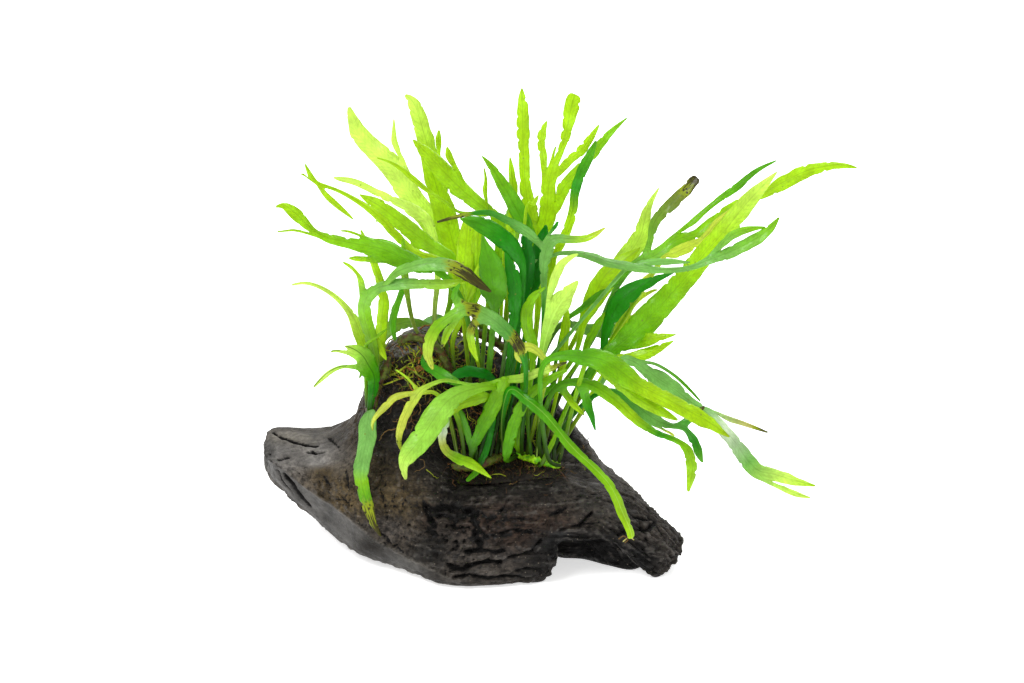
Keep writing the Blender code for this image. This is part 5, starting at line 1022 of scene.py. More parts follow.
@dataclass(frozen=True)
class Effects:
    """The surface effects that several finishes share, each a node group."""

    mottle: bpy.types.NodeTree
    fibre: bpy.types.NodeTree
    fleck: bpy.types.NodeTree

    @classmethod
    def make(cls) -> "Effects":
        """Build the node groups once."""
        return cls(cls.make_mottle(), cls.make_fibre(), cls.make_fleck())

    @staticmethod
    def make_mottle() -> bpy.types.NodeTree:
        """Soft blotches: where they lie and how dark the surface is there."""
        tree, graph, source, sink = new_group(
            "mottle",
            (("Vector", "NodeSocketVector", None), ("Size", "NodeSocketFloat", 5.0),
             ("Darkest", "NodeSocketFloat", 0.7), ("Lightest", "NodeSocketFloat", 1.15)),
            (("Mask", "NodeSocketFloat"), ("Shade", "NodeSocketFloat")))
        scale = graph.math("DIVIDE", 1.0, source.outputs["Size"])
        mask = graph.spread(graph.noise(source.outputs["Vector"], scale, 4.0, 0.6), 0.3, 0.7)
        span = graph.math("SUBTRACT", source.outputs["Lightest"], source.outputs["Darkest"])
        shade = graph.math("ADD", graph.math("MULTIPLY", mask, span), source.outputs["Darkest"])
        graph.feed(sink.inputs["Mask"], mask)
        graph.feed(sink.inputs["Shade"], shade)
        return tree

    @staticmethod
    def make_fibre() -> bpy.types.NodeTree:
        """Fine fibres that run along the first axis of a vector, as a height."""
        tree, graph, source, sink = new_group(
            "fibre",
            (("Vector", "NodeSocketVector", None), ("Width", "NodeSocketFloat", 0.5),
             ("Stretch", "NodeSocketFloat", 10.0)),
            (("Height", "NodeSocketFloat"), ("Groove", "NodeSocketFloat")))
        parts = graph.node("ShaderNodeSeparateXYZ")
        graph.feed(parts.inputs[0], source.outputs["Vector"])
        joined = graph.node("ShaderNodeCombineXYZ")
        graph.feed(joined.inputs[0], graph.math("DIVIDE", parts.outputs[0], source.outputs["Stretch"]))
        graph.feed(joined.inputs[1], parts.outputs[1])
        graph.feed(joined.inputs[2], parts.outputs[2])
        scale = graph.math("DIVIDE", 1.0, source.outputs["Width"])
        height = graph.noise(joined.outputs[0], scale, 5.0, 0.65)
        graph.feed(sink.inputs["Height"], height)
        graph.feed(sink.inputs["Groove"], graph.spread(height, 0.36, 0.5, 1.0, 0.0))
        return tree

    @staticmethod
    def make_fleck() -> bpy.types.NodeTree:
        """Small separate spots, as a mask."""
        tree, graph, source, sink = new_group(
            "fleck",
            (("Vector", "NodeSocketVector", None), ("Spacing", "NodeSocketFloat", 2.0),
             ("Size", "NodeSocketFloat", 0.2), ("Share", "NodeSocketFloat", 0.4)),
            (("Mask", "NodeSocketFloat"),))
        cells = graph.node("ShaderNodeTexVoronoi")
        graph.feed(cells.inputs["Vector"], source.outputs["Vector"])
        graph.feed(cells.inputs["Scale"], graph.math("DIVIDE", 1.0, source.outputs["Spacing"]))
        near = graph.math("LESS_THAN", cells.outputs["Distance"], source.outputs["Size"])
        parts = graph.node("ShaderNodeSeparateColor")
        graph.feed(parts.inputs[0], cells.outputs["Color"])
        some = graph.math("LESS_THAN", parts.outputs[0], source.outputs["Share"])
        graph.feed(sink.inputs["Mask"], graph.math("MULTIPLY", near, some))
        return tree


def start_material(name: str, viewport: tuple) -> tuple:
    """An empty node material.

    Args:
        name: the material's name.
        viewport: the plain colour that stands for it.

    Returns:
        The material, its graph, its Principled shader and its output node.
    """
    material = bpy.data.materials.new(name)
    material.use_nodes = True
    material.diffuse_color = (*viewport, 1.0)
    graph = Graph(material.node_tree)
    shader = material.node_tree.nodes["Principled BSDF"]
    return material, graph, shader, material.node_tree.nodes["Material Output"]


@dataclass(frozen=True)
class LeafFinish:
    """Living fern blade: translucent, streaked along its length, and olive and brown where it wilts."""

    effects: Effects
    see_through: float = 0.45
    coat: float = 0.08
    bump: float = 0.4

    def make(self) -> bpy.types.Material:
        """Build the material.

        Returns:
            The material, which reads tone, along, rib, ribtone and wilt from each blade.
        """
        material, graph, shader, output = start_material("fern_blade", Tone.LIME.value)
        spot = graph.place_mm()
        rib, along = graph.attribute("rib"), graph.attribute("along")
        lengthwise = graph.node("ShaderNodeCombineXYZ")
        graph.feed(lengthwise.inputs[0], along)
        graph.feed(lengthwise.inputs[1], rib)
        streak = graph.group(self.effects.fibre, Vector=lengthwise.outputs[0], Width=0.5, Stretch=16.0)
        mottle = graph.group(self.effects.mottle, Vector=spot, Size=7.0, Darkest=0.84, Lightest=1.10)
        grain = graph.group(self.effects.mottle, Vector=spot, Size=1.1, Darkest=0.93, Lightest=1.05)
        colour = graph.mix(1.0, graph.attribute("tone", "Color"), mottle.outputs["Shade"], "MULTIPLY")
        colour = graph.mix(1.0, colour, grain.outputs["Shade"], "MULTIPLY")
        streak_shade = graph.spread(streak.outputs["Height"], 0.32, 0.68, 0.86, 1.08)
        colour = graph.mix(1.0, colour, streak_shade, "MULTIPLY")
        from_rib = graph.math("ABSOLUTE", rib)
        vein_line = graph.math("SUBTRACT", along, graph.math("MULTIPLY", from_rib, 1.3))
        vein_line = graph.math("ADD", graph.math("MULTIPLY", vein_line, 2.6), graph.math("MULTIPLY", mottle.outputs["Mask"], 3.0))
        vein = graph.spread(graph.math("SINE", vein_line), 0.55, 1.0)
        vein = graph.math("MULTIPLY", vein, graph.spread(from_rib, 0.3, 0.9))
        colour = graph.mix(graph.math("MULTIPLY", vein, 0.14), colour, Tone.DEEP)
        on_rib = graph.spread(from_rib, 0.08, 0.3, 1.0, 0.0)
        ribtone = graph.attribute("ribtone")
        dark_rib = graph.math("MULTIPLY", on_rib, graph.math("MULTIPLY", ribtone, -0.8), clamp=True)
        pale_rib = graph.math("MULTIPLY", on_rib, graph.math("MULTIPLY", ribtone, 0.7), clamp=True)
        colour = graph.mix(dark_rib, colour, (0.03, 0.14, 0.004))
        colour = graph.mix(pale_rib, colour, (0.60, 0.88, 0.16))
        wilt = graph.math("ADD", graph.attribute("wilt"), graph.math("SUBTRACT", streak.outputs["Height"], 0.5))
        wilted = graph.spread(wilt, 0.15, 0.4)
        colour = graph.mix(wilted, colour, (0.33, 0.40, 0.015))
        browned = graph.math("ADD", wilt, graph.math("MULTIPLY", graph.spread(streak.outputs["Height"], 0.42, 0.6), 0.35))
        colour = graph.mix(graph.spread(browned, 0.7, 0.95), colour, (0.06, 0.052, 0.009))
        rot = graph.group(self.effects.fleck, Vector=spot, Spacing=1.5, Size=0.34, Share=0.55)
        rot_mask = graph.math("MULTIPLY", rot.outputs["Mask"], graph.spread(wilt, 0.1, 0.5))
        colour = graph.mix(rot_mask, colour, (0.035, 0.028, 0.006))
        dots = graph.group(self.effects.fleck, Vector=spot, Spacing=3.0, Size=0.13, Share=0.16)
        colour = graph.mix(graph.math("MULTIPLY", dots.outputs["Mask"], 0.7), colour, Tone.OLIVE)
        rise = graph.math("ADD", graph.math("MULTIPLY", streak.outputs["Height"], 0.5), grain.outputs["Mask"])
        rise = graph.math("SUBTRACT", rise, graph.math("MULTIPLY", on_rib, 0.9))
        rise = graph.math("SUBTRACT", rise, graph.math("MULTIPLY", vein, 0.5))
        bump = graph.node("ShaderNodeBump")
        bump.inputs["Strength"].default_value = self.bump
        bump.inputs["Distance"].default_value = 0.3 * MM
        graph.feed(bump.inputs["Height"], rise)
        graph.feed(shader.inputs["Base Color"], colour)
        graph.feed(shader.inputs["Normal"], bump.outputs[0])
        graph.feed(shader.inputs["Roughness"], graph.spread(mottle.outputs["Mask"], 0.0, 1.0, 0.34, 0.5))
        shader.inputs["Specular IOR Level"].default_value = 0.18
        graph.feed(shader.inputs["Coat Weight"], graph.spread(mottle.outputs["Mask"], 0.55, 0.75, self.coat, 0.4))
        shader.inputs["Coat Roughness"].default_value = 0.14
        glow = graph.node("ShaderNodeBsdfTranslucent")
        graph.feed(glow.inputs["Color"], graph.mix(0.12, colour, (0.75, 1.0, 0.02)))
        blend = graph.node("ShaderNodeMixShader")
        blend.inputs[0].default_value = self.see_through
        graph.feed(blend.inputs[1], shader.outputs[0])
        graph.feed(blend.inputs[2], glow.outputs[0])
        graph.feed(output.inputs["Surface"], blend.outputs[0])
        return material


@dataclass(frozen=True)
class WoodFinish:
    """Wet dark driftwood: its tones are laid on the wood, and grain, speckles and the black painted shade of cracks and
    pits are added here.
    """

    effects: Effects
    bump: float = 0.8

    def make(self) -> bpy.types.Material:
        """Build the material.

        Returns:
            The material, which reads tint, cavity and worn from the wood.
        """
        material, graph, shader, _ = start_material("wet_driftwood", Tone.WOOD_MID.value)
        spot = graph.place_mm()
        fine = graph.group(self.effects.fibre, Vector=spot, Width=0.55, Stretch=12.0)
        coarse = graph.group(self.effects.fibre, Vector=spot, Width=2.2, Stretch=7.0)
        mottle = graph.group(self.effects.mottle, Vector=spot, Size=11.0, Darkest=0.62, Lightest=1.4)
        small = graph.group(self.effects.mottle, Vector=spot, Size=1.7, Darkest=0.34, Lightest=1.6)
        recess_shade_and_wear, worn = graph.attribute("recess_shade_and_wear"), graph.attribute("worn")
        rough = graph.math("SUBTRACT", 1.0, graph.math("MULTIPLY", worn, 0.65))
        colour = graph.mix(1.0, graph.attribute("tint", "Color"), mottle.outputs["Shade"], "MULTIPLY")
        shaded = graph.mix(1.0, colour, small.outputs["Shade"], "MULTIPLY")
        colour = graph.mix(rough, colour, shaded)
        # Paler grey on raised worn fibres, and a painted highlight along the crease
        pale = graph.math("ADD", recess_shade_and_wear, graph.math("MULTIPLY", fine.outputs["Height"], 0.5))
        pale = graph.math("MULTIPLY", graph.spread(pale, 0.88, 1.12), 0.28)
        colour = graph.mix(pale, colour, (0.15, 0.135, 0.12))
        # Painted shade: furrows, pits and cracks turn near black
        black = graph.math("ADD", recess_shade_and_wear, graph.math("MULTIPLY", graph.math("SUBTRACT", fine.outputs["Height"], 0.5), 0.7))
        colour = graph.mix(graph.spread(black, 0.12, 0.42, 1.0, 0.0), colour, (0.004, 0.0035, 0.003))
        speck = graph.group(self.effects.fleck, Vector=spot, Spacing=1.3, Size=0.2, Share=0.12)
        speck = graph.math("MULTIPLY", graph.math("MULTIPLY", speck.outputs["Mask"], rough), 0.5)
        colour = graph.mix(speck, colour, (0.20, 0.17, 0.13))
        rise = graph.math("ADD", graph.math("MULTIPLY", fine.outputs["Height"], 0.55), coarse.outputs["Height"])
        rise = graph.math("SUBTRACT", rise, graph.math("MULTIPLY", coarse.outputs["Groove"], 0.6))
        rise = graph.math("ADD", rise, graph.math("MULTIPLY", small.outputs["Mask"], 0.35))
        rise = graph.math("MULTIPLY", rise, rough)
        bump = graph.node("ShaderNodeBump")
        bump.inputs["Strength"].default_value = self.bump
        bump.inputs["Distance"].default_value = 1.2 * MM
        graph.feed(bump.inputs["Height"], rise)
        graph.feed(shader.inputs["Base Color"], colour)
        graph.feed(shader.inputs["Normal"], bump.outputs[0])
        graph.feed(shader.inputs["Roughness"], graph.spread(small.outputs["Mask"], 0.0, 1.0, 0.40, 0.62))
        shader.inputs["Specular IOR Level"].default_value = 0.15
        graph.feed(shader.inputs["Coat Weight"], graph.spread(coarse.outputs["Height"], 0.5, 0.75, 0.0, 0.3))
        shader.inputs["Coat Roughness"].default_value = 0.3
        return material


@dataclass(frozen=True)
class ThreadFinish:
    """Moss, old stalks, roots and hairs, each strand in its own tone."""

    effects: Effects
    name: str
    roughness: float = 0.7

    def make(self) -> bpy.types.Material:
        """Build the material, which reads tone from each strand."""
        material, graph, shader, _ = start_material(self.name, Tone.MOSS_GREEN.value)
        spot = graph.place_mm()
        mottle = graph.group(self.effects.mottle, Vector=spot, Size=1.6, Darkest=0.55, Lightest=1.3)
        fibre = graph.group(self.effects.fibre, Vector=spot, Width=0.35, Stretch=3.0)
        colour = graph.mix(1.0, graph.attribute("tone", "Color"), mottle.outputs["Shade"], "MULTIPLY")
        bump = graph.node("ShaderNodeBump")
        bump.inputs["Strength"].default_value = 0.4
        bump.inputs["Distance"].default_value = 0.3 * MM
        graph.feed(bump.inputs["Height"], fibre.outputs["Height"])
        graph.feed(shader.inputs["Base Color"], colour)
        graph.feed(shader.inputs["Normal"], bump.outputs[0])
        graph.feed(shader.inputs["Roughness"], graph.spread(fibre.outputs["Height"], 0.2, 0.8, self.roughness - 0.15,
                                                            self.roughness + 0.1))
        shader.inputs["Specular IOR Level"].default_value = 0.25
        return material


@dataclass
class Driftwood:
    """The driftwood as one seamless piece, with its grain, cracks, pits and worn faces."""

    material: bpy.types.Material
    rings_per_section: int = 15
    points_per_span: int = 20
    lump_height: float = 1.6
    lump_size: float = 14.0
    cap_rings: int = 12
    # Width, depth and the places in the picture of each crack on the side that the photo shows
    cracks: tuple = (
        (1.0, 2.2, ((-80, 64.6), (-75, 62.8), (-70, 61.2), (-66, 60.2), (-62, 59.4))),
        (0.5, 1.4, ((-66, 57), (-62.4, 55.6), (-59, 56))),
        (0.5, 1.2, ((-57, 62), (-53, 58), (-51, 52))),
        (0.9, 2.2, ((-63.6, 57.2), (-62, 56))),
        (1.2, 2.8, ((-75.6, 45.4), (-72.8, 42), (-69.6, 37), (-66, 32.4))),
        (0.8, 2.0, ((-78.4, 47), (-76.4, 42.4), (-73.4, 38))),
        (0.5, 1.4, ((-81.6, 55), (-77, 52.6), (-73.6, 53.6))),
        (0.5, 1.2, ((-58.8, 45.6), (-56.4, 42))),
        (0.5, 1.4, ((-53.6, 36), (-50, 35.6), (-47.2, 34))),
        (1.3, 3.0, ((-18, 32), (-14.8, 26))),
        (1.1, 2.4, ((-7.2, 34), (-1, 32), (3.2, 31.2))),
        (0.6, 1.6, ((15.2, 36), (11, 31), (7.2, 27.2))),
        (0.8, 2.6, ((1.6, 10.4), (7, 11.4), (12, 10.8))),
        (0.7, 2.0, ((15.2, 12.8), (24.8, 15.2), (28, 19.6))),
        (0.7, 2.0, ((44, 25.6), (47, 29.4), (49.6, 32))),
        (0.5, 1.5, ((32, 29.6), (38.4, 32.8))),
        (0.5, 1.0, ((-28, 48), (-27, 42), (-26, 36))),
        (0.5, 1.0, ((-36, 40), (-34.6, 34), (-33.6, 28))),
        (0.5, 1.1, ((-50, 48), (-49, 43), (-48, 38))),
        (0.5, 1.6, ((16.8, 7.2), (22, 8.6), (28, 8.4))),
        (0.5, 1.1, ((36, 24), (44, 26.4), (52, 27.2))),
        (0.5, 1.3, ((72, 29.6), (77.6, 22), (80.8, 13.6))),
        (0.5, 1.2, ((76, 30.4), (81.6, 23.2), (84, 16))),
        (0.5, 1.2, ((68, 27.2), (70, 22), (72, 18))),
        (0.5, 1.2, ((-40, 26), (-32, 18), (-24, 12))),
        (0.5, 1.0, ((-8, 22), (4, 20), (16, 22))),
        (1.4, 3.0, ((-19, 33.4), (-15, 31.6), (-11, 34), (-8, 32.6))),
        (0.9, 2.2, ((-16.4, 29.4), (-11, 30.4), (-5.6, 28.2))),
        (1.2, 2.8, ((1.6, 29), (3.2, 25), (2.4, 21.4), (4, 18.4))),
        (0.7, 2.0, ((4.8, 31), (7, 29), (9.4, 30))),
        (0.9, 2.4, ((-9.4, 9.4), (-3, 8.2), (1, 9.4))),
        (0.8, 2.2, ((-6.4, 5.2), (0, 6.4), (7, 4.6), (14, 5.6), (23, 4.6))),
        (0.8, 2.2, ((-2, 14.6), (4, 15.8), (10, 14.4), (14, 15.4))),
        (0.5, 1.4, ((10, 27.6), (18, 29), (27, 28.2))),
        (0.5, 1.4, ((9, 22.4), (17, 24), (26, 22.8))),
        (0.9, 2.4, ((60, 22), (64, 25), (70, 24), (74, 26.6))),
        (0.8, 2.2, ((56, 36), (62, 33.6), (66, 29.4), (74, 27.6))),
    )
    # The edge that the smooth lower cut on the left meets the rough wood in, as it is seen
    crease: tuple = ((-90, 58), (-74.8, 47), (-68, 41.2), (-55.2, 33.2), (-38, 19.2), (-24, 12), (-8, 4.4), (90, -30))
    # Place, reach and tone of the wood's patches on the side that the photo shows. The pale and grey patches on the
    # arm's top are painted light and a painted highlight, and the black patches high in the hollow under the leaves
    # are painted shade.
    patches: tuple = (
        (-74, 52, 22, 10, Tone.WOOD_PALE), (-82, 52, 4, 12, Tone.WOOD_SLATE), (-60, 45, 12, 7, Tone.WOOD_BROWN),
        (-72, 63, 14, 2.5, Tone.WOOD_GREY), (-53, 38, 12, 8, Tone.WOOD_BROWN), (-38, 48, 10, 18, Tone.WOOD_BROWN),
        (-28, 36, 12, 12, Tone.WOOD_BROWN), (-16, 29, 4, 4, Tone.WOOD_RUST), (-8, 15, 12, 8, Tone.WOOD_MID),
        (-34, 24, 10, 5, Tone.WOOD_MID), (18, 24, 12, 5, Tone.WOOD_RUST), (44, 27, 9, 4, Tone.WOOD_MID),
        (80, 26, 8, 14, Tone.WOOD_DARK), (-22, 99, 16, 6, Tone.WOOD_GREY), (-44, 76, 6, 16, Tone.WOOD_BROWN),
        (56, 52, 8, 16, Tone.WOOD_GREY), (14, 60, 30, 17, Tone.WOOD_BLACK), (-14, 78, 16, 12, Tone.WOOD_BLACK),
        (-6, 32, 10, 6, Tone.WOOD_BLACK), (44, 19, 22, 5, Tone.WOOD_BLACK), (14, 43, 28, 5, Tone.WOOD_BLACK),
        (20, 26, 26, 8, Tone.WOOD_RUST), (-16, 16, 8, 6, Tone.WOOD_BLACK), (62, 14, 16, 8, Tone.WOOD_BLACK),
        (-29, 68, 15, 14, Tone.WOOD_BLACK), (-2, 56, 26, 12, Tone.WOOD_BLACK), (52, 44, 14, 12, Tone.WOOD_DARK),
        (-16, 101, 16, 4, Tone.WOOD_PALE), (-64, 52.5, 7, 2.4, Tone.WOOD_PALE), (46, 15, 17, 8, Tone.WOOD_PIT),
        (65, 12, 12, 8, Tone.WOOD_PIT), (38, 19, 11, 5, Tone.WOOD_PIT), (57, 16, 13, 5, Tone.WOOD_PIT),
        (82, 16, 4, 8, Tone.WOOD_DARK), (76, 24, 9, 7, Tone.WOOD_DARK))
    back_cracks: int = 26
    seed: int = 7

    def rings(self) -> np.ndarray:
        """Rings of points over the whole driftwood, as an array of rings, points and xyz."""
        sections = np.array([[(x, y, z) for y, z in outline] for x, outline in WOOD_SECTIONS], dtype=float)
        last = len(sections) - 1
        along = []
        for i in range(last):
            four = sections[max(i - 1, 0)], sections[i], sections[i + 1], sections[min(i + 2, last)]
            along += [catmull_rom(*four, k / self.rings_per_section) for k in range(self.rings_per_section)]
        along.append(sections[last])
        rings = np.array(along)
        around = []
        count = rings.shape[1]
        for j in range(count):
            four = [rings[:, (j + step) % count] for step in (-1, 0, 1, 2)]
            around += [catmull_rom(*four, k / self.points_per_span) for k in range(self.points_per_span)]
        return np.stack(around, axis=1)

    def capped(self, rings: np.ndarray) -> np.ndarray:
        """The rings with more of them at each end, drawing in to a rounded, broken tip."""
        ends = []
        for ring, outward in ((rings[0], -1), (rings[-1], 1)):
            middle = ring.mean(axis=0)
            extra = []
            for k in range(1, self.cap_rings + 1):
                turn = k / self.cap_rings * math.pi / 2
                shrunk = middle + (ring - middle) * max(math.cos(turn), 0.02)
                shrunk[:, 0] = ring[:, 0] + outward * 2.2 * math.sin(turn)
                extra.append(shrunk)
            ends.append(extra)
        return np.concatenate([np.array(ends[0][::-1]), rings, np.array(ends[1])])

    def normals(self, rings: np.ndarray) -> np.ndarray:
        """The outward direction at each point of the rings."""
        ahead = np.roll(rings, -1, axis=1) - np.roll(rings, 1, axis=1)
        outward = np.cross(np.gradient(rings, axis=0), ahead)
        length = np.linalg.norm(outward, axis=2, keepdims=True)
        return outward / np.maximum(length, 1e-9)

    def crack_lines(self, points: np.ndarray, normals: np.ndarray) -> list:
        """The cracks as lines on the wood: those of the photo, and others of the same kind where it can't see.

        Args:
            points: the wood's points, in rows of xyz.
            normals: the outward direction at each.

        Returns:
            Width, depth and points of each line.
        """
        shown = points[np.einsum("ij,ij->i", normals, np.array(VIEW.eye) - points) > 0]
        right, up = VIEW.picture(shown)
        lines = []
        for width, depth, places in self.cracks:
            line = []
            for place_right, place_up in places:
                gap = np.hypot(right - place_right, up - place_up) + np.maximum(shown[:, 1] + 60, 0) * 0.02
                line.append(shown[int(np.argmin(gap))])
            lines.append((width, depth, np.array(line)))
        dice = random.Random(self.seed)
        hidden = points[(normals[:, 1] > 0.1) & (points[:, 2] > 6)]
        for _ in range(self.back_cracks):
            start = hidden[dice.randrange(len(hidden))]
            run = np.array((dice.uniform(4, 11), 0.0, dice.uniform(-3, 3)))
            line = [start, start + run, start + run * dice.uniform(1.6, 2.4) + (0, 0, dice.uniform(-2, 2))]
            nearest = [hidden[int(np.argmin(np.linalg.norm(hidden - spot, axis=1)))] for spot in line]
            lines.append((dice.uniform(0.4, 0.9), dice.uniform(1.0, 2.2), np.array(nearest)))
        return lines

    @staticmethod
    def crack_depth(points: np.ndarray, lines: Sequence) -> np.ndarray:
        """How deep the cracks are at each point.

        Args:
            points: rows of xyz.
            lines: width, depth and points of each crack.

        Returns:
            The depth at each point.
        """
        depth = np.zeros(len(points))
        wander = np.array([noise.noise(Vector(point) / 3.0) for point in points]) * 0.6
        for width, deep, line in lines:
            low, high = line.min(axis=0) - 4, line.max(axis=0) + 4
            near = np.where(np.all((points > low) & (points < high), axis=1))[0]
            if not len(near):
                continue
            spots = points[near]
            gap = np.full(len(near), 1e9)
            for start, end in zip(line, line[1:]):
                run = end - start
                share = np.clip((spots - start) @ run / max(run @ run, 1e-9), 0, 1)
                gap = np.minimum(gap, np.linalg.norm(spots - start - share[:, None] * run, axis=1))
            reach = np.maximum(gap + wander[near], 0) / width
            depth[near] = np.maximum(depth[near], deep * np.exp(-reach ** 2 * 1.5))
        return depth

    def tints(self, points: np.ndarray, front: np.ndarray, right: np.ndarray, up: np.ndarray) -> np.ndarray:
        """The wood's tone at each point, before its grain, with the painted light and painted shade of its patches.

        Args:
            points: rows of xyz.
            front: how much each is turned to the viewer, from 0 to 1.
            right: where it is seen, to the right.
            up: where it is seen, upwards.

        Returns:
            Rows of red, green and blue.
        """
        cloud = np.array([noise.fractal(Vector(point) / 22.0, 0.7, 2.0, 3) for point in points])
        share = smooth_steps(cloud, -0.5, 0.5)[:, None]
        behind = np.array(Tone.WOOD_DARK.value) * (1 - share) + np.array(Tone.WOOD_GREY.value) * share
        before = np.array(Tone.WOOD_DARK.value) * (1.1 - 0.5 * share)
        tint = behind + (before - behind) * front[:, None]
        for place_right, place_up, reach_right, reach_up, tone in self.patches:
            weight = np.exp(-((right - place_right) / reach_right) ** 2 - ((up - place_up) / reach_up) ** 2)
            weight = np.clip(1.5 * weight * (0.85 + 0.6 * cloud), 0, 1) * front
            tint += (np.array(tone.value) - tint) * weight[:, None]
        return tint

    def relief(self, points: np.ndarray, normals: np.ndarray) -> dict:
        """How far each point stands off the smooth form, and the marks that the finish reads.

        Args:
            points: rows of xyz.
            normals: the outward direction at each.

        Returns:
            Arrays by name: lift, cavity, worn and tint.
        """
        x, y, z = points.T
        right, up = VIEW.picture(points)
        front = smooth_steps(normals @ -np.array(VIEW.away), -0.1, 0.3)
        below = np.interp(right, *zip(*self.crease)) - up
        cut = front * smooth_steps(below, -0.3, 0.3) * smooth_steps(-right, 0, 14)
        # Painted highlight: a grey line along the crease where the cut meets the rough wood
        edge = front * np.exp(-(below / 0.55) ** 2) * smooth_steps(-right, 6, 14) * smooth_steps(right, -70, -58)
        arm_top = smooth_steps(-x, 44, 56) * smooth_steps(normals[:, 2], 0.3, 0.75)
        crumbly = front * np.exp(-((right + 4) / 24) ** 2) * np.exp(-((up - 24) / 13) ** 2)
        upright = np.exp(-((x + 16) / 26) ** 2) * smooth_steps(z, 18, 36)
        sloping = smooth_steps(np.abs(x - 5), 36, 56) * (1 - upright)
        lump, furrow, fine, pits, gate = (np.empty(len(points)) for _ in range(5))
        for i, (px, py, pz) in enumerate(points):
            lump[i] = noise.fractal(Vector((px / 3.0, py, pz)) / self.lump_size, 1.0, 2.0, 3)
            bend = 1.2 * noise.noise(Vector((px, py, pz)) / 9.0)
            lying = noise.noise(Vector((px / 9.0, py, pz + bend)) / 1.7)
            slant = Vector(((0.77 * px - 0.64 * pz) / 9.0, py, 0.64 * px + 0.77 * pz + bend))
            standing = noise.noise(Vector((px + bend, py, pz / 8.0)) / 1.8 + Vector((7, 3, 1)))
            side = noise.noise(slant / 1.7)
            furrow[i] = (lying + (side - lying) * sloping[i]) * (1 - upright[i]) + standing * upright[i]
            fine[i] = noise.fractal(Vector((px / 1.6, py, pz)) / 1.1, 0.8, 2.1, 2)
            pits[i] = noise.fractal(Vector((px / 1.4, py, pz)) / 3.2, 0.8, 2.0, 3)
            gate[i] = noise.noise(Vector((px, py, pz)) / 8.0 + Vector((0, 5, 0)))
        rough = 1 - np.maximum(cut, 0.75 * arm_top)
        groove = np.exp(-(furrow / 0.06) ** 2) * smooth_steps(gate, -0.35, 0.1)
        pit = smooth_steps(pits, 0.08, 0.42) * np.maximum(crumbly, 0.25 * (1 - front))
        crack = self.crack_depth(points, self.crack_lines(points, normals))
        split = 1 + 1.1 * smooth_steps(x, 52, 66)
        detail = rough * split * (0.45 * furrow + 0.28 * fine - 0.6 * groove) - 2.4 * pit - crack
        facet = -0.9 * cut * (1 - np.exp(-np.maximum(below, 0) / 2.5)) + 0.35 * edge
        jamb = np.exp(-((x - 33) / 4.5) ** 2) * smooth_steps(-z, -22, -14)
        toe = front * smooth_steps(-z, -9, -2)
        lip = 2.2 * np.exp(-((right - 32) / 3) ** 2 - ((up - 13) / 3.5) ** 2) * front
        chips = lip + 2.4 * jamb * pits + 1.5 * toe * (0.6 * pits + 0.6 * furrow)
        foot = np.clip(z / 3.0, 0.0, 1.0)
        slimmer = 0.7 + 1.3 * smooth_steps(-x, 52, 72) * smooth_steps(z, 24, 34)
        lift = (lump * self.lump_height + detail + facet + chips - slimmer) * foot
        # Low in furrows, pits and cracks, which the finish paints near black as shade; high on raised fibres and the
        # crease
        recess_shade_and_wear = 0.6 + rough * (0.25 * fine + 0.35 * furrow - 0.45 * groove) - 0.55 * pit
        recess_shade_and_wear += 0.2 * edge - 0.5 * np.minimum(crack, 1.2)
        worn = np.maximum(cut, arm_top * 0.8)
        tint = self.tints(points, front, right, up)
        # On the cut: its slate grey, strongest to the left, is its worn face and partly a painted sheen; the crease's
        # grey line is a painted highlight; and a near-black spot lies low on the cut
        black_spot_on_cut = cut * np.exp(-((right + 40) / 9) ** 2 - ((up - 17) / 5) ** 2)
        for mask, tone in ((cut * smooth_steps(-right, 4, 30), Tone.WOOD_SLATE), (edge * 0.6, Tone.WOOD_GREY),
                           (black_spot_on_cut, Tone.WOOD_BLACK)):
            tint += (np.array(tone.value) - tint) * mask[:, None]
        return {"lift": lift, "recess_shade_and_wear": recess_shade_and_wear, "worn": worn, "tint": tint}

    def build(self) -> bpy.types.Object:
        """Make the wood.

        Returns:
            The finished piece.
        """
        rings = self.capped(self.rings())
        outward = self.normals(rings)
        count = rings.shape[1]
        points, normals = rings.reshape(-1, 3), outward.reshape(-1, 3)
        marks = self.relief(points, normals)
        points = points + normals * marks.pop("lift")[:, None]
        points[:, 2] = np.maximum(points[:, 2], 0.0)
        base = np.arange(rings.shape[0] - 1)[:, None] * count + np.arange(count)[None, :]
        after = np.roll(base, -1, axis=1)
        faces = np.stack([base, base + count, after + count, after], axis=2).reshape(-1, 4).tolist()
        last = len(points) - count
        faces += [list(range(count)), list(range(last, last + count))[::-1]]
        wood = mesh_object("wood", points, faces, self.material)
        for name, values in marks.items():
            store(wood, name, values)
        return place(wood, "driftwood", WOOD_NODES)


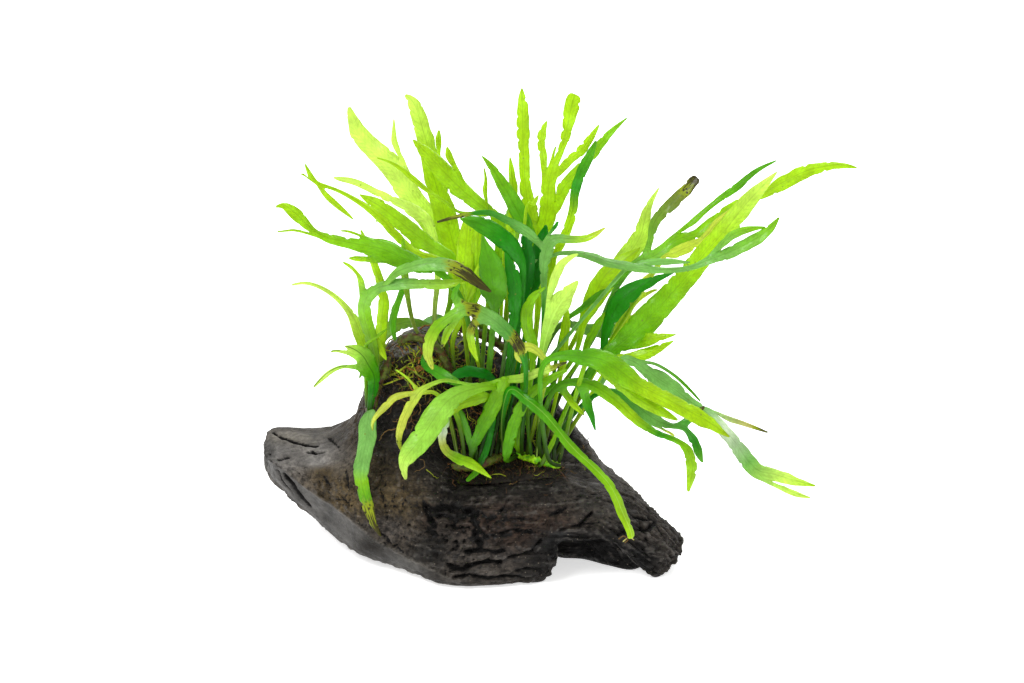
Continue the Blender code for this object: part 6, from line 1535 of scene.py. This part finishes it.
@dataclass
class Strands:
    """Many thin strands joined in one mesh, each a tapering tube in its own tone."""

    name: str
    material: bpy.types.Material
    sides: int = 4
    points: list = field(default_factory=list)
    faces: list = field(default_factory=list)
    tones: list = field(default_factory=list)

    def add(self, line: Sequence, radius: float, end_radius: float, tone: tuple) -> None:
        """Add one strand.

        Args:
            line: its points, in millimetres.
            radius: its radius at the first point.
            end_radius: its radius at the last.
            tone: its colour.
        """
        line = [Vector(point) for point in line]
        last = len(line) - 1
        first = len(self.points)
        side = None
        for i, point in enumerate(line):
            heading = (line[min(i + 1, last)] - line[max(i - 1, 0)]).normalized()
            if side is None:
                side = heading.orthogonal().normalized()
            side = (side - heading * side.dot(heading)).normalized()
            other = heading.cross(side)
            thick = radius + (end_radius - radius) * i / last
            for k in range(self.sides):
                turn = 2 * math.pi * k / self.sides
                self.points.append(point + (side * math.cos(turn) + other * math.sin(turn)) * thick)
        for i in range(last):
            for k in range(self.sides):
                m = (k + 1) % self.sides
                low, high = first + i * self.sides, first + (i + 1) * self.sides
                self.faces.append((low + k, low + m, high + m, high + k))
        end = first + last * self.sides
        self.faces.append(tuple(range(first, first + self.sides))[::-1])
        self.faces.append(tuple(range(end, end + self.sides)))
        self.tones += [tone] * ((last + 1) * self.sides)

    def build(self) -> bpy.types.Object:
        """Join the strands into one piece."""
        thing = mesh_object(self.name, np.array([tuple(point) for point in self.points]), self.faces, self.material)
        store(thing, "tone", np.array(self.tones))
        return thing


def vary(tone: Tone, dice: random.Random, spread: float = 0.3) -> tuple:
    """A tone a little lighter or darker than its own.

    Args:
        tone: the tone.
        dice: where the chance comes from.
        spread: the greatest change, as a share.

    Returns:
        Red, green and blue.
    """
    share = 1 + dice.uniform(-spread, spread)
    return tuple(channel * share for channel in tone.value)


def wander(start: Vector, heading: Vector, length: float, steps: int, turn: float, droop: float,
           dice: random.Random) -> list:
    """A strand's line that wanders as it grows.

    Args:
        start: its first point.
        heading: its first direction.
        length: its length.
        steps: how many stretches it has.
        turn: how much each stretch may turn.
        droop: how much each stretch bends down.
        dice: where the chance comes from.

    Returns:
        Its points.
    """
    line = [start]
    heading = heading.normalized()
    for _ in range(steps):
        sway = Vector((dice.gauss(0, turn), dice.gauss(0, turn), dice.gauss(0, turn) - droop))
        heading = (heading + sway).normalized()
        line.append(line[-1] + heading * (length / steps))
    return line


@dataclass
class MossMats:
    """The pads of moss, old roots and dead stalks that the rhizomes creep over."""

    material: bpy.types.Material
    wood: BVHTree
    rim: float = 0.6
    clearance: float = 0.9
    fineness: int = 6
    fibres_per_mm2: float = 3.2
    seed: int = 21
    tones = {
        "moss_mat_mound": (Tone.DARK_HAIR, Tone.OLD_STALK, Tone.ROOT, Tone.DARK_HAIR, Tone.MOSS_GREEN, Tone.BROWN),
        "moss_mat_hollow": (Tone.DARK_HAIR, Tone.DARK_HAIR, Tone.ROOT, Tone.MOSS_GREEN, Tone.WOOD_BLACK)}
    # Tangled moss over the wood as it is seen: name, left, right, low, high, how many strands, thickest, tones
    tangles: tuple = (
        ("tangle_mound", -36, 6, 78, 103, 300, 0.42, (Tone.OLD_STALK, Tone.MOSS_GREEN, Tone.RUST_ROOT, Tone.BROWN,
                                                       Tone.OLIVE, Tone.OLD_STALK)),
        # tangle_shade is mostly near-black strands, laid as painted shade under the leaves
        ("tangle_shade", -34, 14, 58, 92, 420, 0.3, (Tone.DARK_HAIR, Tone.DARK_HAIR, Tone.BROWN, Tone.ROOT,
                                                      Tone.WOOD_BLACK, Tone.DARK_HAIR)),
        ("tangle_hollow", -12, 44, 42, 76, 420, 0.24, (Tone.DARK_HAIR, Tone.DARK_HAIR, Tone.BROWN, Tone.ROOT,
                                                       Tone.WOOD_BLACK, Tone.OLD_STALK)))

    def top(self, corner: tuple, size: tuple, u: float, v: float, thickness: float) -> Vector:
        """A point of a pad's upper side, with its small lumps."""
        swell = math.sqrt(max(math.sin(math.pi * u) * math.sin(math.pi * v), 0.0))
        x, y = corner[0] + size[0] * u, corner[1] + size[1] * v
        lumps = 0.5 + 0.5 * noise.fractal(Vector((x, y, 3.0)) / 2.6, 0.8, 2.0, 3)
        lift = self.clearance + (self.rim + thickness * (0.45 + 0.6 * lumps)) * swell - 1.2 * (1 - swell)
        return lay_on(self.wood, x, y, max(lift, 0.05))

    def build(self) -> list:
        """Make a pad and its fibres for each mat.

        Returns:
            The finished pieces.
        """
        made = []
        dice = random.Random(self.seed)
        for name, (corner, size, cells, thickness) in MOSS_MATS.items():
            tones = self.tones[name]
            strands = Strands(name.replace("mat", "pad"), self.material, sides=3)
            across, deep = cells[0] * self.fineness, cells[1] * self.fineness
            for i in range(across + 1):
                for j in range(deep + 1):
                    spot = self.top(corner, size, i / across, j / deep, thickness)
                    strands.points.append(spot)
                    # Pad points are pale high on the mound and near black elsewhere; the near black is partly painted
                    # shade
                    high = noise.noise(spot / 5.0) * 7 + spot.z > 87
                    strands.tones.append(vary(Tone.WOOD_PALE if high else Tone.DARK_HAIR, dice))
            for i in range(across):
                for j in range(deep):
                    k = i * (deep + 1) + j
                    strands.faces.append((k, k + deep + 1, k + deep + 2, k + 1))
            for _ in range(int(size[0] * size[1] * self.fibres_per_mm2)):
                u, v = dice.random(), dice.random()
                root = self.top(corner, size, u, v, thickness)
                _, facing, _, _ = self.wood.find_nearest(root)
                lean = facing + Vector((dice.gauss(0, 0.7), dice.gauss(0, 0.7), dice.gauss(0, 0.5)))
                line = wander(root - facing * 0.4, lean, dice.uniform(1.2, 3.6), 4, 0.35, 0.12, dice)
                strands.add(line, dice.uniform(0.10, 0.17), 0.04, vary(dice.choice(tones), dice))
            for radius, tone, places in OLD_STALKS:
                line = [self.on_view(*spot, radius) for spot in places]
                if None not in line and (line[0].z > 60) == (name == "moss_mat_mound"):
                    rows = Spine([(*point, radius) for point in line]).rows
                    strands.add(rows[:, :3].tolist(), radius, radius * 0.7, vary(tone, dice, 0.15))
            made.append(place(strands.build(), "moss", (name,)))
        return made

    def tangle(self, ground: BVHTree) -> list:
        """Make the tangled moss and roots that lie over the wood and the pads.

        Args:
            ground: the surface that they lie on.

        Returns:
            The finished pieces.
        """
        made = []
        dice = random.Random(self.seed + 1)
        for name, left, right, low, high, count, thickest, tones in self.tangles:
            strands = Strands(name, self.material, sides=5)
            middle, reach = Vector(((left + right) / 2, (low + high) / 2)), Vector(((right - left) / 2, (high - low) / 2))
            for _ in range(count):
                spot = (dice.gauss(0, 0.5), dice.gauss(0, 0.5))
                ray = VIEW.ray(middle.x + spot[0] * reach.x, middle.y + spot[1] * reach.y)
                point, facing, _, _ = ground.ray_cast(VIEW.eye, ray.normalized())
                if point:
                    run = Vector((dice.gauss(0, 1), dice.gauss(0, 1), dice.gauss(0, 1))).cross(facing)
                    line = wander(point + facing * 0.3, run, dice.uniform(3, 10), 9, 0.4, 0.06, dice)
                    line = [self.outside(ground, step, dice.uniform(0.15, 1.0)) for step in line]
                    thick = dice.uniform(0.35, 1) * thickest
                    strands.add(line, thick, thick * 0.5, vary(dice.choice(tones), dice))
            made.append(place(strands.build(), "moss", ()))
        return made

    @staticmethod
    def outside(ground: BVHTree, point: Vector, clearance: float) -> Vector:
        """A point kept this close to a surface and outside it."""
        near, facing, _, _ = ground.find_nearest(point)
        depth = (point - near).dot(facing)
        return near + facing * clearance if depth < clearance or depth > 1.6 else point

    def on_view(self, right: float, up: float, radius: float) -> Optional[Vector]:
        """The place that is seen here on the wood, lifted off it by a stalk and the moss below it."""
        spot, facing, _, _ = self.wood.ray_cast(VIEW.eye, VIEW.ray(right, up).normalized())
        return spot + facing * (radius + self.clearance + self.rim) if spot else None


@dataclass
class Rhizomes:
    """The creeping stems: knobbly lime-green tubes with brown scales and hairs."""

    material: bpy.types.Material
    ground: BVHTree
    knobs: float = 0.1
    gap: float = 0.3
    sides: int = 20
    step: float = 0.7
    seed: int = 5
    spines: dict = field(default_factory=dict)

    def build(self) -> list:
        """Make every rhizome and keep its centre line for the fronds.

        Returns:
            The finished pieces.
        """
        made = []
        dice = random.Random(self.seed)
        for name, (radius, path) in RHIZOMES.items():
            clearance = radius * (1 + self.knobs) + 2 * self.gap
            spine = Spine([(*lay_on(self.ground, x, y, clearance), clearance) for x, y in path])
            self.spines[name] = spine
            made.append(self.stem(name, radius, spine, dice))
        return made

    def stem(self, name: str, radius: float, spine: Spine, dice: random.Random) -> bpy.types.Object:
        """One rhizome with its scales and hairs.

        Args:
            name: the rhizome's own name.
            radius: its radius.
            spine: its centre line.
            dice: where the chance comes from.

        Returns:
            The finished piece.
        """
        strands = Strands("stem_" + name, self.material)
        count = max(int(spine.length / self.step), 8)
        offset = dice.uniform(0, 50)
        for i in range(count + 1):
            s = spine.length * i / count
            centre, _ = spine.at(s)
            heading = spine.heading(s)
            side = heading.cross(Vector((0, 0, 1))).normalized()
            upward = side.cross(heading)
            share = i / count
            end = math.sqrt(max(1 - (2 * share - 1) ** 8, 0.02))
            for k in range(self.sides):
                turn = 2 * math.pi * k / self.sides
                out = side * math.cos(turn) + upward * math.sin(turn)
                knob = noise.noise((centre + out * radius) / 2.3 + Vector((offset, 0, 0)))
                ring = 0.07 * math.sin(s * 2.4)
                strands.points.append(centre + out * radius * end * (0.98 + 0.22 * knob + ring))
                bright, dull = (Tone.BRIGHT, Tone.MID) if name == "front" else (Tone.MOSS_GREEN, Tone.ROOT)
                strands.tones.append(vary(bright if knob > -0.1 else dull, dice, 0.15))
        for i in range(count):
            for k in range(self.sides):
                m = (k + 1) % self.sides
                low, high = i * self.sides, (i + 1) * self.sides
                strands.faces.append((low + k, low + m, high + m, high + k))
        strands.faces.append(tuple(range(self.sides))[::-1])
        strands.faces.append(tuple(range(count * self.sides, (count + 1) * self.sides)))
        self.hairs(strands, spine, radius, dice)
        return place(strands.build(), "rhizome", ("rhizome_" + name,))

    def hairs(self, strands: Strands, spine: Spine, radius: float, dice: random.Random) -> None:
        """Brown scale hairs over a rhizome and roots from its lower side."""
        for _ in range(int(spine.length * 9)):
            centre, _ = spine.at(dice.uniform(0, spine.length))
            out = Vector((dice.gauss(0, 1), dice.gauss(0, 1), dice.gauss(0, 1))).normalized()
            line = wander(centre + out * radius * 0.9, out, dice.uniform(0.5, 1.6), 3, 0.4, 0.1, dice)
            strands.add(line, 0.09, 0.03, vary(dice.choice((Tone.ROOT, Tone.DARK_HAIR, Tone.RUST_ROOT)), dice))
        for _ in range(int(spine.length * 0.9)):
            centre, _ = spine.at(dice.uniform(0, spine.length))
            out = Vector((dice.gauss(0, 1), dice.gauss(0, 1), -0.7)).normalized()
            line = wander(centre + out * radius * 0.8, out, dice.uniform(4, 11), 8, 0.22, 0.12, dice)
            line = [self.above_wood(point) for point in line]
            strands.add(line, 0.16, 0.06, vary(dice.choice((Tone.ROOT, Tone.DARK_HAIR)), dice))

    def above_wood(self, point: Vector) -> Vector:
        """A point kept just outside the wood and the mats."""
        near, facing, _, _ = self.ground.find_nearest(point)
        depth = (point - near).dot(facing)
        return near + facing * 0.2 if depth < 0.2 else point


class Fork(NamedTuple):
    """Where a lobe leaves a blade: its place along the blade, half the length of edge that it grows from, its side
    (1 right, -1 left), its own spine and its number in the frond's list."""

    place: float
    half: float
    side: int
    spine: Spine
    number: int


@dataclass
class Blade:
    """One frond: its coarse sheet, made finer, then given its thickness."""

    name: str
    frond: Frond
    look: Look
    foot: Vector
    seed: int
    station: float = 2.6
    stalk_width: float = 1.5
    midrib_depth: float = 0.09
    fork_share: float = 0.7
    fork_least: float = 1.4
    fork_most: float = 4.0
    fork_margin: float = 0.8
    fork_spacing: float = 0.4
    ruffle: float = 0.085
    jag: float = 1.0
    # Strength of the painted shade on the stalks low in the tuft
    painted_tuft_shade: float = 0.72
    blade_thickness: float = 0.4
    stalk_thickness: float = 1.15
    layers: tuple = ("along", "rib", "side", "wilt", "stalk")

    def start(self) -> None:
        """Open the sheet that the blade grows in."""
        self.bm = bmesh.new()
        self.layer = {name: self.bm.verts.layers.float.new(name) for name in self.layers}
        self.tone_layer = self.bm.verts.layers.float_color.new("tone")
        self.across_layer = self.bm.verts.layers.float_vector.new("across")
        self.roll = math.radians(self.frond.roll)

    def across(self, heading: Vector) -> Vector:
        """The unit direction across the blade, rolled about its spine away from facing the viewer."""
        side = heading.cross(VIEW.away)
        if side.length < 0.05:
            side = Vector((1, 0, 0))
        side.normalize()
        deep = side.cross(heading).normalized()
        return side * math.cos(self.roll) + deep * math.sin(self.roll)

    def tone(self, share: float, lobe: Optional[int], fork_share: float) -> np.ndarray:
        """The colour at a share of the length of the main blade or of a lobe."""
        stops = self.look.tones
        places = [stop for stop, _ in stops]
        colours = np.array([tone.value for _, tone in stops])
        at_share = share if lobe is None else fork_share
        base = np.array([np.interp(at_share, places, colours[:, k]) for k in range(3)])
        if lobe is None or lobe >= len(self.look.lobes):
            return base
        end = np.array(self.look.lobes[lobe][0].value)
        return base + (end - base) * lift_into(share, 0.0, 0.8)

    def row(self, spine: Spine, s: float, lobe: Optional[int], fork_share: float, begun: float) -> list:
        """Three vertices across a blade: its left edge, its midrib and its right edge.

        Args:
            spine: the spine of the blade or lobe.
            s: the distance along it.
            lobe: the lobe's number, or None on the main blade.
            fork_share: where on the main blade the lobe forks off.
            begun: the distance along the frond at which this spine begins.

        Returns:
            The vertices.
        """
        centre, width = spine.at(s)
        heading = spine.heading(s)
        sideways = self.across(heading)
        square = heading.cross(sideways)
        stalk = 1 - lift_into(width, 1.7, 3.6)
        share = s / spine.length
        far = begun + s
        half = width / 2 / math.cos(self.roll)
        wilt_place = self.look.wilt if lobe is None else self.look.lobes[lobe][1] if lobe < len(self.look.lobes) else 2
        wilt = lift_into(share, wilt_place - 0.1, wilt_place + 0.25)
        for where, place_along, reach in self.look.blotches:
            if where == (-1 if lobe is None else lobe):
                wilt = max(wilt, math.exp(-((share - place_along) / reach) ** 2))
        # Painted shade: a main blade's stalk part is darkened low in the tuft, fading out by 96 mm up
        inner = 0 if lobe is not None else 1 - lift_into(share, 0.25, 0.45)
        shade = 1 - self.painted_tuft_shade * inner * stalk * (1 - lift_into(centre.z, 38, 96))
        tone = self.tone(share, lobe, fork_share) * shade
        row = []
        for side in (-1, 0, 1):
            uneven = 1 + 0.10 * (1 - stalk) * noise.noise(Vector((far / 3.6, side * 9.0, self.seed)))
            wave = math.sin(far / (3.2 + 0.5 * side) + self.seed * 2.1 + side * 1.3)
            wave *= 0.6 + 0.8 * noise.noise(Vector((far / 11.0, side * 5.0, self.seed + 0.5)))
            lift = wave * self.ruffle * width * (1 - stalk) if side else self.midrib_depth * width
            spot = centre + sideways * (half * side * uneven) + square * lift
            vertex = self.bm.verts.new(spot)
            vertex[self.layer["along"]] = far + 40.0 * self.seed
            vertex[self.layer["rib"]] = half * side
            vertex[self.layer["side"]] = side
            vertex[self.layer["wilt"]] = wilt
            vertex[self.layer["stalk"]] = stalk
            vertex[self.tone_layer] = (*tone, 1.0)
            vertex[self.across_layer] = sideways
            row.append(vertex)
        return row

    def forks(self, spine: Spine, lobes: Sequence, start: float) -> list:
        """The forks of a blade, each wide enough for its lobe and clear of the others on its edge."""
        found = []
        for number, (first, *rest) in enumerate(lobes):
            spot = spine.nearest(VIEW.seen(*first, rest[0][2]))
            point, _ = spine.at(spot)
            lobe = Spine([(*point, self.stalk_width)] + VIEW.seen_rows(rest))
            reach, _ = lobe.at(lobe.length * 0.3)
            side = 1 if (reach - point).dot(self.across(spine.heading(spot))) > 0 else -1
            half = min(max(rest[0][3] * self.fork_share, self.fork_least), self.fork_most)
            margin = half + self.fork_margin
            found.append(Fork(min(max(spot, start + margin), spine.length - margin), half, side, lobe, number))
        fitted = []
        for fork in found:
            gaps = [abs(fork.place - other.place) for other in found if other is not fork and other.side == fork.side]
            fitted.append(fork._replace(half=min([fork.half] + [gap / 2 - self.fork_spacing for gap in gaps])))
        return fitted

    def stations(self, spine: Spine, start: float, forks: Sequence) -> list:
        """Places of the blade's rows of vertices, with three for each fork."""
        count = max(round((spine.length - start) / self.station), 2)
        places = {start + (spine.length - start) * k / count for k in range(count + 1)}
        places = {s for s in places if all(abs(s - fork.place) > fork.half + 1.0 for fork in forks)}
        places |= {start, spine.length}
        for fork in forks:
            places.update((fork.place - fork.half, fork.place, fork.place + fork.half))
        ordered = sorted(places)
        return [s for s, after in zip(ordered, ordered[1:] + [math.inf]) if after - s > 0.3]

    def clear_of(self, parent: Spine, fork: Fork) -> float:
        """The distance along a lobe at which it has left its parent blade."""
        _, width = parent.at(fork.place)
        s = 0.0
        while s < fork.spine.length * 0.5:
            point, _ = fork.spine.at(s)
            spot, _ = parent.at(parent.nearest(point))
            if (point - spot).length > width / 2 / math.cos(self.roll) + self.fork_margin:
                break
            s += 0.5
        return s

    def grow(self, spine: Spine, lobes: Sequence, start: float = 0.0, root: Optional[list] = None,
             lobe: Optional[int] = None, fork_share: float = 0.0, begun: float = 0.0) -> None:
        """Add the faces of a blade along its spine, and of the lobes that fork from its edges.

        Args:
            spine: the spine of the blade or lobe.
            lobes: the lobes that fork off it.
            start: the distance along the spine of its first row.
            root: for a lobe, the vertices of its parent's edge that it grows from.
            lobe: the lobe's number, or None on the main blade.
            fork_share: where on the main blade the lobe forks off.
            begun: the distance along the frond at which this spine begins.
        """
        forks = self.forks(spine, lobes, start)
        stations = self.stations(spine, start, forks)
        first = 1 if root else 0
        rows = [self.row(spine, s, lobe, fork_share, begun) for s in stations[first:]]
        if root:
            middle = len(root) // 2
            self.bm.faces.new((*root[:middle + 1], rows[0][1], rows[0][0]))
            self.bm.faces.new((*root[middle:], rows[0][2], rows[0][1]))
        for lower, upper in zip(rows, rows[1:]):
            self.bm.faces.new((lower[0], lower[1], upper[1], upper[0]))
            self.bm.faces.new((lower[1], lower[2], upper[2], upper[1]))
        for fork in forks:
            column = 1 + fork.side
            edge = [row[column] for s, row in zip(stations, rows) if abs(s - fork.place) < fork.half + 0.15]
            if fork.side > 0:
                edge.reverse()
            self.grow(fork.spine, (), self.clear_of(spine, fork), edge, fork.number, fork.place / spine.length,
                      begun + fork.place)

    def finer(self) -> tuple:
        """Smooth the sheet and read it back.

        Returns:
            Its points, normals, four-sided faces and what it keeps at its vertices.
        """
        coarse = bpy.data.meshes.new(self.name)
        self.bm.to_mesh(coarse)
        self.bm.free()
        thing = bpy.data.objects.new(self.name, coarse)
        bpy.context.collection.objects.link(thing)
        smooth = thing.modifiers.new("smooth", "SUBSURF")
        smooth.levels = 2
        smooth.render_levels = 2
        fine = bpy.data.meshes.new_from_object(thing.evaluated_get(bpy.context.evaluated_depsgraph_get()))
        bpy.data.objects.remove(thing)
        count = len(fine.vertices)
        points = np.empty(count * 3)
        fine.vertices.foreach_get("co", points)
        normals = np.empty(count * 3, dtype=np.float32)
        fine.vertex_normals.foreach_get("vector", normals)
        corners = np.empty(len(fine.loops), dtype=np.int32)
        fine.loops.foreach_get("vertex_index", corners)
        kept = {}
        for name in self.layers:
            kept[name] = np.empty(count, dtype=np.float32)
            fine.attributes[name].data.foreach_get("value", kept[name])
        tone = np.empty(count * 4, dtype=np.float32)
        fine.attributes["tone"].data.foreach_get("color", tone)
        kept["tone"] = tone.reshape(-1, 4)[:, :3]
        sideways = np.empty(count * 3, dtype=np.float32)
        fine.attributes["across"].data.foreach_get("vector", sideways)
        kept["across"] = sideways.reshape(-1, 3)
        bpy.data.meshes.remove(fine)
        bpy.data.meshes.remove(coarse)
        return points.reshape(-1, 3), normals.reshape(-1, 3), corners.reshape(-1, 4), kept

    def jags(self, kept: dict) -> np.ndarray:
        """How far the uneven, nibbled edge moves each point across the blade."""
        moved = np.zeros(len(kept["side"]))
        for i, (far, side, stalk) in enumerate(zip(kept["along"], kept["side"], kept["stalk"])):
            if abs(side) > 0.05 and stalk < 0.98:
                edge = math.copysign(9.0, side)
                wave = 0.4 * noise.noise(Vector((far / 4.2, edge, 0))) + 0.07 * noise.noise(Vector((far / 1.5, edge, 3)))
                notch = max(noise.noise(Vector((far / 2.3, edge, 7))) - 0.22, 0.0)
                moved[i] = side * abs(side) * (1 - stalk) * (self.jag * wave - 2.2 * notch)
        return moved

    def build(self, material: bpy.types.Material) -> bpy.types.Object:
        """Make the frond.

        Args:
            material: the blade's finish.

        Returns:
            The finished piece.
        """
        self.start()
        spine = Spine([(*self.foot, self.stalk_width)] + VIEW.seen_rows(self.frond.rows))
        self.grow(spine, self.frond.lobes)
        points, normals, faces, kept = self.finer()
        points = points + kept["across"] * self.jags(kept)[:, None]
        edge = np.clip(1 - kept["side"] ** 2, 0.0, 1.0)
        round_stalk = self.stalk_thickness / 2 * np.sqrt(np.clip(edge, 0.03, 1))
        flat_blade = self.blade_thickness / 2 * (0.45 + 0.55 * edge) + 0.12 * np.exp(-(kept["rib"] / 0.45) ** 2)
        half = flat_blade + (round_stalk - flat_blade) * kept["stalk"]
        offset = normals * half[:, None]
        count = len(points)
        both = np.concatenate([points + offset, points - offset])
        sides = {}
        for face in faces:
            for start, end in zip(face, np.roll(face, -1)):
                sides[(int(start), int(end))] = True
        rim = [(end, start, start + count, end + count) for start, end in sides if (end, start) not in sides]
        every = faces.tolist() + (faces[:, ::-1] + count).tolist() + rim
        leaf = mesh_object(self.name, both, every, material)
        for name in ("along", "rib", "wilt", "tone"):
            store(leaf, name, np.concatenate([kept[name], kept[name]]))
        store(leaf, "ribtone", np.full(2 * count, self.look.rib))
        return leaf


@dataclass
class Foliage:
    """Every frond, each growing from its place on a rhizome."""

    material: bpy.types.Material
    spines: dict
    thickness: float = 0.6
    bury: float = 1.4

    def build(self) -> list:
        """Make the fronds.

        Returns:
            The finished pieces.
        """
        growth = []
        for name, frond in FRONDS.items():
            look = LOOKS[name]
            plain = ((look.tones[-1][1], 2.0),) * (len(frond.lobes) - len(look.lobes))
            slim = SMALL_LOBES.get(name, ())
            frond = frond._replace(lobes=frond.lobes + tuple(rows for rows, _ in slim))
            look = look._replace(lobes=look.lobes + plain + tuple(dress for _, dress in slim))
            growth.append((name.replace("frond", "leaf"), frond, look, (name,)))
        for name, (frond, look) in SMALL_FRONDS.items():
            growth.append(("young_" + name, frond, look, ()))
        made = []
        for number, (name, frond, look, nodes) in enumerate(growth):
            carrier = self.spines[frond.rhizome]
            s = carrier.length * frond.eye
            centre, clearance = carrier.at(s)
            outward = VIEW.seen(*frond.rows[0][:3]) - centre
            outward -= outward.project(carrier.heading(s))
            foot = centre + outward.normalized() * (clearance + self.thickness - self.bury)
            made.append(place(Blade(name, frond, look, foot, number + 1).build(self.material), "frond", nodes))
        return made


@dataclass
class Studio:
    """A plain pale floor and soft lights around the plant."""

    floor_half: float = 3.0
    floor_glow: float = 0.6
    sky: float = 0.85

    def build(self) -> None:
        """Lay the floor and set the lights."""
        mesh = bpy.data.meshes.new("floor")
        reach = self.floor_half
        mesh.from_pydata([(-reach, -reach, 0), (reach, -reach, 0), (reach, reach, 0), (-reach, reach, 0)], [], [(0, 1, 2, 3)])
        floor = bpy.data.objects.new("floor", mesh)
        bpy.context.collection.objects.link(floor)
        material, _, shader, _ = start_material("pale_floor", (0.9, 0.9, 0.9))
        shader.inputs["Base Color"].default_value = (0.93, 0.93, 0.93, 1.0)
        shader.inputs["Emission Color"].default_value = (1.0, 1.0, 1.0, 1.0)
        shader.inputs["Emission Strength"].default_value = self.floor_glow
        shader.inputs["Roughness"].default_value = 0.9
        shader.inputs["Specular IOR Level"].default_value = 0.1
        mesh.materials.append(material)
        world = bpy.data.worlds.new("studio")
        world.use_nodes = True
        backdrop = world.node_tree.nodes["Background"]
        backdrop.inputs["Color"].default_value = (1.0, 1.0, 1.0, 1.0)
        backdrop.inputs["Strength"].default_value = self.sky
        bpy.context.scene.world = world
        self.lamp("key", (-0.45, -0.55, 0.95), 0.5, 9.0)
        self.lamp("back", (0.35, 0.65, 0.80), 0.6, 8.0)
        bpy.context.scene.view_settings.view_transform = "Standard"

    def lamp(self, name: str, spot: tuple, size: float, power: float) -> None:
        """A square soft light aimed at the plant.

        Args:
            name: the light's name.
            spot: where it stands, in metres.
            size: the length of its side, in metres.
            power: its power in watts.
        """
        data = bpy.data.lights.new(name, "AREA")
        data.size = size
        data.energy = power
        lamp = bpy.data.objects.new(name, data)
        lamp.location = spot
        lamp.rotation_euler = (Vector((0, -0.01, 0.07)) - Vector(spot)).to_track_quat("-Z", "Y").to_euler()
        bpy.context.collection.objects.link(lamp)


def main() -> None:
    """Build the sub-assemblies in order."""
    logging.basicConfig(level=logging.INFO, format="%(name)s %(message)s")
    VIEW.place_camera()
    Studio().build()
    effects = Effects.make()
    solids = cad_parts
    wood = [solids[name] for name in WOOD_NODES]
    mats = [solids[name] for name in MOSS_MATS]
    wood_surface = surface(wood)
    ground = surface(wood + mats)
    Driftwood(WoodFinish(effects).make()).build()
    moss = MossMats(ThreadFinish(effects, "moss_and_roots", 0.8).make(), wood_surface)
    moss.build()
    moss.tangle(ground)
    rhizomes = Rhizomes(ThreadFinish(effects, "green_rhizome", 0.5).make(), ground)
    rhizomes.build()
    Foliage(LeafFinish(effects).make(), rhizomes.spines).build()


if __name__ == "__main__":
    main()
